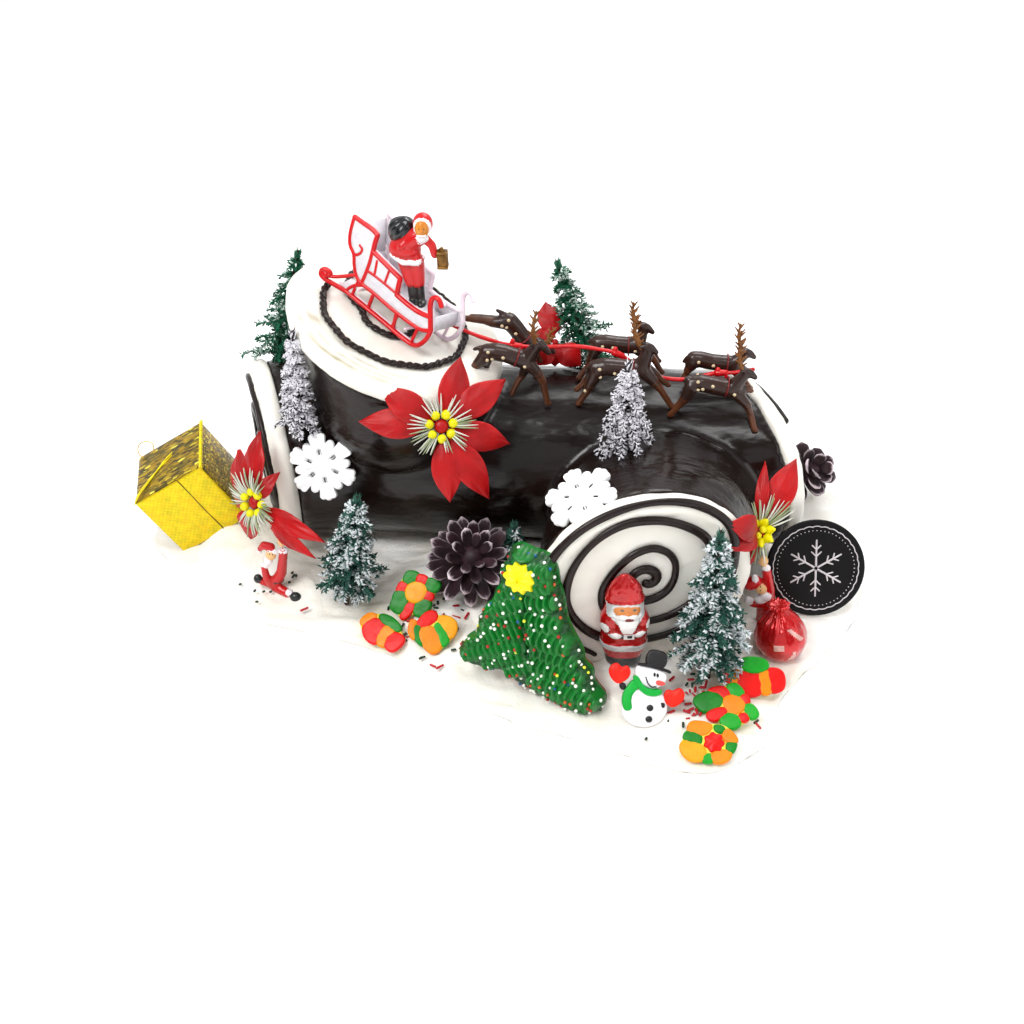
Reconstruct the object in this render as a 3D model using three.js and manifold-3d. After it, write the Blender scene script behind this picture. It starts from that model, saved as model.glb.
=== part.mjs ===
// Yule log cake: a chocolate covered roll with a stump on top and a branch at the front,
// white buttercream on every cut end, piped chocolate spirals, and winter decorations
// standing in a thin bed of buttercream snow.
// Units are millimetres. X runs along the log, Y away from the front of the cake, Z is up.
// The origin is on the flat underside of the snow, below the middle of the log's length.
import * as THREE from 'three';
import { mergeVertices } from 'three/addons/utils/BufferGeometryUtils.js';
import Module from 'manifold-3d';

const wasm = await Module();
wasm.setup();

// ---------------------------------------------------------------- driving dimensions
const GAP = 0.3;                 // clearance between pieces that touch
const GROW = 0.75;               // how far a neighbour is swollen before it cuts a seat
const SNOW_T = 3.6;              // thickness of the buttercream bed away from its mounds
const SNOW_FLOOR = 3;            // the log stands on the bed at this height
const LOG_R = 45.4;              // radius of the roll
const LOG_Z = 45.4;              // height of its axis
const LEFT_X = -145.5, LEFT_SLOPE = 0.4;    // left cut: x = LEFT_X - LEFT_SLOPE * y
const RIGHT_X = 91.5, RIGHT_SLOPE = 0.58;   // right cut: x = RIGHT_X - RIGHT_SLOPE * y
const END_ICING = 10;            // thickness of buttercream on the log's ends
const STUMP = { x: -81, y: -4, z: 129.7, tiltX: 21.2, tiltY: 3.4, r: 50, icing: 13 };
const STUB = { x: 42, y: -101.5, z: 50.4, az: 17, el: 3, a: 52.4, b: 48, icing: 8 };
const PIPE_W = 2.1, PIPE_H = 1.5;           // half width and half height of the piped chocolate lines
const ROPE_R = 2.3;              // radius of the twisted chocolate rope on the stump
const TREE_TIERS = 4;
const PETAL_W = 14;              // width of a poinsettia petal
const FLAKE_D = 35, FLAKE_T = 3.2;          // sugar snowflakes
const BOX_S = 41.8;              // foil covered gift box
const COOKIE_W = 74, COOKIE_H = 80, COOKIE_T = 5;
const PLAQUE_R = 24.2, PLAQUE_T = 2.4;
const PARCEL_T = 3.4;            // flat sugar parcels
const TOL = 0.3;                 // how far a joined skin may be smoothed to drop needless facets
const DEG = Math.PI / 180;

// ---------------------------------------------------------------- solids and joins
const V = (x, y, z) => new THREE.Vector3(x, y, z);

function tidy(geometry) {
  const g = geometry.index ? geometry.clone() : geometry.clone();
  for (const key of Object.keys(g.attributes)) if (key !== 'position') g.deleteAttribute(key);
  const m = mergeVertices(g, 1e-4);
  const src = m.index.array, keep = [];
  for (let i = 0; i < src.length; i += 3) {
    const [a, b, c] = [src[i], src[i + 1], src[i + 2]];
    if (a !== b && b !== c && a !== c) keep.push(a, b, c);
  }
  m.setIndex(keep);
  return m;
}

function volume(g) {
  const p = g.attributes.position, ix = g.index.array;
  const a = V(0, 0, 0), b = V(0, 0, 0), c = V(0, 0, 0);
  let v = 0;
  for (let i = 0; i < ix.length; i += 3) {
    a.fromBufferAttribute(p, ix[i]); b.fromBufferAttribute(p, ix[i + 1]); c.fromBufferAttribute(p, ix[i + 2]);
    v += a.dot(b.cross(c)) / 6;
  }
  return v;
}

function outward(g) {
  if (volume(g) < 0) {
    const ix = Array.from(g.index.array);
    for (let i = 0; i < ix.length; i += 3) { const t = ix[i]; ix[i] = ix[i + 1]; ix[i + 1] = t; }
    g.setIndex(ix);
  }
  return g;
}

function solid(geometry) {
  const m = outward(tidy(geometry));
  return new wasm.Manifold(new wasm.Mesh({
    numProp: 3,
    vertProperties: new Float32Array(m.attributes.position.array),
    triVerts: new Uint32Array(m.index.array),
  }));
}

function surface(manifold) {
  const mesh = manifold.getMesh(), n = mesh.numProp;
  const pos = [];
  for (let i = 0; i < mesh.vertProperties.length; i += n) {
    pos.push(mesh.vertProperties[i], mesh.vertProperties[i + 1], mesh.vertProperties[i + 2]);
  }
  const g = new THREE.BufferGeometry();
  g.setAttribute('position', new THREE.Float32BufferAttribute(pos, 3));
  g.setIndex(Array.from(mesh.triVerts));
  return g;
}

const join = (parts) => parts.map(solid).reduce((a, b) => a.add(b));
const joined = (parts, tol = TOL) => surface(join(parts).simplify(tol));

// a closed skin through rings of equal length, with a fan on each end
function loft(rings) {
  const n = rings[0].length, pos = [], ix = [];
  for (const r of rings) for (const p of r) pos.push(p.x, p.y, p.z);
  for (let k = 0; k + 1 < rings.length; k++) {
    for (let i = 0; i < n; i++) {
      const a = k * n + i, b = k * n + (i + 1) % n, c = a + n, d = b + n;
      ix.push(a, b, d, a, d, c);
    }
  }
  for (const [k, flip] of [[0, true], [rings.length - 1, false]]) {
    const mid = rings[k].reduce((s, p) => s.add(p), V(0, 0, 0)).divideScalar(n);
    const m = pos.length / 3;
    pos.push(mid.x, mid.y, mid.z);
    for (let i = 0; i < n; i++) {
      const a = k * n + i, b = k * n + (i + 1) % n;
      if (flip) ix.push(b, a, m); else ix.push(a, b, m);
    }
  }
  const g = new THREE.BufferGeometry();
  g.setAttribute('position', new THREE.Float32BufferAttribute(pos, 3));
  g.setIndex(ix);
  return outward(g);
}

const ball = (x, y, z, rx, ry = rx, rz = rx, w = 8, h = 6) =>
  new THREE.SphereGeometry(1, w, h).scale(rx, ry, rz).translate(x, y, z);

const block = (x, y, z, w, d, h) => new THREE.BoxGeometry(w, d, h).translate(x, y, z);

// a round limb from p to q
function limb(p, q, r0, r1, sides = 5) {
  const d = q.clone().sub(p);
  const g = new THREE.CylinderGeometry(r1, r0, d.length(), sides);
  g.applyQuaternion(new THREE.Quaternion().setFromUnitVectors(V(0, 1, 0), d.clone().normalize()));
  const m = p.clone().add(q).multiplyScalar(0.5);
  return g.translate(m.x, m.y, m.z);
}

// a bead of icing or a strip along a line of points
function bead(points, r, sides, steps) {
  const ring = new THREE.Shape();
  for (let i = 0; i < sides; i++) {
    const t = (i / sides) * 2 * Math.PI;
    if (i) ring.lineTo(r * Math.cos(t), r * Math.sin(t)); else ring.moveTo(r, 0);
  }
  return new THREE.ExtrudeGeometry(ring, {
    steps, bevelEnabled: false, extrudePath: new THREE.CatmullRomCurve3(points),
  });
}

// a flattened line of icing along points that lie in the plane with normal n
function line(points, n, w, h) {
  return loft(points.map((p, i) => {
    const side = points[Math.min(i + 1, points.length - 1)].clone().sub(points[Math.max(i - 1, 0)]).cross(n).normalize();
    const end = i === 0 || i === points.length - 1 ? 0.6 : 1;
    return [[side, w], [n, h], [side, -w], [n, -h]].map(([d, k]) => p.clone().addScaledVector(d, k * end));
  }));
}

function plate(outline, t) {
  const s = new THREE.Shape(outline.map(([x, y]) => new THREE.Vector2(x, y)));
  return new THREE.ExtrudeGeometry(s, { depth: t, bevelEnabled: false, steps: 1 });
}

// ---------------------------------------------------------------- the model's root and its finishes
const cake = new THREE.Group();
const finish = (color, roughness = 0.6, metalness = 0) =>
  new THREE.MeshStandardMaterial({ color, roughness, metalness });
const CHOCOLATE = finish(0x1b0f0c, 0.28), CREAM = finish(0xf4f1e8, 0.55), PIPED = finish(0x241512, 0.4);
const RED = finish(0xc01318, 0.4), WHITE = finish(0xf7f6f2, 0.6), GREEN = finish(0x14603a, 0.5);

const meshes = {};
function add(name, geometry, material, parent = cake) {
  const m = new THREE.Mesh(geometry, material);
  m.name = name;
  parent.add(m);
  meshes[name] = m;
  return m;
}

// turns a piece so that its own +Z looks towards azimuth az (0 is the cake's front, 90 its
// right end) and elevation el, with its own +Y up and an extra spin about +Z
function look(mesh, x, y, z, az = 0, el = 0, spin = 0) {
  const a = az * DEG, e = el * DEG;
  const zx = V(Math.sin(a) * Math.cos(e), -Math.cos(a) * Math.cos(e), Math.sin(e));
  const xx = V(Math.cos(a), Math.sin(a), 0);
  const yx = zx.clone().cross(xx);
  const q = new THREE.Quaternion().setFromRotationMatrix(new THREE.Matrix4().makeBasis(xx, yx, zx));
  mesh.quaternion.copy(q.multiply(new THREE.Quaternion().setFromAxisAngle(V(0, 0, 1), spin * DEG)));
  mesh.position.set(x, y, z);
  return mesh;
}

// stands a piece whose +Z is its own height so that it points from its foot to its tip
function stand(mesh, foot, tip) {
  mesh.quaternion.setFromUnitVectors(V(0, 0, 1), tip.clone().sub(foot).normalize());
  mesh.position.copy(foot);
  return mesh;
}

function worldSolid(mesh, grow = 0) {
  mesh.updateWorldMatrix(true, false);
  const g = outward(tidy(mesh.geometry.clone().applyMatrix4(mesh.matrixWorld)));
  if (grow) {
    g.computeVertexNormals();
    const p = g.attributes.position, n = g.attributes.normal;
    for (let i = 0; i < p.count; i++) {
      p.setXYZ(i, p.getX(i) + grow * n.getX(i), p.getY(i) + grow * n.getY(i), p.getZ(i) + grow * n.getZ(i));
    }
    g.deleteAttribute('normal');
  }
  return solid(g);
}

// cuts a seat in a piece for every neighbour that it meets, and keeps its largest part
function seat(name, ...others) {
  const mesh = meshes[name];
  let s = worldSolid(mesh);
  for (const o of others) {
    const cutter = typeof o === 'string' ? worldSolid(meshes[o], GROW) : o;
    s = s.subtract(cutter);
  }
  const parts = s.simplify(0.22).decompose();
  const best = parts.reduce((a, b) => (volume(surface(a)) >= volume(surface(b)) ? a : b));
  mesh.geometry = surface(best).applyMatrix4(mesh.matrixWorld.clone().invert());
}

// ---------------------------------------------------------------- buttercream snow
// the bed's edge, a smooth closed curve through these corners
const EDGE = new THREE.CatmullRomCurve3([
  [-222, -26], [-212, -44], [-192, -57], [-174, -74], [-149, -90], [-115, -99], [-78, -111], [-51, -128],
  [-20, -148], [10, -158], [43, -169], [66, -175.5], [88, -169], [101, -156], [110, -131], [128, -105],
  [150, -76], [158, -40], [157, 10], [138, 46], [60, 52], [-60, 52], [-150, 56], [-205, 30],
].map(([x, y]) => V(x, y, 0)), true, 'centripetal');
const BED = { x: -30, y: -48 };
// soft heaps of snow: x, y, height, spread
const MOUNDS = [
  [-176, -30, 15, 13], [-160, -52, 7, 14], [-56, -54, 8, 15], [-72, -72, 3, 9], [-60, -92, 5, 9],
  [-84, -99, 3, 9], [-130, -66, 5, 16], [60, -130, 4, 20], [88, -128, 4, 12], [15, -136, 3, 14],
  [-20, -120, 3, 16], [126, -62, 6, 16], [105, -95, 3, 14], [34, -121, 3.6, 10],
];
function snowHeight(x, y, s) {
  let h = SNOW_T;
  for (const [mx, my, mh, mw] of MOUNDS) h += mh * Math.exp(-((x - mx) ** 2 + (y - my) ** 2) / (2 * mw * mw));
  h += 0.5 * Math.sin(x * 0.11 + y * 0.05) * Math.sin(y * 0.13 - x * 0.03);
  return 0.9 + (h - 0.9) * Math.sqrt(Math.max(0, 1 - s ** 6));
}
function snowBed() {
  const N = 32, S = [0.3, 0.6, 0.86, 1];
  const edge = EDGE.getSpacedPoints(N).slice(0, N);
  const ring = (s, z) => edge.map((e) => {
    const x = BED.x + s * (e.x - BED.x), y = BED.y + s * (e.y - BED.y);
    return V(x, y, z === undefined ? snowHeight(x, y, s) : z);
  });
  return loft([...S.map((s) => ring(s)), ring(1, 0)]);
}
add('snow_base', snowBed(), CREAM);

// ---------------------------------------------------------------- the three rolls
const leftX = (y) => LEFT_X - LEFT_SLOPE * y;
const rightX = (y) => RIGHT_X - RIGHT_SLOPE * y;

// the log: a roll with both ends cut on the slant, flattened where it lies
function logRoll() {
  const N = 30, K = 3, rings = [];
  for (let k = 0; k <= K; k++) {
    const f = k / K;
    rings.push(Array.from({ length: N }, (_, i) => {
      const t = (i / N) * 2 * Math.PI;
      const r = LOG_R * (1 + 0.006 * Math.sin(3 * t + 5 * f) * Math.sin(Math.PI * f));
      const y = r * Math.sin(t), z = Math.max(SNOW_FLOOR + GAP, LOG_Z + r * Math.cos(t));
      return V(leftX(y) + f * (rightX(y) - leftX(y)), y, z);
    }));
  }
  return loft(rings);
}
add('log_main', logRoll(), CHOCOLATE);

// the stump's slanted top plane
const stumpTop = (x, y) => STUMP.z - Math.tan(STUMP.tiltX * DEG) * (x - STUMP.x) + Math.tan(STUMP.tiltY * DEG) * (y - STUMP.y);
function stumpRing(r, drop, n = 26) {
  return Array.from({ length: n }, (_, i) => {
    const t = (i / n) * 2 * Math.PI;
    const x = STUMP.x + r * Math.cos(t), y = STUMP.y + r * Math.sin(t);
    return V(x, y, stumpTop(x, y) - drop);
  });
}
function stumpRoll() {
  const n = 26, flat = (r, z) => Array.from({ length: n }, (_, i) => {
    const t = (i / n) * 2 * Math.PI;
    return V(STUMP.x + r * Math.cos(t), STUMP.y + r * Math.sin(t), z);
  });
  return loft([flat(40, 64), flat(45.5, 74), flat(48.5, 84), stumpRing(STUMP.r, STUMP.icing + GAP)]);
}
add('stump_top', stumpRoll(), CHOCOLATE);

// the branch: a short roll that runs out to the front, cut on the slant
const branchAxes = (az, el) => {
  const a = az * DEG, e = el * DEG;
  const n = V(Math.sin(a) * Math.cos(e), -Math.cos(a) * Math.cos(e), Math.sin(e));
  const h = V(Math.cos(a), Math.sin(a), 0);
  return { n, h, v: n.clone().cross(h) };
};
function ovalRing(c, axes, a, b, push = 0, n = 36, floor = SNOW_FLOOR + GAP) {
  return Array.from({ length: n }, (_, i) => {
    const t = (i / n) * 2 * Math.PI;
    const p = c.clone().addScaledVector(axes.h, a * Math.cos(t)).addScaledVector(axes.v, b * Math.sin(t)).addScaledVector(axes.n, push);
    p.z = Math.max(floor, p.z);
    return p;
  });
}
const stubFace = branchAxes(STUB.az, STUB.el);
const stubC = V(STUB.x, STUB.y, STUB.z);
add('stub_front', loft([
  ovalRing(V(53, -24, 42), branchAxes(0, 0), 54, 38.5, 0, 26),
  ovalRing(V(50, -54, 44.5), branchAxes(4, 1), 53, 41.5, 0, 26),
  ovalRing(V(46, -79, 47.8), branchAxes(10, 2), 52.4, 45.5, 0, 26),
  ovalRing(stubC, stubFace, STUB.a, STUB.b, 0, 26),
]), CHOCOLATE);
seat('stump_top', 'log_main');
seat('stub_front', 'log_main', 'stump_top');

// ---------------------------------------------------------------- buttercream on the cut ends
const CAP = [[GAP, 0.995], [0.35, 1.02], [0.75, 0.99], [1, 0.87]];
function ovalCap(c, axes, a, b, thick) {
  const rings = CAP.map(([f, s], i) => ovalRing(c, axes, a * s, b * s, i ? f * thick : GAP, 26));
  return loft(rings);
}
const endAxes = (slope, sign) => {
  const az = sign > 0 ? 90 + Math.atan(slope) / DEG : -(90 - Math.atan(slope) / DEG);
  return branchAxes(az, 0);
};
const leftAxes = endAxes(LEFT_SLOPE, -1), rightAxes = endAxes(RIGHT_SLOPE, 1);
const leftC = V(LEFT_X, 0, LOG_Z), rightC = V(RIGHT_X, 0, LOG_Z);
const LEFT_A = LOG_R * Math.hypot(1, LEFT_SLOPE), RIGHT_A = LOG_R * Math.hypot(1, RIGHT_SLOPE);
add('icing_left', ovalCap(leftC, leftAxes, LEFT_A, LOG_R, END_ICING), CREAM);
add('icing_right', ovalCap(rightC, rightAxes, RIGHT_A, LOG_R, END_ICING), CREAM);
add('icing_stub', ovalCap(stubC, stubFace, STUB.a, STUB.b, STUB.icing), CREAM);
add('icing_stump', loft([
  [STUMP.r, STUMP.icing], [STUMP.r + 2, 9.5], [STUMP.r + 1.6, 5.2], [STUMP.r - 5, 2.4],
].map(([r, drop]) => stumpRing(r, drop))), CREAM);
seat('icing_stub', 'log_main');
seat('snow_base', 'log_main', 'stub_front', 'icing_left', 'icing_right', 'icing_stub');

// ---------------------------------------------------------------- piped chocolate spirals
// each spiral grows evenly with its angle, in the flat oval of the face it is piped on
function spiral(c, axes, push, from, to, steps, radius, sx, sy, turn = 1) {
  return Array.from({ length: steps + 1 }, (_, i) => {
    const deg = from + (to - from) * (i / steps), t = deg * DEG * turn, r = radius(deg);
    return c.clone().addScaledVector(axes.h, sx * r * Math.cos(t)).addScaledVector(axes.v, sy * r * Math.sin(t)).addScaledVector(axes.n, push);
  });
}
// the branch's line wanders: distance from its middle after so many degrees of turning
const WANDER = [[60, 5], [262, 12.4], [361, 12.8], [440, 18], [508, 17], [567, 24], [640, 25.6], [745, 33], [790, 32],
  [830, 36], [905, 39], [990, 36.5], [1082, 41.3], [1112, 44.6], [1160, 42.4], [1195, 43.5], [1240, 49.6], [1318, 47.6]];
function wander(deg) {
  const k = Math.max(1, WANDER.findIndex(([d]) => d >= deg)), [d0, r0] = WANDER[k - 1], [d1, r1] = WANDER[k];
  return r0 + (r1 - r0) * (deg - d0) / (d1 - d0);
}
// the front of the icing falls back towards its rim
const capFront = (s) => (s < 0.84 ? 1 : 1 + 0.08 * Math.min(1, (s - 0.84) / 0.05) - 0.25 * Math.max(0, Math.min(1, (s - 0.9) / 0.09)));
const stubSpiral = stubC.clone().addScaledVector(stubFace.h, 1.2).addScaledVector(stubFace.v, 5.2);
const stubLine = spiral(stubSpiral, stubFace, 0, 60, 1318, 46, wander, 1, 1).map((p) => {
  const d = p.clone().sub(stubC), s = Math.hypot(d.dot(stubFace.h) / STUB.a, d.dot(stubFace.v) / STUB.b);
  return p.addScaledVector(stubFace.n, STUB.icing * capFront(s) + PIPE_H + GAP);
});
add('piping_stub', line(stubLine, stubFace.n, PIPE_W, PIPE_H), PIPED);
add('piping_left', line(spiral(leftC, leftAxes, END_ICING + PIPE_H + GAP, 60, 840, 25,
  (d) => 2 + 0.0452 * d, 1.04, 0.96), leftAxes.n, PIPE_W, PIPE_H), PIPED);
add('piping_right', line(spiral(rightC, rightAxes, END_ICING + PIPE_H + GAP, 60, 840, 25,
  (d) => 2 + 0.0452 * d, 1.1, 0.92), rightAxes.n, PIPE_W, PIPE_H), PIPED);

// what leans on a piped face is cut back to a plain cap that clears its icing and piping
const clearOf = (c, axes, a, b, thick) => {
  const t = thick * 1.08 + 2 * PIPE_H + 2 * GAP;
  return solid(loft([-6, t].map((push) => ovalRing(c, axes, a * 1.02 + 1.4, b * 1.02 + 1.4, push, 20))));
};
const STUB_CLEAR = clearOf(stubC, stubFace, STUB.a, STUB.b, STUB.icing);
const LEFT_CLEAR = clearOf(leftC, leftAxes, LEFT_A, LOG_R, END_ICING);
const RIGHT_CLEAR = clearOf(rightC, rightAxes, RIGHT_A, LOG_R, END_ICING);

// on the stump a rope of icing: a small hook in the middle that swings out to one wide turn
const stumpAxes = (() => {
  const n = V(Math.tan(STUMP.tiltX * DEG), -Math.tan(STUMP.tiltY * DEG), 1).normalize();
  const h = V(1, 0, 0).addScaledVector(n, -n.x).normalize();
  return { n, h, v: n.clone().cross(h) };
})();
const stumpC = V(STUMP.x, STUMP.y, STUMP.z);
const ease = (a, b, t) => { const u = Math.min(1, Math.max(0, (t - a) / (b - a))); return u * u * (3 - 2 * u); };
add('piping_stump', bead(spiral(stumpC, stumpAxes, ROPE_R - 2.4 + GAP, 0, 552, 30,
  (d) => 11 + 5.5 * ease(0, 110, d) + 19.8 * ease(160, 235, d), 1, 1, -1), ROPE_R, 4, 30), PIPED);

// ---------------------------------------------------------------- gift box
const box = add('gift_box', new THREE.BoxGeometry(BOX_S, BOX_S, BOX_S), finish(0xc9a300, 0.3, 0.9));
box.position.set(-196.7, -20.5, 30.4);
box.rotation.set(0, -27 * DEG, 14.5 * DEG, 'ZYX');
seat('snow_base', 'gift_box');
seat('gift_box', LEFT_CLEAR);

// ---------------------------------------------------------------- trees: tapering tiers of twigs
function tree(height, radius) {
  const pts = [[0, 0], [radius * 0.3, 0]];
  for (let i = 0; i < TREE_TIERS; i++) {
    const f0 = 0.05 + 0.82 * (i / TREE_TIERS), f1 = 0.05 + 0.82 * ((i + 0.9) / TREE_TIERS);
    pts.push([radius * (1 - 0.88 * f0), height * f0], [radius * (0.62 - 0.55 * f1), height * f1]);
  }
  pts.push([0, height]);
  return new THREE.LatheGeometry(pts.map(([x, y]) => new THREE.Vector2(x, y)), 8).rotateX(Math.PI / 2);
}
const TREES = [
  ['tree_back_left', [-155, 30, 79], [-134.5, 30, 145.5], 15, GREEN],
  ['tree_silver_left', [-127.4, -37, 73], [-122.8, -38.5, 140], 12.5, finish(0xc9ccd2, 0.3, 0.8)],
  ['tree_back_mid', [16, 29, 80], [-3, 31, 141], 16, GREEN],
  ['tree_silver_front', [34, -44, 66], [34, -44, 132], 16, finish(0xc9ccd2, 0.3, 0.8)],
  ['tree_snow_left', [-106, -79, 5], [-93.5, -74, 72], 19.5, GREEN],
  ['tree_snow_right', [75, -125, 5], [77, -110, 86], 23.5, GREEN],
  ['tree_gap', [-21, -62, 5], [-20, -60, 44], 12, GREEN],
];
for (const [name, a, b, r, mat] of TREES) {
  const foot = V(...a), tip = V(...b);
  stand(add(name, tree(tip.distanceTo(foot), r), mat), foot, tip);
}
seat('tree_back_left', 'log_main', LEFT_CLEAR, 'stump_top', 'icing_stump');
seat('tree_silver_left', 'log_main', LEFT_CLEAR, 'stump_top', 'icing_stump', 'tree_back_left');
seat('tree_back_mid', 'log_main');
seat('tree_silver_front', 'log_main', 'stub_front');
seat('tree_snow_left', 'snow_base', 'log_main');
seat('tree_snow_right', 'snow_base', STUB_CLEAR, 'stub_front');

// ---------------------------------------------------------------- poinsettias
// a petal is a folded leaf, raised along its middle rib and drooping towards its tip
function petal(length, width, droop) {
  const rings = [0, 0.4, 1].map((f) => {
    const x = length * (0.14 + 0.86 * f), w = f === 1 ? 0.6 : width * 0.5 * (0.3 + 2.6 * f * (1 - f));
    const z = 3 * Math.sin(Math.PI * f) - droop * f * f;
    return [V(x, -w, z), V(x, 0, z - 0.3), V(x, w, z), V(x, 0, z + 1.3)];
  });
  return loft(rings);
}
// petals: [angle, length] around a low dome that stands for the ring of berries
function poinsettia(petals, scale = 1, droop = 6) {
  const parts = petals.map(([deg, len]) => petal(len, PETAL_W * scale, droop).rotateZ(deg * DEG));
  parts.push(ball(0, 0, 2.5, 8 * scale, 8 * scale, 4.6, 6, 3));
  return joined(parts, 0.3);
}
const FLOWERS = [
  ['poinsettia_main', [-54.7, -50, 96.5], 10, 33, [[141, 37], [69, 33], [32, 38], [-20, 33], [-61, 42], [-88, 37], [172, 38]], 1, 4],
  ['poinsettia_left', [-149.4, -62, 55.6], -30, 25, [[101, 36], [132, 26], [67, 23], [-9, 46], [-23, 44], [-94, 22], [180, 22]], 0.95, 4],
  ['poinsettia_right', [102.4, -62, 45], 20, 35, [[52, 39], [78, 35], [146, 25], [-172, 21], [-122, 26], [-65, 18], [0, 18]], 0.95, 4],
  ['poinsettia_back', [-3.4, 20, 101], 0, 45, [[108, 20], [60, 22], [160, 20], [-121, 15], [-47, 16], [10, 20]], 0.7, 3],
];
for (const [name, p, az, el, petals, scale, droop] of FLOWERS) {
  look(add(name, poinsettia(petals, scale, droop), RED), ...p, az, el);
}
seat('poinsettia_main', 'log_main', 'stump_top', 'icing_stump');
seat('poinsettia_left', 'log_main', LEFT_CLEAR, 'gift_box', 'snow_base', 'tree_snow_left');
seat('poinsettia_right', 'log_main', 'icing_right', 'stub_front', STUB_CLEAR, 'snow_base', 'tree_snow_right');
seat('poinsettia_back', 'log_main', 'tree_back_mid');

// ---------------------------------------------------------------- sugar snowflakes
function snowflake() {
  // each arm ends in two round lobes
  const arm = [[-20, 0.82], [-9, 1], [0, 0.92], [9, 1], [20, 0.82], [30, 0.7]];
  const outline = [];
  for (let i = 0; i < 6; i++) {
    for (const [deg, f] of arm) {
      const t = (deg + 60 * i) * DEG;
      outline.push([FLAKE_D * 0.5 * f * Math.cos(t), FLAKE_D * 0.5 * f * Math.sin(t)]);
    }
  }
  return plate(outline, FLAKE_T).translate(0, 0, -FLAKE_T / 2);
}
look(add('snowflake_left', snowflake(), WHITE), -116, -48, 68.5, -4, 24, 12);
look(add('snowflake_right', snowflake(), WHITE), 14.1, -96, 92.4, -60, 67, 16);
seat('snowflake_left', 'log_main', 'icing_left', 'stump_top', 'tree_silver_left');
seat('snowflake_right', 'log_main', 'stub_front', 'icing_stub', 'tree_silver_front');

// ---------------------------------------------------------------- pine cones: rings of opened scales
function pineCone(radius, length) {
  const parts = [ball(0, 0, 0, radius * 0.5, radius * 0.5, length * 0.48, 6, 5)];
  const rings = [[-0.3, 0.95, 5], [0, 1, 6], [0.26, 0.72, 4]];
  rings.forEach(([f, s, n], k) => {
    for (let i = 0; i < n; i++) {
      const scale = new THREE.ConeGeometry(radius * 0.34, radius * 0.85 * s, 3).rotateX(Math.PI);
      scale.scale(1, 1, 0.5).rotateZ(-Math.PI / 2).translate(radius * 0.55 * s, 0, 0);
      scale.rotateY(-(0.25 + 0.9 * (f + 0.3))).translate(0, 0, f * length);
      parts.push(scale.rotateZ(((i + 0.5 * (k % 2)) / n) * 2 * Math.PI));
    }
  });
  return joined(parts, 0.4);
}
const CONE = finish(0x3a2226, 0.6);
look(add('pinecone_front', pineCone(23, 38), CONE), -42, -66, 24, -12, 28);
look(add('pinecone_right', pineCone(16.8, 30), CONE), 134.5, 18.5, 20.5, 60, 25);
seat('pinecone_front', 'snow_base', 'log_main', STUB_CLEAR);
seat('tree_gap', 'snow_base', 'log_main', STUB_CLEAR);
seat('pinecone_front', 'tree_gap');
seat('pinecone_right', 'snow_base', RIGHT_CLEAR, 'log_main');

// ---------------------------------------------------------------- piped tree cookie
function cookieOutline(k, foot = 0) {
  // four tiers, each narrower than the one below
  const half = [[0.5, 0.02], [0.47, 0.13], [0.34, 0.3], [0.36, 0.36], [0.25, 0.55], [0.26, 0.6], [0.14, 0.8], [0.15, 0.84], [0.05, 0.98]];
  const right = half.map(([x, y]) => [x * COOKIE_W * k, foot + y * COOKIE_H * k]);
  return [...right, ...right.slice().reverse().map(([x, y]) => [-x, y])];
}
const cookieGroup = new THREE.Group();
look(cookieGroup, -7.5, -129.5, 2.5, -19.3, 12);
cake.add(cookieGroup);
add('cookie_base', plate(cookieOutline(1), COOKIE_T), finish(0xa86a3c, 0.8), cookieGroup);
const ruffles = [];
for (let row = 0; row < 5; row++) {
  const f = row / 5, w = COOKIE_W * 0.47 * (1 - f * 0.86), n = [3, 3, 2, 1, 1][row];
  for (let i = 0; i < n; i++) {
    const x = n === 1 ? 0 : -w * 0.72 + (1.44 * w * i) / (n - 1);
    ruffles.push(ball(x, COOKIE_H * (0.1 + 0.86 * f), 0, w / n + 7.5, COOKIE_H * 0.135, 6.4, 5, 3));
  }
}
const icingTree = join(ruffles.map((g) => g.translate(0, 0, COOKIE_T))).subtract(solid(block(0, 40, -20 + COOKIE_T + GAP, 200, 200, 40)));
add('cookie_icing', surface(icingTree.simplify(0.5)), finish(0x0a6b26, 0.5), cookieGroup);
const starPts = Array.from({ length: 18 }, (_, i) => {
  const r = i % 2 ? 5.2 : 7, t = (i / 18) * 2 * Math.PI;
  return [r * Math.cos(t), r * Math.sin(t)];
});
const star = add('cookie_star', plate(starPts, 4), finish(0xf7e600, 0.5), cookieGroup);
star.position.set(-3, COOKIE_H * 0.83, COOKIE_T + 3.2);
seat('cookie_icing', 'cookie_star');
for (const n of ['cookie_base', 'cookie_icing']) seat(n, 'snow_base', STUB_CLEAR, 'stub_front', 'pinecone_front');

// ---------------------------------------------------------------- foil covered chocolate figure
const bell = new THREE.LatheGeometry([
  [0, 0], [10, 0], [10.6, 3], [9.2, 19], [8.4, 30], [9.2, 38], [6.6, 46.5], [0, 57.5],
].map(([x, y]) => new THREE.Vector2(x, y)), 8).rotateX(Math.PI / 2).scale(1, 0.58, 1);
const foilSanta = add('foil_santa', joined([
  bell, limb(V(-8, -1, 26), V(-10, -2, 15), 3.2, 3.2, 3), limb(V(8, -1, 26), V(10, -2, 15), 3.2, 3.2, 3),
  ball(-5, -6, 15, 3.4, 2.8, 2.8, 5, 3), ball(5, -6, 15, 3.4, 2.8, 2.8, 5, 3), ball(0, -4.6, 26, 5.8, 4, 7.4, 5, 3),
], 0.5), finish(0xc4161c, 0.25, 0.5));
stand(foilSanta, V(35.6, -119.4, 7), V(35.2, -119, 64));
seat('foil_santa', 'snow_base', STUB_CLEAR);

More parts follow.
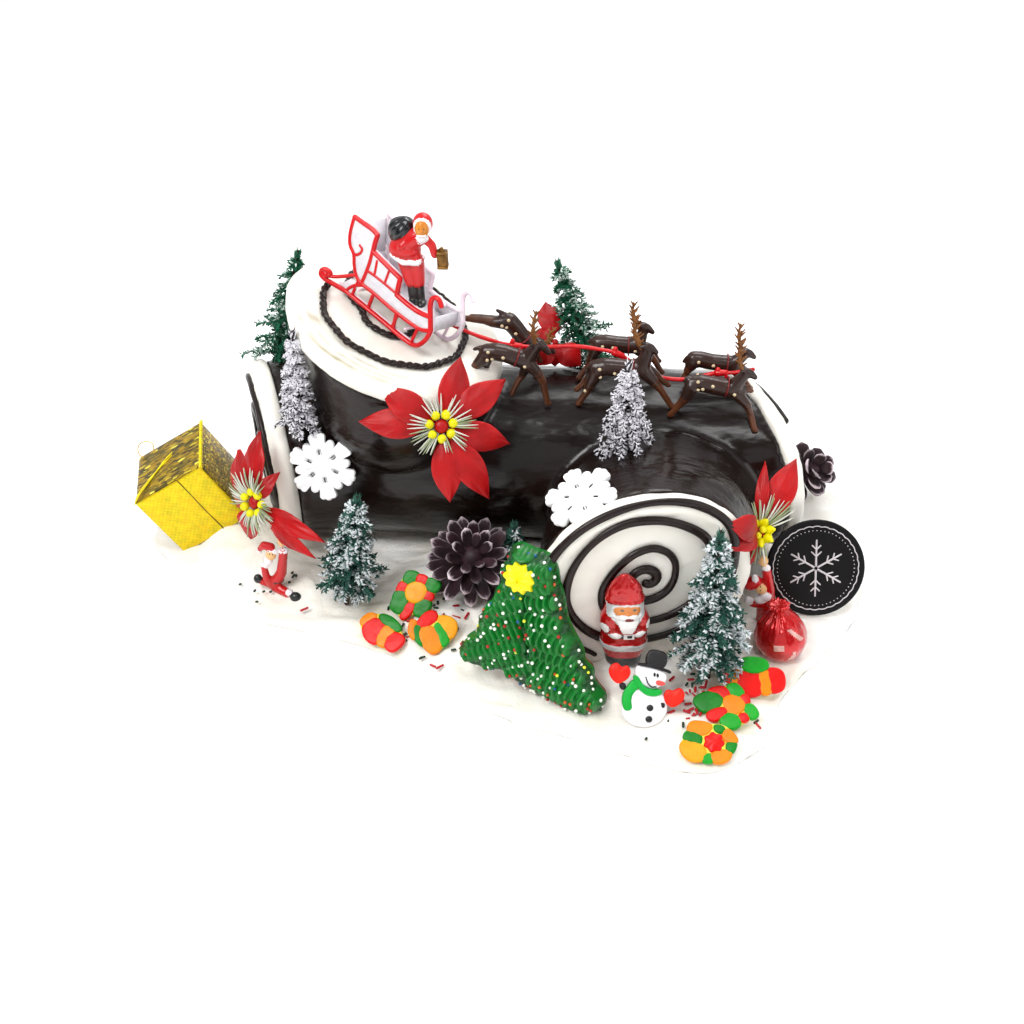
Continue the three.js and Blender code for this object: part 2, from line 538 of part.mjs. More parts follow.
// ---------------------------------------------------------------- flat sugar snowman
const disc = (x, y, r, t, n = 12) => new THREE.CylinderGeometry(r, r, t, n).rotateX(Math.PI / 2).translate(x, y, t / 2);
const snowman = add('sugar_snowman', joined([
  disc(0, 10.5, 10.5, 3.6, 12), disc(3.5, 24.5, 7.4, 3.6, 10), block(5.5, 30, 2.2, 16, 2.6, 3.4),
  block(6, 34, 2.2, 9.5, 8, 3.4), disc(-11, 24.8, 4.6, 3.8, 8), disc(14.2, 15, 4.6, 3.8, 8),
  limb(V(-9, 14, 1.8), V(-10.6, 22, 1.8), 1, 1, 4), limb(V(7, 12, 1.8), V(11, 15, 1.8), 1.2, 1.2, 4),
]), WHITE);
look(snowman, 45.6, -152.6, 2.4, 6, 42);
seat('sugar_snowman', 'snow_base', 'foil_santa');

// ---------------------------------------------------------------- flat sugar parcels
// a parcel seen from a corner, with a ribbon across it and a bow on top
function parcel(w, h) {
  const o = [[-0.5, -0.18], [-0.12, -0.5], [0.34, -0.44], [0.5, 0.1], [0.2, 0.42], [-0.36, 0.34]];
  return joined([plate(o.map(([x, y]) => [x * w, y * h]), PARCEL_T), ball(0, h * 0.06, PARCEL_T, w * 0.19, h * 0.17, 1.5, 6, 4)]);
}
const PARCELS = [
  ['parcel_a', [-72.5, -72, 13.5], 25, 25, -8, 50, 14, 0x1f8b2f], ['parcel_b', [-83.5, -99.5, 6.2], 24, 21, -12, 62, -20, 0xe0321c],
  ['parcel_c', [-59, -98, 8], 25, 23, 10, 58, 12, 0xe8a21a], ['parcel_d', [98.5, -121, 8.5], 29, 22, 20, 60, -6, 0xe0321c],
  ['parcel_e', [83.5, -139, 7], 30, 26, -15, 64, 14, 0x1f8b2f], ['parcel_f', [74.5, -160.5, 5], 27, 22, 0, 66, -4, 0xe8a21a],
];
for (const [name, p, w, h, az, el, spin, colour] of PARCELS) {
  look(add(name, parcel(w, h), finish(colour, 0.55)), ...p, az, el, spin);
  seat(name, 'snow_base');
}
seat('parcel_d', 'tree_snow_right');
seat('parcel_e', 'parcel_d', 'tree_snow_right');
seat('parcel_f', 'parcel_e');

// ---------------------------------------------------------------- small waving figures
// drawn standing, facing the front, x to the right and z up
function waver(p) {
  const at = (q) => V(q[0], q[2] ?? 0, q[1]);
  return joined([
    ball(p.belly[0], 0, p.belly[1], 4.4, 3.8, 6.6, 6, 4), limb(at(p.belly), at(p.head), 3.6, 2.4, 4), ball(p.head[0], -0.5, p.head[1], 3.7, 3.5, 3.9, 6, 4),
    limb(at([p.head[0] - 0.4, p.head[1] + 1.6]), at(p.hat), 3.4, 1.1, 5),
    limb(at(p.shoulderR), at(p.handR), 2.3, 1.9, 3), limb(at(p.shoulderL), at(p.handL), 2.3, 1.8, 3),
    limb(at(p.hip), at(p.footL), 2.7, 2.2, 3), ball(p.footL[0], -0.8, p.footL[1], 2.8, 2.8, 2.2, 5, 3),
    limb(at(p.hip), at(p.footR), 2.8, 2.4, 3), ball(p.footR[0], -0.8, p.footR[1], 3, 3, 2.3, 5, 3),
  ], 0.3);
}
const waverLeft = add('figure_left', waver({
  belly: [-1.5, 12], head: [-0.2, 26], hat: [-3.8, 32], shoulderR: [2.4, 19], handR: [6.4, 34.5], shoulderL: [-3.6, 19],
  handL: [-6, 13], hip: [0, 6], footL: [-9.5, 9], footR: [8.5, 2.2],
}), RED);
waverLeft.position.set(-142.4, -75, 4.6);
seat('figure_left', 'snow_base', 'tree_snow_left');
seat('poinsettia_left', 'figure_left');
const waverRight = add('figure_right', waver({
  belly: [1, 13], head: [0.5, 24.5], hat: [-4.6, 29.5], shoulderR: [3.5, 18.5], handR: [4.6, 38], shoulderL: [-3, 18],
  handL: [-6.4, 23], hip: [1, 7], footL: [-2.5, 2.4], footR: [5, 2.4],
}), RED);
waverRight.position.set(101.5, -80, 5);
seat('figure_right', 'snow_base', STUB_CLEAR, 'stub_front', 'tree_snow_right');
seat('poinsettia_right', 'figure_right');

// a foil wrapped chocolate, gathered at its top
const foilBall = add('foil_sweet', new THREE.LatheGeometry([
  [0, 0], [7, 0.4], [11.4, 4.5], [12.6, 10.5], [11.4, 17], [7.6, 22.5], [4.2, 25.5], [5, 29], [0, 29.4],
].map(([x, y]) => new THREE.Vector2(x, y)), 10).rotateX(Math.PI / 2), finish(0xc8141c, 0.25, 0.6));
stand(foilBall, V(112.5, -102, 3.5), V(108.5, -98, 32));
seat('foil_sweet', 'snow_base', 'figure_right', 'tree_snow_right', 'parcel_d');

// ---------------------------------------------------------------- round plaque
const plaque = add('plaque_round', disc(0, 0, PLAQUE_R, PLAQUE_T, 28), finish(0x17120f, 0.45));
look(plaque, 129.5, -64, 26.5, 3, 30);
seat('plaque_round', 'snow_base', 'figure_right', 'foil_sweet', 'pinecone_right');
seat('poinsettia_right', 'plaque_round');

// ---------------------------------------------------------------- sleigh, on two runners
// its own frame: x along the runners to the front, y up, z towards the front of the cake
const sleighRig = new THREE.Group();
{
  const yaw = -32 * DEG, roll = 10 * DEG, n = stumpAxes.n;
  const H = V(Math.cos(yaw), Math.sin(yaw), 0); H.addScaledVector(n, -n.dot(H)).normalize();
  const N = n.clone().applyAxisAngle(H, -roll), W = H.clone().cross(N);
  sleighRig.quaternion.setFromRotationMatrix(new THREE.Matrix4().makeBasis(H, N, W));
  sleighRig.position.set(-67.7, -22.4, 123.8);
}
cake.add(sleighRig);
const SLEIGH_W = 25, PANEL_T = 1.4;
const SIDE = [[-60.5, 34], [-45.5, 33], [-43.5, 25], [-35, 22], [-22, 22.6], [-20.5, 18.6], [-2, 18], [2.4, 11.4], [-39.5, 9.6], [-43, 8], [-57, 17.8]];
const runner = [[-61, 0.4, 0], [-48, 0, 0], [-26, -0.2, 0], [-4, 0.2, 0], [3, 5, 0], [3.4, 13, 0], [-0.6, 22, 0]];
const sleighParts = [];
for (const z of [0, -SLEIGH_W]) {
  sleighParts.push(plate(SIDE, PANEL_T).translate(0, 0, z - PANEL_T / 2));
  sleighParts.push(bead(runner.map(([x, y]) => V(x, y + 1.1, z)), 1.1, 4, 8));
  for (const x of [-42, -24, -6]) sleighParts.push(limb(V(x, 1, z), V(x, 12, z), 0.9, 0.9, 3));
}
sleighParts.push(block(-20, 11.2, -SLEIGH_W / 2, 42, 2.2, SLEIGH_W));
sleighParts.push(block(-49, 22, -SLEIGH_W / 2, 2, 24, SLEIGH_W));
add('sleigh', joined(sleighParts), WHITE, sleighRig);
seat('sleigh', 'icing_stump', 'piping_stump');

// the figure that rides it, with a sack on its shoulder and a lantern in its hand
const rider = add('sleigh_santa', joined([
  limb(V(-2.4, 0, 0), V(-1.8, 0, 14), 2.8, 3.2, 5), limb(V(3, 0, 0), V(1.8, 0, 14), 2.8, 3.2, 5),
  ball(-0.4, 0, 20, 6.8, 5.6, 10.2, 6, 4), ball(2.2, -1, 33.4, 4.6, 4.4, 5.4, 6, 4), ball(-6.2, 3.5, 32, 6.4, 6, 7, 6, 4),
  limb(V(4, -1, 26), V(9.6, -3, 20.5), 2.4, 1.8, 4), block(12, -3.4, 19.6, 5, 4.6, 7), limb(V(-5, -1, 26), V(-6.4, -1.4, 18), 2.4, 1.8, 4),
  block(-2.6, -1.2, 1.3, 4.6, 7, 2.6), block(3.2, -1.2, 1.3, 4.6, 7, 2.6),
], 0.35), RED);
rider.position.set(-68.5, -9.5, 141.5);
seat('sleigh_santa', 'sleigh');

// ---------------------------------------------------------------- six reindeer at a gallop
function reindeer(hind = [[-22, 1.4], [-17.5, 4.4]]) {
  const at = (x, z, y = 0) => V(x, y, z);
  const parts = [
    ball(-2, 0, 22, 12.4, 4.2, 5, 6, 4), limb(at(6, 24), at(15, 33), 3.8, 2.1, 4), ball(18, 0, 34.2, 5, 2, 2.4, 5, 3),
    limb(at(7, 21, -2), at(17, 11, -2.2), 2.2, 1.3, 3), limb(at(16.6, 12.4, -2.2), at(20.5, 0, -2.4), 1.4, 1.1, 3),
    limb(at(6, 21, 2), at(19, 15, 2.2), 2, 1.2, 3), limb(at(-13, 24), at(-16.4, 27.6), 1.5, 0.8, 3),
  ];
  hind.forEach(([x, z], i) => parts.push(limb(at(-9, 21, i ? 2 : -2), at(x, z, i ? 2.4 : -2.4), 2.4, 1, 3)));
  for (const y of [-1, 1]) {
    parts.push(limb(at(15, 35, y), at(10.5, 48, 3.2 * y), 0.9, 0.6, 3), limb(at(12.6, 41, 2 * y), at(16.4, 46, 3 * y), 0.6, 0.5, 3));
  }
  return joined(parts, 0.2);
}
// each one: foot position, turn about the vertical, nose down, size, hind hooves
const HERD = [
  ['reindeer_1_front', [-28, -19, 89.4], 18, 5, 0.97, [[-25, 16], [-19.5, 13]]], ['reindeer_1_back', [-38.8, 6, 94.8], 0, 42, 0.97, [[-24, 12], [-20, 14]]],
  ['reindeer_2_front', [31.4, -15, 84.4], 0, -7, 1.03], ['reindeer_2_back', [27, 6, 86], 0, -3, 0.95],
  ['reindeer_3_front', [76.7, -20, 81], 0, 4, 0.93], ['reindeer_3_back', [77.8, -1, 80.4], 0, -1, 0.93],
];
for (const [name, p, yaw, pitch, size, hind] of HERD) {
  const m = add(name, reindeer(hind).scale(size, size, size), finish(0x4a2a17, 0.35));
  m.position.set(...p);
  m.rotation.set(0, pitch * DEG, yaw * DEG, 'ZYX');
  seat(name, 'log_main', 'stump_top', 'icing_stump', 'icing_right', 'sleigh', 'tree_silver_front', 'tree_back_mid', 'poinsettia_main', 'poinsettia_back', 'piping_stump');
}
seat('reindeer_1_back', 'reindeer_1_front');
seat('reindeer_2_back', 'reindeer_2_front');
seat('reindeer_3_back', 'reindeer_3_front');

// the red rein that runs between the pairs
add('rein', bead([
  [-53, -3, 127.5], [-36, -3, 120], [-19, -3, 117.5], [10, -4, 116.5], [33, -4.5, 114.5], [52, -8, 107.5], [70, -9.5, 105.5], [92, -10, 106.5],
].map((p) => V(...p)), 0.95, 3, 16), RED);
seat('rein', 'sleigh', ...HERD.map(([n]) => n));

export default cake;
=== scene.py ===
# The looks of the yule log cake: fine surfaces, piping, decorations and materials,
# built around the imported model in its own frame. Lengths below are millimetres.
import math
import random

import bpy
import bmesh
import numpy as np
from mathutils import Matrix, Vector, noise
from mathutils.bvhtree import BVHTree


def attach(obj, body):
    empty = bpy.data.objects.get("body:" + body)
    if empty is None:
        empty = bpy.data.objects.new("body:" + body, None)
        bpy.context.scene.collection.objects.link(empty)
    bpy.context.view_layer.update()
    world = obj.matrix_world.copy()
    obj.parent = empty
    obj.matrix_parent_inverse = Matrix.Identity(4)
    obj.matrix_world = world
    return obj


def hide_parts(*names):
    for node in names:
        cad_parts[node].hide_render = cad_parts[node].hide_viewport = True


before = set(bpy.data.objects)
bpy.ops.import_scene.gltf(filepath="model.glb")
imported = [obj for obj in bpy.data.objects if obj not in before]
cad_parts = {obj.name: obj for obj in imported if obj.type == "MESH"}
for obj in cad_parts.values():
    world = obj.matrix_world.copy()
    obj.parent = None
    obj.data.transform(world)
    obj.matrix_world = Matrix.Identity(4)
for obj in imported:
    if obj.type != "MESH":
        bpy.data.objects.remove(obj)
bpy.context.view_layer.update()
MM = 0.001
DEG = math.pi / 180
scene = bpy.context.scene


# ---------------------------------------------------------------- placing
def A(*p):
    return np.array(p, float)


def unit(v):
    v = np.asarray(v, float)
    return v / (np.linalg.norm(v) + 1e-12)


def look(x, y, z, az=0, el=0, spin=0):
    """Own +Z looks towards azimuth az (0 is the front, 90 the right end) and elevation el."""
    a, e, s = az * DEG, el * DEG, spin * DEG
    Z = A(math.sin(a) * math.cos(e), -math.cos(a) * math.cos(e), math.sin(e))
    X = A(math.cos(a), math.sin(a), 0)
    Y = np.cross(Z, X)
    M = np.eye(4)
    M[:3, 0] = X * math.cos(s) + Y * math.sin(s)
    M[:3, 1] = -X * math.sin(s) + Y * math.cos(s)
    M[:3, 2] = Z
    M[:3, 3] = (x, y, z)
    return M


def stand(foot, tip):
    """Own +Z runs from the foot to the tip."""
    q = Vector((0, 0, 1)).rotation_difference(Vector(tip) - Vector(foot))
    M = np.eye(4)
    M[:3, :3] = np.array(q.to_matrix())
    M[:3, 3] = foot
    return M


def shift(x=0, y=0, z=0):
    M = np.eye(4)
    M[:3, 3] = (x, y, z)
    return M


def turn(axis, deg):
    M = np.eye(4)
    M[:3, :3] = np.array(Matrix.Rotation(deg * DEG, 3, axis))
    return M


def put(v, M):
    v = np.asarray(v, float)
    return v @ M[:3, :3].T + M[:3, 3]


# ---------------------------------------------------------------- soft noise, the same every run
_wave = np.random.default_rng(11)
_K = unit_dirs = _wave.normal(size=(48, 3))
_K = _K / np.linalg.norm(_K, axis=1)[:, None]
_PH = _wave.uniform(0, 2 * np.pi, 48)


def soft(P, size, seed=0, octaves=2):
    """A smooth field of about -1 to 1 whose features are about size mm wide."""
    P = np.asarray(P, float).reshape(-1, 3)
    out = np.zeros(len(P))
    amp, total = 1.0, 0.0
    for o in range(octaves):
        w = 2 * np.pi / (size * 2 / (2 ** o))
        for j in range(6):
            k = (seed * 7 + o * 6 + j * 5) % 48
            out += amp * np.sin(P @ _K[k] * w * (0.75 + 0.1 * j) + _PH[(k + seed) % 48] + 1.7 * seed)
        total += amp * 2.2
        amp *= 0.5
    return out / total


def grain(P, size, seed=0):
    """Blender's own gradient noise at each point, for finer uneven surfaces."""
    off = Vector((seed * 13.7, seed * 5.3, seed * 9.1))
    k = 1.0 / size
    return np.array([noise.noise(Vector((p[0] * k, p[1] * k, p[2] * k)) + off) for p in P])


def catmull(points, n, closed=False, even=True):
    """A smooth curve through points, resampled to n points."""
    P = np.asarray(points, float)
    L = len(P)
    segs = L if closed else L - 1
    out = []
    for i in range(segs):
        p1, p2 = P[i % L], P[(i + 1) % L]
        p0 = P[(i - 1) % L] if closed or i > 0 else 2 * P[0] - P[1]
        p3 = P[(i + 2) % L] if closed or i + 2 < L else 2 * P[-1] - P[-2]
        d0 = max(np.linalg.norm(p1 - p0), 1e-6) ** 0.5
        d1 = max(np.linalg.norm(p2 - p1), 1e-6) ** 0.5
        d2 = max(np.linalg.norm(p3 - p2), 1e-6) ** 0.5
        t1 = ((p1 - p0) / d0 - (p2 - p0) / (d0 + d1) + (p2 - p1) / d1) * d1
        t2 = ((p2 - p1) / d1 - (p3 - p1) / (d1 + d2) + (p3 - p2) / d2) * d1
        u = np.linspace(0, 1, 24, endpoint=False)[:, None]
        out.append((2 * p1 - 2 * p2 + t1 + t2) * u ** 3 + (-3 * p1 + 3 * p2 - 2 * t1 - t2) * u ** 2 + t1 * u + p1)
    out = np.vstack(out)
    if not closed:
        out = np.vstack([out, P[-1]])
    loop = np.vstack([out, out[:1]]) if closed else out
    d = np.r_[0, np.cumsum(np.linalg.norm(np.diff(loop, axis=0), axis=1))]
    t = np.linspace(0, d[-1], n, endpoint=not closed)
    return np.stack([np.interp(t, d, loop[:, k]) for k in range(P.shape[1])], 1)


# ---------------------------------------------------------------- shapes: each returns (vertices, faces)
def loft(rings, caps=True):
    rings = np.asarray(rings, float)
    K, N = rings.shape[:2]
    v = rings.reshape(-1, 3)
    f = []
    for k in range(K - 1):
        a = k * N
        for i in range(N):
            j = (i + 1) % N
            f.append((a + i, a + j, a + N + j, a + N + i))
    if caps:
        m0, m1 = rings[0].mean(0), rings[-1].mean(0)
        v = np.vstack([v, m0, m1])
        c0, c1, b = len(v) - 2, len(v) - 1, (K - 1) * N
        for i in range(N):
            j = (i + 1) % N
            f.append((j, i, c0))
            f.append((b + i, b + j, c1))
    return v, f


def ball(x=0, y=0, z=0, rx=1, ry=None, rz=None, n=16, m=10):
    ry = rx if ry is None else ry
    rz = rx if rz is None else rz
    v = [(x, y, z - rz)]
    for k in range(1, m):
        t = math.pi * k / m
        for i in range(n):
            p = 2 * math.pi * i / n
            v.append((x + rx * math.sin(t) * math.cos(p), y + ry * math.sin(t) * math.sin(p), z - rz * math.cos(t)))
    v.append((x, y, z + rz))
    f = [(0, 1 + (i + 1) % n, 1 + i) for i in range(n)]
    for k in range(m - 2):
        a = 1 + k * n
        for i in range(n):
            j = (i + 1) % n
            f.append((a + i, a + j, a + n + j, a + n + i))
    a = 1 + (m - 2) * n
    f += [(a + i, a + (i + 1) % n, len(v) - 1) for i in range(n)]
    return np.array(v, float), f


def limb(p, q, r0, r1, n=12, ends=3):
    """A round limb with round ends."""
    p, q = A(*p), A(*q)
    d = unit(q - p)
    s = unit(np.cross(d, A(0.3, 0.9, 0.2) if abs(d[1]) < 0.9 else A(1, 0, 0)))
    t = np.cross(d, s)
    rings = []
    ang = np.linspace(0, 2 * np.pi, n, endpoint=False)
    circle = np.outer(np.cos(ang), s) + np.outer(np.sin(ang), t)
    for k in range(1, ends + 1):
        a = (math.pi / 2) * k / ends
        rings.append(p - d * r0 * math.cos(a) + circle * r0 * math.sin(a))
    for k in range(ends, 0, -1):
        a = (math.pi / 2) * k / ends
        rings.append(q + d * r1 * math.cos(a) + circle * r1 * math.sin(a))
    return loft(rings)


def frames(P, normal=None):
    """Directions along a line of points: tangent, side and up at each."""
    P = np.asarray(P, float)
    T = np.gradient(P, axis=0)
    T /= np.linalg.norm(T, axis=1)[:, None] + 1e-12
    if normal is not None:
        N = np.tile(unit(normal), (len(P), 1)) if np.ndim(normal) == 1 else np.asarray(normal, float)
        S = np.cross(T, N)
        S /= np.linalg.norm(S, axis=1)[:, None] + 1e-12
        return T, S, np.cross(S, T)
    S = np.zeros_like(P)
    s = np.cross(T[0], A(0, 0, 1) if abs(T[0][2]) < 0.9 else A(1, 0, 0))
    for i, t in enumerate(T):
        s = s - t * (s @ t)
        s = unit(s)
        S[i] = s
    return T, S, np.cross(S, T)


def sweep(P, rw, rh=None, n=10, normal=None, twist=0.0, lobes=0, lobe=0.0, phase=0.0, round_ends=True):
    """A bead along points P. rw and rh are the half width and half height, numbers or one for each point."""
    P = np.asarray(P, float)
    T, S, U = frames(P, normal)
    L = len(P)
    rw = np.broadcast_to(np.asarray(rw, float), L).copy()
    rh = rw.copy() if rh is None else np.broadcast_to(np.asarray(rh, float), L).copy()
    d = np.r_[0, np.cumsum(np.linalg.norm(np.diff(P, axis=0), axis=1))]
    ang = np.linspace(0, 2 * np.pi, n, endpoint=False)
    rings = []
    for i in range(L):
        a = ang
        k = np.ones(n)
        if lobes:
            k = 1 + lobe * np.cos(lobes * (a - twist * d[i] - phase))
        rings.append(P[i] + np.outer(np.cos(a) * k * rw[i], S[i]) + np.outer(np.sin(a) * k * rh[i], U[i]))
    if round_ends:
        head, tail = [], []
        for f in (0.35, 0.75, 0.93):
            w = math.sqrt(1 - (1 - f) ** 2)
            head.append(P[0] - T[0] * rw[0] * (1 - f) + (rings[0] - P[0]) * w)
            tail.append(P[-1] + T[-1] * rw[-1] * (1 - f) + (rings[-1] - P[-1]) * w)
        rings = head + rings + tail[::-1]
    return loft(rings)


def lathe(profile, n=32, fx=1.0, fy=1.0):
    """Profile of (radius, height) turned about Z; it starts and ends on the axis."""
    rings = [[(r * math.cos(a) * fx, r * math.sin(a) * fy, z) for a in np.linspace(0, 2 * math.pi, n, endpoint=False)]
             for r, z in profile]
    return loft(rings)


def offset(outline, d):
    """An outline moved outwards by d (counter-clockwise outlines)."""
    P = np.asarray(outline, float)
    nxt, prv = np.roll(P, -1, 0), np.roll(P, 1, 0)
    e1, e0 = nxt - P, P - prv
    n1 = np.stack([e1[:, 1], -e1[:, 0]], 1)
    n0 = np.stack([e0[:, 1], -e0[:, 0]], 1)
    n1 /= np.linalg.norm(n1, axis=1)[:, None] + 1e-9
    n0 /= np.linalg.norm(n0, axis=1)[:, None] + 1e-9
    m = n0 + n1
    m /= np.linalg.norm(m, axis=1)[:, None] + 1e-9
    k = 1 / np.clip((m * n1).sum(1), 0.6, 1)
    return P + m * (d * k)[:, None]


def plate(outline, t, bevel=0.4, steps=3, z0=0.0):
    """A flat piece of thickness t above z0 with rounded edges."""
    O = np.asarray(outline, float)
    if ((O[:, 0] * np.roll(O[:, 1], -1) - np.roll(O[:, 0], -1) * O[:, 1]).sum()) < 0:
        O = O[::-1]
    rings = []
    for k in range(steps + 1):
        a = (math.pi / 2) * k / steps
        rings.append((-bevel * (1 - math.sin(a)), z0 + bevel * (1 - math.cos(a))))
    for k in range(steps, -1, -1):
        a = (math.pi / 2) * k / steps
        rings.append((-bevel * (1 - math.sin(a)), z0 + t - bevel * (1 - math.cos(a))))
    N = len(O)
    v, f = [], []
    for d, z in rings:
        o = offset(O, d)
        v += [(x, y, z) for x, y in o]
    for k in range(len(rings) - 1):
        a = k * N
        for i in range(N):
            j = (i + 1) % N
            f.append((a + i, a + j, a + N + j, a + N + i))
    f.append(tuple(range(N - 1, -1, -1)))
    b = (len(rings) - 1) * N
    f.append(tuple(range(b, b + N)))
    return np.array(v, float), f


def block(cx, cy, cz, w, d, h, bevel=0.0, steps=2):
    o = [(-w / 2, -d / 2), (w / 2, -d / 2), (w / 2, d / 2), (-w / 2, d / 2)]
    if bevel:
        b = bevel
        o = []
        for sx, sy, a0 in ((1, -1, -90), (1, 1, 0), (-1, 1, 90), (-1, -1, 180)):
            for k in range(4):
                a = (a0 + 30 * k) * DEG
                o.append((sx * (w / 2 - b) + b * math.cos(a), sy * (d / 2 - b) + b * math.sin(a)))
    v, f = plate(o, h, bevel * 0.9, steps if bevel else 1)
    return v + A(cx, cy, cz - h / 2), f


# ---------------------------------------------------------------- pieces
class Skin:
    """Vertices and faces of one piece, with a finish for each face and, for the finishes to read,
    a tone and a local place for each vertex."""

    def __init__(self):
        self.v, self.f, self.m, self.t, self.l, self.n = [], [], [], [], [], 0

    def add(self, shape, mat=0, at=None, tone=0.0, loc=None):
        v, f = shape
        v = np.asarray(v, float).reshape(-1, 3)
        loc = v if loc is None else np.asarray(loc, float)
        if at is not None:
            v = put(v, at)
        n = self.n
        self.v.append(v)
        self.l.append(loc)
        self.t.append(np.broadcast_to(np.asarray(tone, float), len(v)))
        self.f += [tuple([i + n for i in q]) for q in f]
        self.m += [mat] * len(f) if np.isscalar(mat) else list(mat)
        self.n += len(v)
        return self

    def join(self, other, at=None):
        base = self.n
        for v, l, t in zip(other.v, other.l, other.t):
            self.v.append(put(v, at) if at is not None else v)
            self.l.append(l)
            self.t.append(t)
        self.f += [tuple([i + base for i in q]) for q in other.f]
        self.m += other.m
        self.n += other.n
        return self


def raw_object(name, skin):
    me = bpy.data.meshes.new(name)
    me.from_pydata((np.vstack(skin.v) * MM).tolist(), [], skin.f)
    me.update()
    ob = bpy.data.objects.new(name, me)
    scene.collection.objects.link(ob)
    return ob


def outwards(me):
    bm = bmesh.new()
    bm.from_mesh(me)
    bmesh.ops.recalc_face_normals(bm, faces=bm.faces)
    bm.to_mesh(me)
    bm.free()


def piece(name, skin, materials, nodes=(), sharp=None, flip=True):
    """Makes one piece of the cake, which rides on the root body."""
    me = bpy.data.meshes.new(name)
    V = np.vstack(skin.v)
    # nothing buried in the snow goes on through its underside
    V[:, 2] = np.where(V[:, 2] < 0, 0.3, V[:, 2])
    me.from_pydata((V * MM).tolist(), [], skin.f)
    me.polygons.foreach_set("material_index", np.array(skin.m, np.int32))
    tone = me.attributes.new("tone", "FLOAT", "POINT")
    tone.data.foreach_set("value", np.concatenate(skin.t).astype(np.float32))
    loc = me.attributes.new("loc", "FLOAT_VECTOR", "POINT")
    loc.data.foreach_set("vector", np.vstack(skin.l).astype(np.float32).ravel())
    for m in materials:
        me.materials.append(m)
    me.update()
    if flip:
        outwards(me)
    me.polygons.foreach_set("use_smooth", np.ones(len(me.polygons), bool))
    if sharp is not None:
        me.set_sharp_from_angle(angle=sharp * DEG)
    me.update()
    ob = bpy.data.objects.new(name, me)
    scene.collection.objects.link(ob)
    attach(ob, "root")
    if nodes:
        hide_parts(*nodes)
    return ob


def remesh(skin, voxel, smooth=4, factor=0.5):
    """Joins everything in a skin to one smooth closed surface. Returns vertices in mm and faces."""
    ob = raw_object("work", skin)
    m = ob.modifiers.new("r", "REMESH")
    m.mode = "VOXEL"
    m.voxel_size = voxel * MM
    m.adaptivity = 0
    if smooth:
        s = ob.modifiers.new("s", "SMOOTH")
        s.factor = factor
        s.iterations = smooth
    dg = bpy.context.evaluated_depsgraph_get()
    me = bpy.data.meshes.new_from_object(ob.evaluated_get(dg))
    v = np.zeros(len(me.vertices) * 3)
    me.vertices.foreach_get("co", v)
    v = v.reshape(-1, 3) / MM
    f = [tuple(p.vertices) for p in me.polygons]
    bpy.data.objects.remove(ob)
    bpy.data.meshes.remove(me)
    return v, f


def normals(v, f):
    q = np.array([p if len(p) == 4 else (p[0], p[1], p[2], p[2]) for p in f])
    n = np.cross(v[q[:, 2]] - v[q[:, 0]], v[q[:, 3]] - v[q[:, 1]])
    tri = q[:, 2] == q[:, 3]
    n[tri] = np.cross(v[q[tri, 1]] - v[q[tri, 0]], v[q[tri, 2]] - v[q[tri, 0]])
    out = np.zeros_like(v)
    for k in range(4):
        np.add.at(out, q[:, k], n)
    return out / (np.linalg.norm(out, axis=1)[:, None] + 1e-12)


# primitives of a painted figure: a shape for the joined body, and a distance that says what is painted how
class Prim:
    def __init__(self, kind, mat, *a):
        self.kind, self.mat, self.a = kind, mat, a

    def shape(self):
        if self.kind == "limb":
            p, q, r0, r1 = self.a
            return limb(p, q, r0, r1, 14, 4)
        if self.kind == "ball":
            return ball(*self.a, n=20, m=14)
        return block(*self.a)

    def dist(self, P):
        if self.kind == "limb":
            p, q, r0, r1 = A(*self.a[0]), A(*self.a[1]), self.a[2], self.a[3]
            d = q - p
            t = np.clip(((P - p) @ d) / (d @ d), 0, 1)
            return np.linalg.norm(P - p - t[:, None] * d, axis=1) - (r0 + (r1 - r0) * t)
        if self.kind == "ball":
            x, y, z, rx, ry, rz = self.a
            k = np.linalg.norm((P - A(x, y, z)) / A(rx, ry, rz), axis=1)
            return (k - 1) * min(rx, ry, rz)
        cx, cy, cz, w, d, h = self.a[:6]
        q = np.abs(P - A(cx, cy, cz)) - A(w, d, h) / 2
        return np.linalg.norm(np.maximum(q, 0), axis=1) + np.minimum(q.max(1), 0)


def L(mat, p, q, r0, r1):
    return Prim("limb", mat, p, q, r0, r1)


def B(mat, x, y, z, rx, ry=None, rz=None):
    return Prim("ball", mat, x, y, z, rx, rx if ry is None else ry, rx if rz is None else rz)


def figure(prims, voxel=0.4, smooth=3, only=None):
    """A body joined from primitives; each face takes the finish of the primitive it lies on."""
    s = Skin()
    for p in prims:
        s.add(p.shape())
    v, f = remesh(s, voxel, smooth)
    c = np.array([v[list(q)].mean(0) for q in f])
    D = np.stack([p.dist(c) - 1e-3 * i for i, p in enumerate(prims)], 1)
    best = np.abs(D).argmin(1)
    return (v, f), [prims[i].mat for i in best]


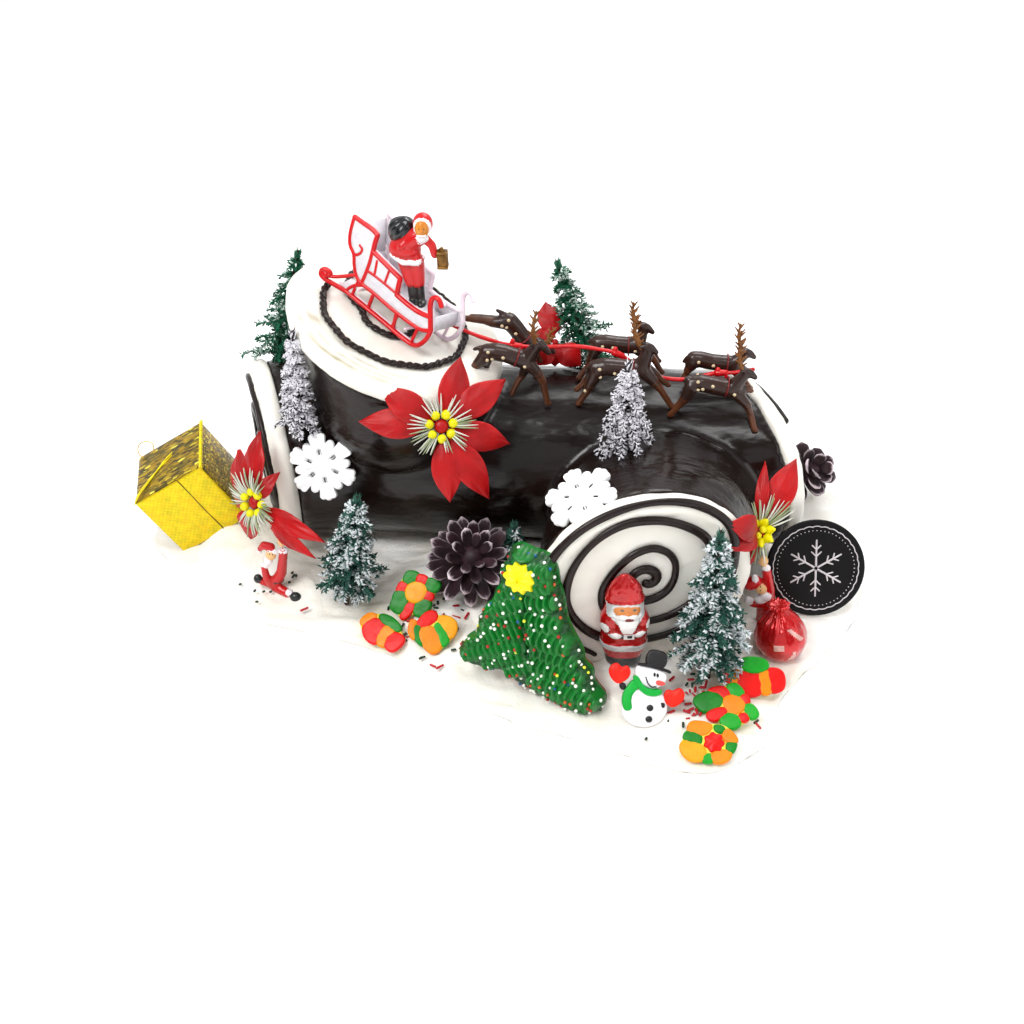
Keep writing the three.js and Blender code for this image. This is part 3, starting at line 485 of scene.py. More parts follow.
# ---------------------------------------------------------------- finishes
def material(name, base, rough=0.5, metal=0.0, second=None, vary=0.0, vsize=8.0, rvary=0.0, rsize=12.0,
             bump=0.0, bsize=2.0, fine=0.0, fsize=0.4, coat=0.0, coat_rough=0.1, sss=0.0, sss_radius=(1, 0.5, 0.3),
             spec=0.5, tone=None, tone_lo=0.0, tone_hi=1.0, sheen=0.0, aniso=0.0, stretch=(1, 1, 1), alpha=None, trans=0.0, ior=1.45):
    """A finish made of nodes. Sizes are in mm on the piece; vary mixes base with second by soft noise,
    and tone is a third colour that the vertices' tone brings in."""
    m = bpy.data.materials.new(name)
    m.use_nodes = True
    nt = m.node_tree
    N, K = nt.nodes, nt.links
    bsdf = N["Principled BSDF"]
    bsdf.inputs["Base Color"].default_value = (*base, 1)
    bsdf.inputs["Roughness"].default_value = rough
    bsdf.inputs["Metallic"].default_value = metal
    bsdf.inputs["Specular IOR Level"].default_value = spec
    bsdf.inputs["IOR"].default_value = ior
    bsdf.inputs["Coat Weight"].default_value = coat
    bsdf.inputs["Coat Roughness"].default_value = coat_rough
    bsdf.inputs["Sheen Weight"].default_value = sheen
    bsdf.inputs["Anisotropic"].default_value = aniso
    bsdf.inputs["Transmission Weight"].default_value = trans
    if sss:
        bsdf.inputs["Subsurface Weight"].default_value = sss
        bsdf.inputs["Subsurface Radius"].default_value = sss_radius
        bsdf.inputs["Subsurface Scale"].default_value = 0.002
    tc = N.new("ShaderNodeTexCoord")
    mp = N.new("ShaderNodeMapping")
    mp.inputs["Scale"].default_value = stretch
    K.new(tc.outputs["Object"], mp.inputs["Vector"])

    def nz(size, detail=3, rgh=0.55):
        n = N.new("ShaderNodeTexNoise")
        n.inputs["Scale"].default_value = 1000.0 / size / 2
        n.inputs["Detail"].default_value = detail
        n.inputs["Roughness"].default_value = rgh
        K.new(mp.outputs["Vector"], n.inputs["Vector"])
        return n

    color = None
    if vary:
        n = nz(vsize)
        r = N.new("ShaderNodeMapRange")
        r.inputs["From Min"].default_value = 0.35
        r.inputs["From Max"].default_value = 0.68
        r.inputs["To Max"].default_value = vary
        K.new(n.outputs["Fac"], r.inputs["Value"])
        mix = N.new("ShaderNodeMix")
        mix.data_type = "RGBA"
        mix.inputs["A"].default_value = (*base, 1)
        mix.inputs["B"].default_value = (*(second or base), 1)
        K.new(r.outputs["Result"], mix.inputs["Factor"])
        color = mix.outputs["Result"]
    if tone:
        at = N.new("ShaderNodeAttribute")
        at.attribute_name = "tone"
        r = N.new("ShaderNodeMapRange")
        r.inputs["From Min"].default_value = tone_lo
        r.inputs["From Max"].default_value = tone_hi
        K.new(at.outputs["Fac"], r.inputs["Value"])
        mix = N.new("ShaderNodeMix")
        mix.data_type = "RGBA"
        mix.inputs["A"].default_value = (*base, 1)
        mix.inputs["B"].default_value = (*tone, 1)
        if color is not None:
            K.new(color, mix.inputs["A"])
        K.new(r.outputs["Result"], mix.inputs["Factor"])
        color = mix.outputs["Result"]
    if color is not None:
        K.new(color, bsdf.inputs["Base Color"])
    if rvary:
        n = nz(rsize, 4)
        r = N.new("ShaderNodeMapRange")
        r.inputs["From Min"].default_value = 0.3
        r.inputs["From Max"].default_value = 0.7
        r.inputs["To Min"].default_value = max(0.02, rough - rvary)
        r.inputs["To Max"].default_value = min(1, rough + rvary)
        K.new(n.outputs["Fac"], r.inputs["Value"])
        K.new(r.outputs["Result"], bsdf.inputs["Roughness"])
    last = None
    for strength, size, detail in ((bump, bsize, 3), (fine, fsize, 2)):
        if strength:
            n = nz(size, detail, 0.6)
            b = N.new("ShaderNodeBump")
            b.inputs["Strength"].default_value = strength
            b.inputs["Distance"].default_value = size * MM * 0.4
            K.new(n.outputs["Fac"], b.inputs["Height"])
            if last:
                K.new(last.outputs["Normal"], b.inputs["Normal"])
            last = b
    if last:
        K.new(last.outputs["Normal"], bsdf.inputs["Normal"])
    if alpha is not None:
        bsdf.inputs["Alpha"].default_value = alpha
    return m


def srgb(r, g, b):
    """A colour given as it shows on a screen, 0 to 255."""
    return tuple((c / 255 / 12.92) if c / 255 <= 0.04045 else ((c / 255 + 0.055) / 1.055) ** 2.4 for c in (r, g, b))


CHOC = material("chocolate glaze", srgb(19, 11, 8), 0.26, vary=0.7, second=srgb(30, 18, 14), vsize=30, rvary=0.16, rsize=20,
                bump=0.42, bsize=9, fine=0.06, fsize=1.2, coat=0.12, coat_rough=0.1, spec=0.3, stretch=(0.5, 1, 1))
CREAM = material("buttercream", srgb(240, 237, 228), 0.52, vary=0.5, second=srgb(226, 221, 208), vsize=26, rvary=0.1,
                 bump=0.12, bsize=5, fine=0.1, fsize=0.7, sss=0.25, sss_radius=(1, 0.85, 0.7))
# the cap's tone colour is painted shade, a deeper ivory in the grooves of the rim
CREAM_CAP = material("buttercream cap", srgb(240, 237, 228), 0.5, vary=0.5, second=srgb(226, 221, 208), vsize=26, rvary=0.1,
                     bump=0.12, bsize=5, fine=0.1, fsize=0.7, sss=0.22, sss_radius=(1, 0.85, 0.7), tone=srgb(158, 148, 118))
SNOW = material("snow cream", srgb(245, 244, 240), 0.58, vary=0.8, second=srgb(228, 221, 204), vsize=17, rvary=0.1,
                bump=0.5, bsize=3.2, fine=0.4, fsize=0.8, sss=0.25, sss_radius=(1, 0.9, 0.8))
PIPED = material("piped chocolate", srgb(22, 12, 10), 0.33, vary=0.6, second=srgb(36, 22, 19), vsize=5, rvary=0.12, rsize=6,
                 bump=0.3, bsize=1.6, coat=0.08, coat_rough=0.2, spec=0.3)


# ---------------------------------------------------------------- the cake's own sizes, as in the solids
SNOW_T = 3.6
LOG_R, LOG_Z = 45.4, 45.4
LEFT_X, LEFT_SLOPE, RIGHT_X, RIGHT_SLOPE = -149.3, 0.4, 91.5, 0.58
END_ICING = 10.0
STUMP = dict(x=-81, y=-4, z=129.7, tx=21.2, ty=3.4, r=50, icing=13)
STUB_C, STUB_A, STUB_B, STUB_T = A(42, -101.5, 50.4), 52.4, 48.0, 8.0
PIPE_W, PIPE_H, ROPE_R = 2.1, 1.5, 2.3
GAP = 0.3


def face_axes(az, el):
    a, e = az * DEG, el * DEG
    n = A(math.sin(a) * math.cos(e), -math.cos(a) * math.cos(e), math.sin(e))
    h = A(math.cos(a), math.sin(a), 0)
    return n, h, np.cross(n, h)


STUB_AX = face_axes(17, 3)
LEFT_AX = face_axes(-(90 - math.degrees(math.atan(LEFT_SLOPE))), 0)
RIGHT_AX = face_axes(90 + math.degrees(math.atan(RIGHT_SLOPE)), 0)


def stump_z(x, y):
    return STUMP["z"] - math.tan(STUMP["tx"] * DEG) * (x - STUMP["x"]) + math.tan(STUMP["ty"] * DEG) * (y - STUMP["y"])


_n = unit(A(math.tan(STUMP["tx"] * DEG), -math.tan(STUMP["ty"] * DEG), 1))
_h = unit(A(1, 0, 0) - _n * _n[0])
STUMP_AX = (_n, _h, np.cross(_n, _h))
STUMP_C = A(STUMP["x"], STUMP["y"], STUMP["z"])


# ---------------------------------------------------------------- chocolate covered rolls, one coat over all three
def chocolate():
    s = Skin()
    N, K = 120, 70
    t = np.linspace(0, 2 * np.pi, N, endpoint=False)
    rings = []
    for k in range(K + 1):
        f = k / K
        r = LOG_R * (1 + 0.006 * np.sin(3 * t + 5 * f) * math.sin(math.pi * f))
        y, z = r * np.sin(t), np.maximum(3.3, LOG_Z + r * np.cos(t))
        x0, x1 = LEFT_X - LEFT_SLOPE * y, RIGHT_X - RIGHT_SLOPE * y
        rings.append(np.stack([x0 + f * (x1 - x0), y, z], 1))
    s.add(loft(rings))
    # the stump widens towards its slanted top
    rings = []
    for r, z in [(40, 64), (43, 69), (45.5, 74), (47.2, 79), (48.5, 84)]:
        rings.append(np.stack([STUMP["x"] + r * np.cos(t), STUMP["y"] + r * np.sin(t), np.full(N, z)], 1))
    for f in np.linspace(0.15, 1, 12):
        r = 48.5 + 1.5 * f
        r_ = r * (1 - 0.042 * np.maximum(0, -np.cos(t)) ** 2)
        x, y = STUMP["x"] + r_ * np.cos(t), STUMP["y"] + r_ * np.sin(t)
        top = np.array([stump_z(a, b) for a, b in zip(x, y)]) - STUMP["icing"] - GAP
        rings.append(np.stack([x, y, 84 + f * (top - 84)], 1))
    s.add(loft(rings))
    # the branch
    keys = [(A(53, -24, 42), 0, 0, 54, 38.5), (A(50, -54, 44.5), 4, 1, 53, 41.5), (A(46, -79, 47.8), 10, 2, 52.4, 45.5), (STUB_C, 17, 3, 52.4, 48)]
    rings = []
    for k in range(3):
        for f in np.linspace(0, 1, 9)[: 9 if k == 2 else 8]:
            c, az, el, a, b = [p + (q - p) * f for p, q in zip(keys[k], keys[k + 1])]
            n, h, v = face_axes(az, el)
            r = c + np.outer(a * np.cos(t), h) + np.outer(b * np.sin(t), v)
            r[:, 2] = np.maximum(3.3, r[:, 2])
            rings.append(r)
    s.add(loft(rings))
    v, f = remesh(s, 1.85, 7, 0.5)
    n = normals(v, f)
    # thick glaze never lies quite even: slow swells, drag marks of the palette knife and small dents
    d = 0.42 * soft(v, 30, 3) + 0.16 * soft(v * A(0.35, 1, 1), 9, 5) + 0.07 * grain(v, 5, 2)
    v = v + n * d[:, None]
    out = Skin().add((v, f))
    return piece("chocolate_rolls", out, [CHOC], ["log_main", "stump_top", "stub_front"])


chocolate()


# ---------------------------------------------------------------- buttercream on the cut ends
def oval_cap(c, ax, a, b, thick, seed, rim=0.0, wob=0.5):
    n, h, v = ax
    N = 180
    t = np.linspace(0, 2 * np.pi, N, endpoint=False)
    rings = []
    # back edge, side, round rim, then the front in to the middle
    prof = [(0.3, 0.5), (0.3, 0.8), (0.3, 0.985), (0.9, 1.0), (1.9, 1.012), (0.35 * thick, 1.02), (0.5 * thick, 1.018), (0.63 * thick, 1.01)]
    for s in (0.995, 0.98, 0.96, 0.93, 0.9, 0.87, 0.84, 0.8, 0.72, 0.62, 0.5, 0.38, 0.26, 0.14, 0.06):
        back = max(0.0, min(1.0, (s - 0.9) / 0.09))
        up = min(1.0, max(0.0, (s - 0.84) / 0.05))
        prof.append((thick * (1 + rim * up - 0.25 * back ** 1.6), s))
    for push, s in prof:
        e = 1 + (0.012 * np.sin(5 * t + seed) + 0.008 * np.sin(11 * t + 2 * seed) + 0.006 * np.sin(23 * t + seed)) * wob * min(1, max(0, (s - 0.8) / 0.15))
        p = c + np.outer(a * s * e * np.cos(t), h) + np.outer(b * s * e * np.sin(t), v) + n * push
        p[:, 2] = np.maximum(3.3, p[:, 2])
        rings.append(p)
    vv, f = loft(rings)
    nn = normals(vv, f)
    if nn[(len(prof) - 2) * N] @ n < 0:
        nn = -nn
    depth = (vv - c) @ n
    k = np.clip((depth - 1.2) / 2, 0, 1)
    vv = vv + nn * (k * (0.22 * soft(vv, 9, seed) + 0.14 * soft(vv, 3.2, seed + 3)))[:, None]
    return vv, f


LEFT_A, RIGHT_A = LOG_R * math.hypot(1, LEFT_SLOPE), LOG_R * math.hypot(1, RIGHT_SLOPE)
LEFT_C, RIGHT_C = A(LEFT_X, 0, LOG_Z), A(RIGHT_X, 0, LOG_Z)
piece("cream_left_end", Skin().add(oval_cap(LEFT_C, LEFT_AX, LEFT_A, LOG_R, END_ICING, 1)), [CREAM], ["icing_left"])
piece("cream_right_end", Skin().add(oval_cap(RIGHT_C, RIGHT_AX, RIGHT_A, LOG_R, END_ICING, 2)), [CREAM], ["icing_right"])
piece("cream_branch_end", Skin().add(oval_cap(STUB_C, STUB_AX, STUB_A, STUB_B, STUB_T, 4, 0.08)), [CREAM], ["icing_stub"])


def stump_cream():
    N = 220
    t = np.linspace(0, 2 * np.pi, N, endpoint=False)
    keys = [(30, 13.2), (44, 13.1), (50, 13), (51.3, 12.0), (52, 9.5), (52.1, 7.4), (51.6, 5.2), (49.6, 3.5), (46.8, 2.6), (43, 2.35)]
    fine = catmull(np.array([(r, d, 0) for r, d in keys]), 26)[:, :2]
    rings = []
    for r, d in list(fine) + [(k, 2.4) for k in (40, 36.5, 33, 29.5, 26, 22, 18, 14, 10, 6, 3)]:
        x, y = STUMP["x"] + r * np.cos(t), STUMP["y"] + r * np.sin(t)
        top = STUMP["z"] - math.tan(STUMP["tx"] * DEG) * (x - STUMP["x"]) + math.tan(STUMP["ty"] * DEG) * (y - STUMP["y"])
        rings.append(np.stack([x, y, top - d], 1))
    v, f = loft(rings)
    nn = normals(v, f)
    if nn[(len(rings) - 2) * N] @ STUMP_AX[0] < 0:
        nn = -nn
    # long shallow ridges left by the palette knife along the lower left of the rim
    q = v - STUMP_C
    rr, th = np.hypot(q @ STUMP_AX[1], q @ STUMP_AX[2]), np.degrees(np.arctan2(q @ STUMP_AX[2], q @ STUMP_AX[1]))
    sector = np.exp(-(((th + 125 + 180) % 360 - 180) / 55) ** 2)
    ridge = np.zeros(len(v))
    for r0, w, hgt, tw in ((47.3, 1.2, 1.7, 0.025), (43.4, 1.1, 1.5, 0.035), (50.6, 1.3, 1.3, -0.02)):
        ridge += hgt * np.exp(-((rr - r0 - tw * (th + 125)) / w) ** 2)
    up = np.clip(nn @ STUMP_AX[0], 0, 1)
    depth = (v - STUMP_C) @ STUMP_AX[0]
    k = np.clip((depth + 12.6) / 2.5, 0, 1)
    v = v + nn * (k * (ridge * sector + 0.3 * soft(v, 14, 8) + 0.12 * soft(v, 4, 9)))[:, None]
    # the grooves between them get painted shade, a deeper ivory
    groove_shade = np.zeros(len(v))
    for r0, w, tw in ((45.4, 1.0, 0.03), (41.7, 0.9, 0.035), (49.0, 0.9, 0.0)):
        groove_shade += np.exp(-((rr - r0 - tw * (th + 125)) / w) ** 2)
    return (v, f), np.clip(groove_shade * sector * k * (0.7 + 0.3 * soft(v, 6, 4)), 0, 1)


CAP_SHAPE, CAP_GROOVE_SHADE = stump_cream()
piece("cream_stump", Skin().add(CAP_SHAPE, 0, None, CAP_GROOVE_SHADE), [CREAM_CAP], ["icing_stump"])


# ---------------------------------------------------------------- piped chocolate
def spiral(c, ax, push, a0, a1, n, radius, sx, sy, sense=1):
    out = []
    for i in range(n + 1):
        d = a0 + (a1 - a0) * i / n
        r = radius(d)
        out.append(c + ax[1] * sx * r * math.cos(d * DEG * sense) + ax[2] * sy * r * math.sin(d * DEG * sense) + ax[0] * push)
    return np.array(out)


WANDER = [[-120, 2.2], [60, 5], [262, 12.4], [361, 12.8], [440, 18], [508, 17], [567, 24], [640, 25.6], [745, 33], [790, 32],
          [830, 36], [905, 39], [990, 36.5], [1082, 41.3], [1112, 44.6], [1160, 42.4], [1195, 43.5], [1240, 49.6], [1318, 47.6]]


def wander(d):
    return float(np.interp(d, [w[0] for w in WANDER], [w[1] for w in WANDER]))


def cap_front(s):
    return 1.0 if s < 0.84 else 1 + 0.08 * min(1, (s - 0.84) / 0.05) - 0.25 * max(0.0, min(1.0, (s - 0.9) / 0.09)) ** 1.6


def stub_line():
    c = STUB_C + STUB_AX[1] * 1.2 + STUB_AX[2] * 5.2
    P = spiral(c, STUB_AX, 0, -120, 1318, 56, wander, 1, 1)
    P = catmull(P, 420)
    out = []
    for p in P:
        d = p - STUB_C
        s = math.hypot(d @ STUB_AX[1] / STUB_A, d @ STUB_AX[2] / STUB_B)
        out.append(p + STUB_AX[0] * (STUB_T * cap_front(s) + PIPE_H * 0.62 + GAP))
    out = np.array(out)
    u = np.linspace(0, 1, len(out))
    w = PIPE_W * (0.98 + 0.1 * np.sin(37 * u) + 0.07 * np.sin(91 * u + 1)) * np.clip(0.62 + u * 8, 0, 1)
    w *= 1 - 0.35 * np.clip((u - 0.93) / 0.07, 0, 1)
    # the line starts in a thick curl at the middle
    w *= 1 + 0.55 * np.exp(-(u / 0.035) ** 2)
    return sweep(out, w, w * 0.72, 14, normal=STUB_AX[0])


def end_line(c, ax, sx, sy, seed):
    P = catmull(spiral(c, ax, END_ICING + PIPE_H * 0.6 + GAP, 60, 840, 60, lambda d: 2 + 0.0452 * d, sx, sy), 260)
    u = np.linspace(0, 1, len(P))
    w = PIPE_W * (1 + 0.1 * np.sin(41 * u + seed) + 0.06 * np.sin(97 * u))
    return sweep(P, w, w * 0.72, 12, normal=ax[0])


piece("spiral_branch", Skin().add(stub_line()), [PIPED], ["piping_stub"])
piece("spiral_left", Skin().add(end_line(LEFT_C, LEFT_AX, 1.04, 0.96, 0)), [PIPED], ["piping_left"])
piece("spiral_right", Skin().add(end_line(RIGHT_C, RIGHT_AX, 1.22, 1.01, 2)), [PIPED], ["piping_right"])


def ease(a, b, t):
    u = min(1.0, max(0.0, (t - a) / (b - a)))
    return u * u * (3 - 2 * u)


def stump_rope():
    P = spiral(STUMP_C, STUMP_AX, ROPE_R - 2.4 + GAP - 0.3, 0, 552, 60, lambda d: 11 + 5.5 * ease(0, 110, d) + 19.8 * ease(160, 235, d), 1, 1, -1)
    P = catmull(P, 420)
    s = Skin()
    d = np.r_[0, np.cumsum(np.linalg.norm(np.diff(P, axis=0), axis=1))]
    T, S, U = frames(P, STUMP_AX[0])
    # two strands twisted round each other
    for k in range(2):
        a = d * 2 * np.pi / 8.2 + math.pi * k
        Q = P + S * (np.cos(a) * 0.72 + 0.35 * np.sin(d * 0.31))[:, None] + U * (np.sin(a) * 0.45 - 0.5)[:, None]
        w = 1.16 + 0.14 * np.sin(d * 0.9 + k) + 0.1 * np.sin(d * 2.3)
        s.add(sweep(Q, w, w * 0.92, 10, normal=STUMP_AX[0]))
    return s


piece("rope_stump", stump_rope(), [PIPED], ["piping_stump"])

# ---------------------------------------------------------------- snow
EDGE = catmull([(x, y, 0) for x, y in [
    (-222, -26), (-212, -44), (-192, -57), (-174, -74), (-149, -90), (-115, -99), (-78, -111), (-51, -128),
    (-20, -148), (10, -158), (43, -169), (66, -175.5), (88, -169), (101, -156), (110, -131), (128, -105),
    (150, -76), (158, -40), (157, 10), (138, 46), (60, 52), (-60, 52), (-150, 56), (-205, 30)]], 260, closed=True)
BED = A(-30, -48, 0)
MOUNDS = [(-176, -30, 15, 13), (-160, -52, 7, 14), (-56, -54, 8, 15), (-72, -72, 3, 9), (-60, -92, 5, 9),
          (-84, -99, 3, 9), (-130, -66, 5, 16), (60, -130, 4, 20), (88, -128, 4, 12), (15, -136, 3, 14),
          (-20, -120, 3, 16), (126, -62, 6, 16), (105, -95, 3, 14), (34, -121, 7.4, 10)]


def snow_height(x, y, s=0.0):
    h = SNOW_T + 0 * x
    for mx, my, mh, mw in MOUNDS:
        h = h + mh * np.exp(-((x - mx) ** 2 + (y - my) ** 2) / (2 * mw * mw))
    h = h + 0.5 * np.sin(x * 0.11 + y * 0.05) * np.sin(y * 0.13 - x * 0.03)
    return 0.9 + (h - 0.9) * np.sqrt(np.maximum(0, 1 - np.asarray(s, float) ** 6))


def ground(x, y):
    """Height of the snow at a place well inside its edge."""
    return float(snow_height(np.float64(x), np.float64(y)))


def snow():
    S = np.r_[np.linspace(0.03, 0.9, 56), 0.925, 0.945, 0.96, 0.972, 0.982, 0.99, 0.996, 1.0]
    rings = []
    for s in S:
        q = BED + s * (EDGE - BED)
        rings.append(np.stack([q[:, 0], q[:, 1], snow_height(q[:, 0], q[:, 1], s)], 1))
    e = EDGE.copy()
    rings.append(e + A(0, 0, 0.35))
    rings.append(BED + 0.995 * (e - BED))
    v, f = loft(rings)
    top = np.r_[np.repeat(S, len(EDGE)), np.zeros(2 * len(EDGE)), 0.0, 0.0]
    live = np.r_[np.ones(len(S) * len(EDGE)), np.zeros(2 * len(EDGE)), 1, 0]
    fade = live * np.clip((1.0 - top) / 0.02, 0, 1)
    # strokes of the palette knife run along the bed; small peaks stay where it lifted off
    stroke = soft(v * A(0.28, 1, 1), 5.5, 4) * 0.55 + soft(v, 16, 6) * 0.7
    peaks = np.maximum(0, grain(v, 11, 4) - 0.14) * 3.6
    v[:, 2] += fade * (stroke * 1.0 + peaks + 0.3 * soft(v * A(0.5, 1, 1), 2.8, 2))
    # the rim runs out unevenly
    rim = np.clip((top - 0.9) / 0.1, 0, 1)
    v[:, 0] += rim * 1.2 * np.sin(v[:, 1] * 0.3 + v[:, 0] * 0.11)
    v[:, 1] += rim * 1.2 * np.sin(v[:, 0] * 0.23)
    v[:, 2] = np.maximum(v[:, 2], 0)
    return v, f


piece("snow_bed", Skin().add(snow()), [SNOW], ["snow_base"])


# ---------------------------------------------------------------- gift box in gold foil
def foil_gold():
    """Gold film printed with a fine grid of dots on its front, and crinkled glitter film on the other sides."""
    m = bpy.data.materials.new("gold film")
    m.use_nodes = True
    nt = m.node_tree
    N, K = nt.nodes, nt.links
    b = N["Principled BSDF"]
    at = N.new("ShaderNodeAttribute")
    at.attribute_name = "loc"
    tone = N.new("ShaderNodeAttribute")
    tone.attribute_name = "tone"

    def math_(op, x, y=None, clamp=False):
        n = N.new("ShaderNodeMath")
        n.operation = op
        n.use_clamp = clamp
        for i, s in enumerate((x, y)):
            if s is None:
                continue
            if isinstance(s, (int, float)):
                n.inputs[i].default_value = s
            else:
                K.new(s, n.inputs[i])
        return n.outputs[0]

    sep = N.new("ShaderNodeSeparateXYZ")
    K.new(at.outputs["Vector"], sep.inputs["Vector"])
    # dots on the front face, along its two directions
    dx = math_("SINE", math_("MULTIPLY", sep.outputs["X"], 2 * math.pi / 2.7))
    dz = math_("SINE", math_("MULTIPLY", sep.outputs["Z"], 2 * math.pi / 2.7))
    dots = math_("MULTIPLY", dx, dz)
    dots = math_("MULTIPLY_ADD", dots, 0.17)
    dots.node.inputs[2].default_value = 0.1
    blot = N.new("ShaderNodeTexNoise")
    blot.inputs["Scale"].default_value = 0.3
    blot.inputs["Detail"].default_value = 3
    K.new(at.outputs["Vector"], blot.inputs["Vector"])
    dots = math_("ADD", dots, blot.outputs["Fac"], True)
    hue = N.new("ShaderNodeTexNoise")
    hue.inputs["Scale"].default_value = 0.17
    hue.inputs["Detail"].default_value = 2
    K.new(at.outputs["Vector"], hue.inputs["Vector"])
    huef = math_("MULTIPLY_ADD", hue.outputs["Fac"], 3.4, True)
    huef.node.inputs[2].default_value = -1.2
    vor = N.new("ShaderNodeTexVoronoi")
    vor.feature = "F1"
    vor.inputs["Scale"].default_value = 0.75
    vor.inputs["Randomness"].default_value = 1.0
    mp = N.new("ShaderNodeMapping")
    mp.inputs["Scale"].default_value = (0.4, 1.0, 1.5)
    mp.inputs["Rotation"].default_value = (0.5, 0.4, 0.7)
    K.new(at.outputs["Vector"], mp.inputs["Vector"])
    K.new(mp.outputs["Vector"], vor.inputs["Vector"])
    fac = N.new("ShaderNodeSeparateColor")
    K.new(vor.outputs["Color"], fac.inputs["Color"])
    ramp = N.new("ShaderNodeValToRGB")
    els = ramp.color_ramp.elements
    els[0].position, els[0].color = 0.0, (*srgb(58, 44, 8), 1)
    els[1].position, els[1].color = 1.0, (*srgb(255, 244, 90), 1)
    for p, c in ((0.25, (96, 84, 10)), (0.5, (134, 110, 14)), (0.74, (168, 130, 10)), (0.93, (206, 176, 20))):
        e = els.new(p)
        e.color = (*srgb(*c), 1)
    K.new(fac.outputs["Red"], ramp.inputs["Fac"])
    front = N.new("ShaderNodeMix")
    front.data_type = "RGBA"
    tint = N.new("ShaderNodeMix")
    tint.data_type = "RGBA"
    tint.inputs["A"].default_value = (*srgb(160, 150, 6), 1)
    tint.inputs["B"].default_value = (*srgb(214, 160, 4), 1)
    K.new(huef, tint.inputs["Factor"])
    K.new(tint.outputs["Result"], front.inputs["A"])
    front.inputs["B"].default_value = (*srgb(240, 214, 18), 1)
    K.new(dots, front.inputs["Factor"])
    mix = N.new("ShaderNodeMix")
    mix.data_type = "RGBA"
    K.new(tone.outputs["Fac"], mix.inputs["Factor"])
    K.new(ramp.outputs["Color"], mix.inputs["A"])
    K.new(front.outputs["Result"], mix.inputs["B"])
    K.new(mix.outputs["Result"], b.inputs["Base Color"])
    b.inputs["Metallic"].default_value = 0.55
    b.inputs["Roughness"].default_value = 0.3
    bump = N.new("ShaderNodeBump")
    bump.inputs["Strength"].default_value = 0.5
    bump.inputs["Distance"].default_value = 0.0006
    K.new(fac.outputs["Green"], bump.inputs["Height"])
    K.new(bump.outputs["Normal"], b.inputs["Normal"])
    return m


def box_frame():
    M = np.eye(4)
    M[:3, :3] = np.array((Matrix.Rotation(14.5 * DEG, 3, "Z") @ Matrix.Rotation(-27 * DEG, 3, "Y")))
    M[:3, 3] = (-196.7, -20.5, 30.4)
    return M


def gift_box():
    s = Skin()
    M = box_frame()
    h = 20.7
    g = np.r_[-1, -0.98, np.linspace(-0.9, 0.9, 13), 0.98, 1]
    V, F, T = [], [], []
    for axis in range(3):
        for side in (-1, 1):
            v, m = [], []
            for a in g:
                for b_ in g:
                    p = [0, 0, 0]
                    p[axis] = side
                    p[(axis + 1) % 3], p[(axis + 2) % 3] = a, b_
                    q = A(*p) * h
                    # corners and edges are a little round, sides a little slack
                    c = np.abs(A(*p))
                    over = np.maximum(c * h - (h - 1.1), 0)
                    ln = np.linalg.norm(over)
                    if ln > 1.1:
                        q = np.sign(A(*p)) * (np.minimum(c * h, h - 1.1) + over / ln * 1.1)
                    v.append(q)
                    m.append((1 - a * a) * (1 - b_ * b_))
            n, base = len(g), 289 * len(V)
            for i in range(n - 1):
                for j in range(n - 1):
                    k = base + i * n + j
                    F.append((k, k + n, k + n + 1, k + 1) if side > 0 else (k, k + 1, k + n + 1, k + n))
            v, m = np.array(v), np.array(m)
            v[:, axis] += side * (0.5 * m + 0.12 * np.minimum(m * 6, 1) * soft(v + 40 * axis, 6, 3 + side))
            V.append(v)
            T.append(np.full(len(v), 1.0 if axis == 1 and side < 0 else 0.0))
    # the six sides are joined along the edges
    V, T = np.vstack(V), np.concatenate(T)
    _, first, same = np.unique(np.round(V, 4), axis=0, return_index=True, return_inverse=True)
    same = same.ravel()
    tone = np.zeros(len(first))
    np.maximum.at(tone, same, T)
    s.add((V[first], [tuple(int(same[i]) for i in q) for q in F]), 0, M, tone)
    # a twisted cord down one edge, a thin thread round the front and a ring of it on top
    e = h + 0.2
    for k in range(2):
        z = np.linspace(0, 2 * h, 70)
        P = np.stack([np.full(70, h), h - z, np.full(70, h)], 1)
        a_ = z * 2 * np.pi / 4.2 + math.pi * k
        P = P + np.stack([0.5 * np.cos(a_), 0 * a_, 0.5 * np.sin(a_)], 1)
        s.add(sweep(P, 0.6, 0.6, 7), 2, M)
    P = np.array([(6, -e, e), (6.1, -e - 0.1, h * 0.5), (6, -e - 0.35, 0), (6, -e - 0.1, -h * 0.6), (6, -e, -e)])
    s.add(sweep(catmull(P, 40), 0.3, 0.3, 6), 3, M)
    for o, w in ((0.0, 0.42), (2.3, 0.34)):
        P = np.array([(-h - 0.6, -h + 1.5 + o, h - 0.8), (-h + 2, -h + 3.2 + o, h + 0.7), (-h * 0.5, -h * 0.35 + o * 0.6, h + 0.8), (-0.5, 3.7 - o, h + 0.7), (2.4, 6.4 - o, h + 0.2)])
        s.add(sweep(catmull(P, 40), w, w, 6), 2, M)
    P = catmull([(-17.5, h - 3, h - 0.2), (-18.2, h - 1.0, h + 3.2), (-15.5, h, h + 6.2), (-11.2, h, h + 6.4), (-8.6, h - 1, h + 3.4), (-10.2, h - 4, h + 0.1)], 50)
    s.add(sweep(P, 0.3, 0.3, 6), 1, M)
    return s


GOLD_CORD = material("gold cord", srgb(214, 176, 60), 0.32, metal=0.7, fine=0.4, fsize=0.5)
GOLD_EDGE = material("bright gold cord", srgb(246, 226, 20), 0.3, metal=0.3, vary=0.6, second=srgb(200, 170, 0), vsize=1.5)
GOLD_DARK = material("dark gold thread", srgb(104, 82, 14), 0.4, metal=0.4)
piece("gift_box_gold", gift_box(), [foil_gold(), GOLD_CORD, GOLD_EDGE, GOLD_DARK], ["gift_box"])


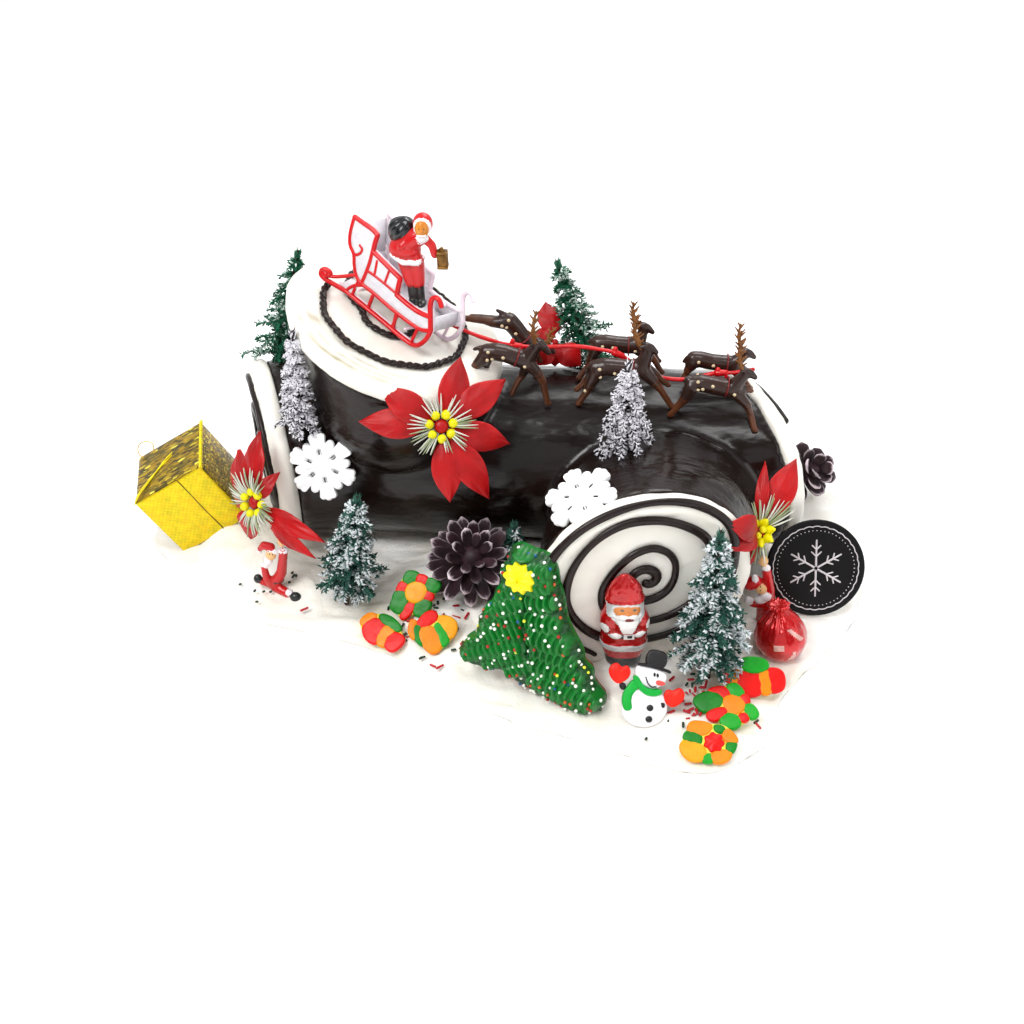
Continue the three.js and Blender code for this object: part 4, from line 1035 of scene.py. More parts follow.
# ---------------------------------------------------------------- small trees of bunched plastic needles
def needles(P, D, ln, w, tone):
    """Slim spindles: base P, direction D, length and half width for each."""
    n = len(P)
    D = D / np.linalg.norm(D, axis=1)[:, None]
    S = np.cross(D, A(0.31, 0.2, 0.93))
    S /= np.linalg.norm(S, axis=1)[:, None] + 1e-9
    U = np.cross(D, S)
    mid = P + D * (ln * 0.42)[:, None] + U * (w * 0.8)[:, None]
    v = np.zeros((n, 4, 3))
    v[:, 0] = P - U * (w * 0.35)[:, None]
    v[:, 1] = mid + S * (w * 1.05)[:, None]
    v[:, 2] = mid - S * (w * 1.05)[:, None]
    v[:, 3] = P + D * ln[:, None] - U * (w * 0.2)[:, None]
    f = []
    for i in range(n):
        b = 4 * i
        f += [(b, b + 1, b + 2), (b + 3, b + 2, b + 1), (b, b + 3, b + 1), (b, b + 2, b + 3)]
    return (v.reshape(-1, 3), f), np.repeat(tone, 4)


def needle_tree(name, foot, tip, radius, kind, seed, mats, branches=70, squash=1.0, lean=0.0, droop=0.25, low=0.05):
    rng = np.random.default_rng(seed)
    foot, tip = A(*foot), A(*tip)
    H = np.linalg.norm(tip - foot)
    M = stand(foot, tip)
    s = Skin()
    stem = catmull([(0, 0, 0), (0.4, 0.2, H * 0.3), (-0.3, 0.1, H * 0.65), (0, 0, H)], 14)
    s.add(sweep(stem, np.linspace(1.5, 0.5, 14), None, 7), 1, M)
    P, D, Ln, W, T = [], [], [], [], []
    tiers = {"silver": 8, "snow": 9, "green": 8, "light": 8}[kind]
    for b in range(branches):
        u = (b + 0.5) / branches
        # branches leave the stem in whorls, the ragged outline steps in tier by tier
        t0 = (math.floor(u * tiers) + 0.5) / tiers
        uu = u + (t0 - u) * 0.55
        z0 = H * (low + (0.95 - low) * uu ** 0.95)
        az = b * 2.39996 + rng.normal() * 0.22
        step = 1.0 + 0.16 * (0.5 - (u * tiers) % 1.0) * 2
        reach = radius * (1.02 - 0.92 * (z0 / H) ** 1.1) * rng.uniform(0.86, 1.1) * step * (0.8 + 0.2 * ((b * 5) % 7) / 6)
        if kind == "snow":
            # the lowest branches are short and hang round the stem
            reach *= min(1.0, 0.5 + 4.0 * u)
        reach = max(reach, 2.4)
        out = A(math.cos(az), math.sin(az) * squash, 0)
        rise = 0.5 if kind != "silver" else 0.3
        n = 8
        t = np.linspace(0, 1, n)[:, None]
        line = out * reach * t + A(0, 0, 1) * (z0 + reach * (rise * t - droop * 2.4 * t * t))
        shape = sweep(line, np.linspace(0.42, 0.25, n), None, 4, round_ends=False)
        s.add(shape, 0, M, tone=np.full(len(shape[0]), 0.15 if kind != "silver" else 0.3))
        frost = {"green": 0.05, "snow": 0.62, "silver": 1.0, "light": 0.4}[kind]
        lumps = rng.random() < frost
        per = int({"green": 30, "snow": 40, "silver": 22, "light": 30}[kind] * max(0.6, min(1.5, reach / 11)))
        for k in range(per):
            q = (k + rng.random()) / per
            i = min(n - 2, int(q * (n - 1)))
            p = line[i] + (line[i + 1] - line[i]) * (q * (n - 1) - i)
            d = unit(line[i + 1] - line[i])
            side = unit(np.cross(d, A(0, 0, 1))) * (1 if k % 2 else -1)
            up = np.cross(side, d) * (1 if k % 2 else -1)
            spread = rng.uniform(0.6, 1.2)
            dd = d * rng.uniform(0.5, 1.0) + side * spread + up * rng.uniform(-0.8, 0.8)
            P.append(p)
            D.append(dd)
            ln = {"green": 3.6, "snow": 3.6, "silver": 3.4, "light": 3.4}[kind] * rng.uniform(0.7, 1.25) * (1 - 0.2 * q)
            Ln.append(ln)
            W.append({"green": 0.58, "snow": 0.62, "silver": 0.42, "light": 0.56}[kind] * rng.uniform(0.8, 1.25))
            if kind == "silver":
                T.append(rng.uniform(0.8, 1.0) if rng.random() < 0.42 else rng.uniform(0.0, 0.3))
            else:
                wet = lumps and q > 0.3 and rng.random() < (0.35 + 0.5 * q)
                T.append(rng.uniform(0.7, 1.0) if wet else rng.uniform(0.0, 0.3) * (1 if kind == "snow" else 0.7))
        # short side twigs fork off towards the end
        if kind == "silver":
            for k in range(9):
                q = 0.2 + 0.8 * (k + rng.random() * 0.6) / 9
                i = min(n - 2, int(q * (n - 1)))
                p = line[i] + (line[i + 1] - line[i]) * (q * (n - 1) - i)
                d = unit(line[i + 1] - line[i])
                side = unit(np.cross(d, A(0, 0, 1))) * (1 if k % 2 else -1)
                e = unit(d * 0.9 + side * 0.8 + A(0, 0, rng.uniform(-0.5, 0.5)))
                ln = rng.uniform(2.0, 3.2)
                s.add(limb(tuple(p), tuple(p + e * ln), 0.5, 0.36, 3, 1), 0, M, 1.0)
                s.add(limb(tuple(p + e * ln * 0.5), tuple(p + e * ln * 0.5 + unit(e + side * 0.8 + A(0, 0, 0.5)) * 1.5), 0.4, 0.3, 3, 1), 0, M, 1.0)
            s.add(limb(tuple(line[-1]), tuple(line[-1] + unit(line[-1] - line[-2]) * 1.6), 0.5, 0.35, 3, 1), 0, M, 1.0)
        if kind in ("snow", "light") and rng.random() < (0.8 if kind == "snow" else 0.35):
            # frosting sits in lumps on top of the branch
            for k in range(6 if kind == "snow" else 3):
                q = rng.uniform(0.35, 1.0)
                i = min(n - 2, int(q * (n - 1)))
                p = line[i] + rng.normal(size=3) * A(0.9, 0.9, 0.6)
                e = unit(out + rng.normal(size=3) * 0.7)
                s.add(limb(tuple(p), tuple(p + e * rng.uniform(1.0, 2.4)), rng.uniform(0.5, 0.8), 0.35, 4, 1), 0, M, 1.0)
    for k in range(30):
        P.append(A(0, 0, H * (0.92 + 0.05 * k / 30)))
        a = k * 2.4
        D.append(A(math.cos(a) * 0.55, math.sin(a) * 0.55, 1.0))
        Ln.append(4.2 if k % 3 else 5.0)
        W.append(0.5)
        T.append((1.0 if k % 2 else 0.1) if kind == "silver" else 0.1)
    (v, f), tone = needles(np.array(P), np.array(D), np.array(Ln), np.array(W), np.array(T))
    s.add((v, f), 0, M, tone)
    return piece(name, s, mats, [name])


GREEN_NEEDLE = material("green needles", srgb(48, 100, 84), 0.5, vary=0.8, second=srgb(20, 62, 52), vsize=3, tone=srgb(224, 230, 232), tone_lo=0.25, tone_hi=0.85, spec=0.4)
GREEN_PLAIN = material("green needles bright", srgb(30, 110, 76), 0.45, vary=0.8, second=srgb(10, 62, 44), vsize=3, tone=srgb(206, 222, 214), tone_lo=0.25, tone_hi=1.0, spec=0.4)
SILVER_NEEDLE = material("silver needles", srgb(36, 27, 30), 0.4, vary=0.5, second=srgb(18, 13, 14), vsize=2.5, tone=srgb(236, 234, 240), tone_lo=0.35, tone_hi=0.8)
STEM = material("stem", srgb(48, 34, 24), 0.7)
STEM_SILVER = material("stem silver", srgb(56, 46, 48), 0.5, metal=0.2)

needle_tree("tree_back_left", (-156, 30, 76), (-134.5, 30, 146), 19, "light", 3, [GREEN_PLAIN, STEM], 84)
needle_tree("tree_silver_left", (-128.8, -37, 71), (-123.8, -38.5, 141), 13, "silver", 4, [SILVER_NEEDLE, STEM_SILVER], 108, low=0.2)
needle_tree("tree_back_mid", (17, 29, 78), (-3, 31, 142), 20, "light", 5, [GREEN_PLAIN, STEM], 104)
needle_tree("tree_silver_front", (34, -44, 65), (34, -44, 131), 19, "silver", 6, [SILVER_NEEDLE, STEM_SILVER], 118, low=0.1)
needle_tree("tree_snow_left", (-105, -80, 6), (-94, -74, 71), 22, "snow", 7, [GREEN_NEEDLE, STEM], 130, low=0.12)
needle_tree("tree_snow_right", (75.5, -124, 7), (76.5, -110, 87), 24, "snow", 8, [GREEN_NEEDLE, STEM], 164, low=0.07)
needle_tree("tree_gap", (-21, -62, 5), (-20, -60, 44), 13, "light", 9, [GREEN_NEEDLE, STEM], 60)


# ---------------------------------------------------------------- poinsettias of folded red foil leaves
def leaf(length, width, droop, seed):
    """A pointed leaf raised along its rib, with slanting veins; x runs to the tip."""
    rng = np.random.default_rng(seed)
    bend = rng.uniform(-0.5, 0.5)
    curl = rng.uniform(-1.2, 1.6)
    NU, NV = 26, 8
    top = []
    for i in range(NU + 1):
        f = i / NU
        x = length * (0.10 + 0.90 * f)
        g0 = max(0.0, (f - 0.1) / 0.9)
        w = width * 0.5 * math.sin(math.pi * g0 ** 0.92) ** (0.8 if g0 < 0.47 else 1.0) * (1 - 0.12 * g0) + 0.9 * (1 - g0) ** 3
        w = max(w, 0.12)
        for j in range(-NV, NV + 1):
            g = j / NV
            y = w * g + bend * math.sin(math.pi * f) * 1.2
            z = 3 * math.sin(math.pi * f) - droop * f * f + 1.2 * (1 - abs(g)) ** 1.0 - 0.1
            z += 0.35 * abs(g) * math.sin(14 * f - 5 * abs(g) + seed) + curl * g * f * 0.6
            z += 0.2 * math.cos((f * 8 - abs(g) * 2.2) * 2 * math.pi) * abs(g) ** 0.5 * math.sin(math.pi * f)
            z -= 0.35 * math.exp(-(g / 0.1) ** 2)
            top.append((x, y, z))
    top = np.array(top)
    n = 2 * NV + 1
    low = top - A(0, 0, 0.42)
    v = np.vstack([top, low])
    k0 = len(top)
    f = []
    for i in range(NU):
        for j in range(2 * NV):
            a = i * n + j
            f.append((a, a + 1, a + n + 1, a + n))
            f.append((k0 + a, k0 + a + n, k0 + a + n + 1, k0 + a + 1))
    for i in range(NU):
        a = i * n
        f.append((a, a + n, k0 + a + n, k0 + a))
        a = i * n + n - 1
        f.append((a, k0 + a, k0 + a + n, a + n))
    for j in range(n - 1):
        f.append((j, k0 + j, k0 + j + 1, j + 1))
        a = NU * n + j
        f.append((a, a + 1, k0 + a + 1, k0 + a))
    # pale light along the rib and the very edge
    g = np.tile(np.abs(np.arange(-NV, NV + 1) / NV), NU + 1)
    tone = np.clip((g - 0.8) / 0.2, 0, 1) * 0.35
    return (v, f), np.r_[tone, tone]


def poinsettia(name, pos, az, el, petals, scale, droop, seed, berry=2.35, stamens=None, pointed=False, wide=15.2, bare=False):
    rng = np.random.default_rng(seed)
    s = Skin()
    M = look(*pos, az, el)
    for k, petal in enumerate(petals):
        deg, ln = petal[:2]
        lift = petal[2] if len(petal) > 2 else 0
        broad = petal[3] if len(petal) > 3 else 1.0
        shape, tone = leaf(ln, wide * scale * broad, droop, seed * 10 + k)
        R = M @ turn("Z", deg) @ turn("Y", -lift) @ turn("X", rng.uniform(-9, 9))
        s.add(shape, 0, R @ shift(0, 0, 0.25 * (k % 3)), tone)
    # ring of berries round a red middle
    s.add(ball(0, 0, 2.6 if not bare else 1.4, 3.4 * scale * (0.6 if bare else 1), 3.4 * scale * (0.6 if bare else 1), 2.0 if not bare else 1.2, 18, 10), 0, M, 0.0)
    if bare:
        return piece(name + "_flower", s, [PETAL, BERRY, STAMEN_WHITE, STAMEN_GREEN], [name])
    n = 7
    for k in range(n):
        a = 2 * np.pi * k / n + 0.2
        r = (5.9 if not pointed else 4.9) * scale
        p = A(r * math.cos(a), r * math.sin(a), 3.6 + rng.uniform(-0.4, 0.5))
        b = berry * scale * rng.uniform(0.92, 1.08)
        if pointed:
            s.add(limb(p, p + A(math.cos(a) * 1.4, math.sin(a) * 1.4, 2.8), b * 1.1, b * 0.4, 14, 5), 1, M)
        else:
            s.add(ball(*p, b, b, b, 16, 12), 1, M)
            s.add(ball(p[0], p[1], p[2] + b * 0.92, b * 0.22, b * 0.22, b * 0.16, 8, 6), 1, M)
    for k in range(2 if pointed else 0):
        a = 2 * np.pi * k / 2 + 0.8
        b = berry * 0.8 * scale
        s.add(ball(1.9 * math.cos(a), 1.9 * math.sin(a), 5.0, b, b, b, 14, 10), 1, M)
    # stamens: bundles of fine stalks, part white, part pale green
    for (deg, wide, count, ln, mat) in stamens or []:
        for k in range(count):
            a = (deg + wide * (k / max(1, count - 1) - 0.5) + rng.uniform(-3, 3)) * DEG
            L_ = ln * rng.uniform(0.86, 1.1)
            base = A(3.2 * math.cos(a), 3.2 * math.sin(a), 2.2)
            lift = rng.uniform(1.5, 5.0)
            end = A(L_ * math.cos(a), L_ * math.sin(a), 2.2 + lift)
            mid = (base + end) / 2 + A(0, 0, rng.uniform(0.8, 2.2))
            P = catmull([base, mid, end], 8)
            s.add(sweep(P, np.array([0.2, 0.26, 0.36, 0.44, 0.46, 0.4, 0.3, 0.14]), None, 5, round_ends=False), mat if rng.random() < 0.7 else 5 - mat, M)
    return piece(name + "_flower", s, [PETAL, BERRY, STAMEN_WHITE, STAMEN_GREEN], [name])


PETAL = material("red petals", srgb(178, 4, 8), 0.46, vary=0.8, second=srgb(128, 2, 5), vsize=8, rvary=0.12, bump=0.3, bsize=1.6,
                 tone=srgb(206, 40, 40), spec=0.35)
BERRY = material("yellow berries", srgb(226, 218, 8), 0.42, vary=0.5, second=srgb(200, 184, 4), vsize=4, sss=0.15, sss_radius=(1, 0.8, 0.3), spec=0.35)
STAMEN_WHITE = material("white stamens", srgb(196, 198, 184), 0.4)
STAMEN_GREEN = material("green stamens", srgb(140, 150, 112), 0.4)

poinsettia("poinsettia_main", (-53.4, -57.2, 101.8), 10, 33, [(143, 34, 10), (69, 34), (32, 38), (-20, 34), (-61, 42), (-88, 37), (172, 39, 4)], 1, 4, 1,
           stamens=[(212, 44, 7, 16, 2), (165, 26, 5, 15, 2), (108, 40, 6, 15, 2), (55, 22, 4, 16, 2), (8, 30, 7, 16, 2), (-38, 22, 5, 15, 3), (-78, 14, 3, 13, 2), (-125, 24, 5, 16, 3)])
poinsettia("poinsettia_left", (-147.4, -63, 56.6), -30, 25, [(106, 35), (136, 29, 0, 1.15), (66, 20, 0, 0.55), (-8, 43, 0, 0.66), (-23, 42, 0, 0.6), (-98, 22), (176, 20)], 0.95, 4, 2, wide=16,
           stamens=[(125, 90, 18, 17, 2), (75, 30, 6, 15, 2), (-45, 70, 14, 16, 3), (0, 40, 7, 14, 3), (-100, 40, 6, 13, 2), (180, 40, 6, 13, 2)])
poinsettia("poinsettia_right", (96.9, -82, 63.6), 8, 36, [(59, 39, 0, 0.95), (82, 33, 6, 0.42), (161, 29, 54, 0.85), (-160, 24, 49, 0.72), (-114, 20, 4, 0.45)], 0.95, 4, 3, pointed=True, wide=16,
           stamens=[(48, 50, 12, 19, 2), (92, 30, 5, 15, 3), (-95, 30, 5, 14, 3), (150, 40, 4, 11, 3)])
poinsettia("poinsettia_back", (-3.4, 20, 101), 0, 45, [(104, 23), (-135, 16), (-42, 18), (150, 12), (-90, 12)], 0.8, 3, 4, wide=17, bare=True)


# ---------------------------------------------------------------- sugar snowflakes
def snowflake(name, M, node):
    R0 = 17.5
    circles = [(0, 0, 11.3)]
    for i in range(6):
        a = 60 * i * DEG
        # six broad ends with three knobs each, and a smaller knob between every two
        for r, d, c in ((12.6, 30, 3.6), (15.6, 30, 2.0), (15.1, 20.5, 1.95), (15.1, 39.5, 1.95), (11.6, 22, 2.2), (11.6, 38, 2.2), (11.6, 0, 2.3), (12.3, 0, 2.1), (10.0, 0, 2.4), (9.6, 14, 2.0), (9.6, -14, 2.0)):
            circles.append((r * math.cos(a + d * DEG), r * math.sin(a + d * DEG), c))
    C = np.array(circles)
    NT, NS = 360, 30
    th = np.linspace(0, 2 * np.pi, NT, endpoint=False)
    u = np.stack([np.cos(th), np.sin(th)], 1)
    edge = np.zeros(NT)
    for x, y, c in C:
        b = u @ A(x, y)
        disc = b * b - (x * x + y * y - c * c)
        edge = np.maximum(edge, np.where(disc > 0, b + np.sqrt(np.maximum(disc, 0)), 0))
    # holes: six slots near the middle
    S = 1 - (1 - np.linspace(0, 1, NS + 1)[1:]) ** 1.5
    T = 3.2
    rings_top, rings_low = [], []
    for s_ in S:
        x, y = edge * s_ * u[:, 0], edge * s_ * u[:, 1]
        din = edge * (1 - s_)
        roundoff = 1 - np.sqrt(np.clip(1 - (1 - np.minimum(din / 1.3, 1)) ** 2, 0, 1))
        z = T / 2 - roundoff * 1.3
        r = np.hypot(x, y)
        ang = (np.degrees(np.arctan2(y, x)) + 30) % 60 - 30
        # raised ribs along each arm and its two side twigs, hollows between them
        ang30 = ang - np.sign(ang) * 30
        across = np.abs(r * np.sin(ang30 * DEG))
        rib = np.exp(-((across - 1.9) / 0.8) ** 2) * (r < 13) + np.exp(-(across / 0.9) ** 2) * (r > 10.5)
        rib2 = np.exp(-((r * np.sin(ang * DEG)) / 1.0) ** 2)
        knob = 0.5 + 0.5 * np.cos(r * 2 * np.pi / 2.6)
        z = z + 0.4 * np.clip(np.maximum(rib, rib2), 0, 1) * (0.6 + 0.4 * knob) * (din > 0.8) - 0.3 * (din > 0.8)
        slot = np.exp(-(((r - 7.2) / 1.55) ** 4 + ((r * np.sin(ang30 * DEG)) / 1.0) ** 4))
        z = z - 2.7 * slot
        rings_top.append(np.stack([x, y, z], 1))
        rings_low.append(np.stack([x, y, -(T / 2 - roundoff * 1.3)], 1))
    v, f = loft(np.array(rings_low[::-3][::-1] + rings_top[::-1]))
    r = np.hypot(v[:, 0], v[:, 1])
    ang = (np.degrees(np.arctan2(v[:, 1], v[:, 0])) + 30) % 60 - 30
    ang30 = ang - np.sign(ang) * 30
    slot = np.exp(-(((r - 7.2) / 1.5) ** 4 + ((r * np.sin(ang30 * DEG)) / 0.95) ** 4)) * (v[:, 2] > -1.2)
    v = v + A(0, 0, 1) * (0.08 * grain(v, 1.4, 2))[:, None] * (v[:, 2] > 0)[:, None]
    return piece(name, Skin().add((v, f), 0, M, slot), [SUGAR], [node])


SUGAR = material("pressed sugar", srgb(244, 244, 244), 0.6, vary=0.4, second=srgb(228, 228, 230), vsize=6, fine=0.35, fsize=0.6, tone=srgb(38, 24, 20), tone_lo=0.35, tone_hi=0.6, sss=0.2, sss_radius=(1, 1, 1))
snowflake("snowflake_on_log", look(-116, -48, 68.5, -4, 24, 12), "snowflake_left")
snowflake("snowflake_on_branch", look(14.1, -96, 92.4, -60, 67, 16), "snowflake_right")


# ---------------------------------------------------------------- pine cones with frosted scales
def cone_scale(length, width, curve, seed):
    """One woody scale: a narrow root that widens to a round thick lip; x outwards."""
    NU, NV = 9, 4
    top, low = [], []
    for i in range(NU + 1):
        f = i / NU
        w = width * 0.5 * (0.3 + 0.7 * math.sin(math.pi * min(1.0, 0.06 + 0.72 * f)) ** 1.2) * math.sqrt(max(0.02, 1 - max(0, (f - 0.8) / 0.2) ** 2.2))
        t = 0.45 + 0.75 * math.exp(-((f - 0.86) / 0.14) ** 2)
        for j in range(-NV, NV + 1):
            g = j / NV
            x = length * f
            y = w * g
            z = curve * f * f + 0.9 * g * g * math.sin(math.pi * f) * (width / 8)
            e = math.sqrt(max(0.05, 1 - g * g * 0.92))
            top.append((x, y, z + t * e))
            low.append((x, y, z - t * 0.7 * e))
    top, low = np.array(top), np.array(low)
    n = 2 * NV + 1
    v = np.vstack([top, low])
    k0 = len(top)
    f = []
    for i in range(NU):
        for j in range(2 * NV):
            a = i * n + j
            f.append((a, a + 1, a + n + 1, a + n))
            f.append((k0 + a, k0 + a + n, k0 + a + n + 1, k0 + a + 1))
    for i in range(NU):
        a = i * n
        f.append((a, a + n, k0 + a + n, k0 + a))
        a = i * n + n - 1
        f.append((a, k0 + a, k0 + a + n, a + n))
    for j in range(n - 1):
        f.append((j, k0 + j, k0 + j + 1, j + 1))
        a = NU * n + j
        f.append((a, a + 1, k0 + a + 1, k0 + a))
    fu = np.repeat(np.arange(NU + 1) / NU, n)
    gv = np.tile(np.abs(np.arange(-NV, NV + 1) / NV), NU + 1)
    streak = 0.5 + 0.5 * np.sin(np.tile(np.arange(-NV, NV + 1), NU + 1) * 2.1 + seed * 1.7)
    frost = np.clip((fu - 0.88) / 0.1, 0, 1) * 0.85 + np.clip((gv - 0.74) / 0.22, 0, 1) * np.clip((fu - 0.35) / 0.4, 0, 1) * 0.85 + np.clip((fu - 0.45) / 0.5, 0, 1) * (0.08 + 0.34 * streak)
    frost = np.clip(frost, 0, 1)
    return (v, f), np.r_[frost, frost * 0.8]


def pine_cone(name, M, radius, length, node, seed, count=58, wide=9.5):
    rng = np.random.default_rng(seed)
    s = Skin()
    s.add(ball(0, 0, 0, radius * 0.36, radius * 0.36, length * 0.44, 18, 14), 0, M, 0.0)
    for k in range(count):
        u = (k + 0.5) / count
        z = length * (-0.42 + 0.84 * u)
        az = k * 137.5
        prof = math.sin(math.pi * (0.12 + 0.80 * u) ** 0.9)
        ln = radius * (0.42 + 0.58 * prof) * rng.uniform(0.94, 1.04)
        tilt = -18 + 78 * u ** 1.25 + rng.uniform(-4, 4)
        root = radius * 0.16
        shape, tone = cone_scale(ln - root, wide * (0.6 + 0.4 * prof) * rng.uniform(0.9, 1.1), ln * 0.16 * (1 - u), seed * 100 + k)
        s.add(shape, 0, M @ turn("Z", az) @ shift(root, 0, z) @ turn("Y", -tilt) @ turn("X", rng.uniform(-8, 8)), tone * rng.uniform(0.35, 1.15))
    return piece(name, s, [CONE], [node])


CONE = material("cone scales", srgb(52, 28, 36), 0.6, vary=0.9, second=srgb(26, 14, 18), vsize=4, bump=0.5, bsize=1.0, tone=srgb(226, 208, 216), tone_lo=0.25, tone_hi=1.05, stretch=(1, 1, 1))
pine_cone("cone_front", look(-42, -66, 24, 15, 54), 24.5, 40, "pinecone_front", 1, 46, 6.9)
pine_cone("cone_right", look(132.5, 18.5, 22.0, 40, 42), 16.5, 28, "pinecone_right", 2, 27, 9.6)


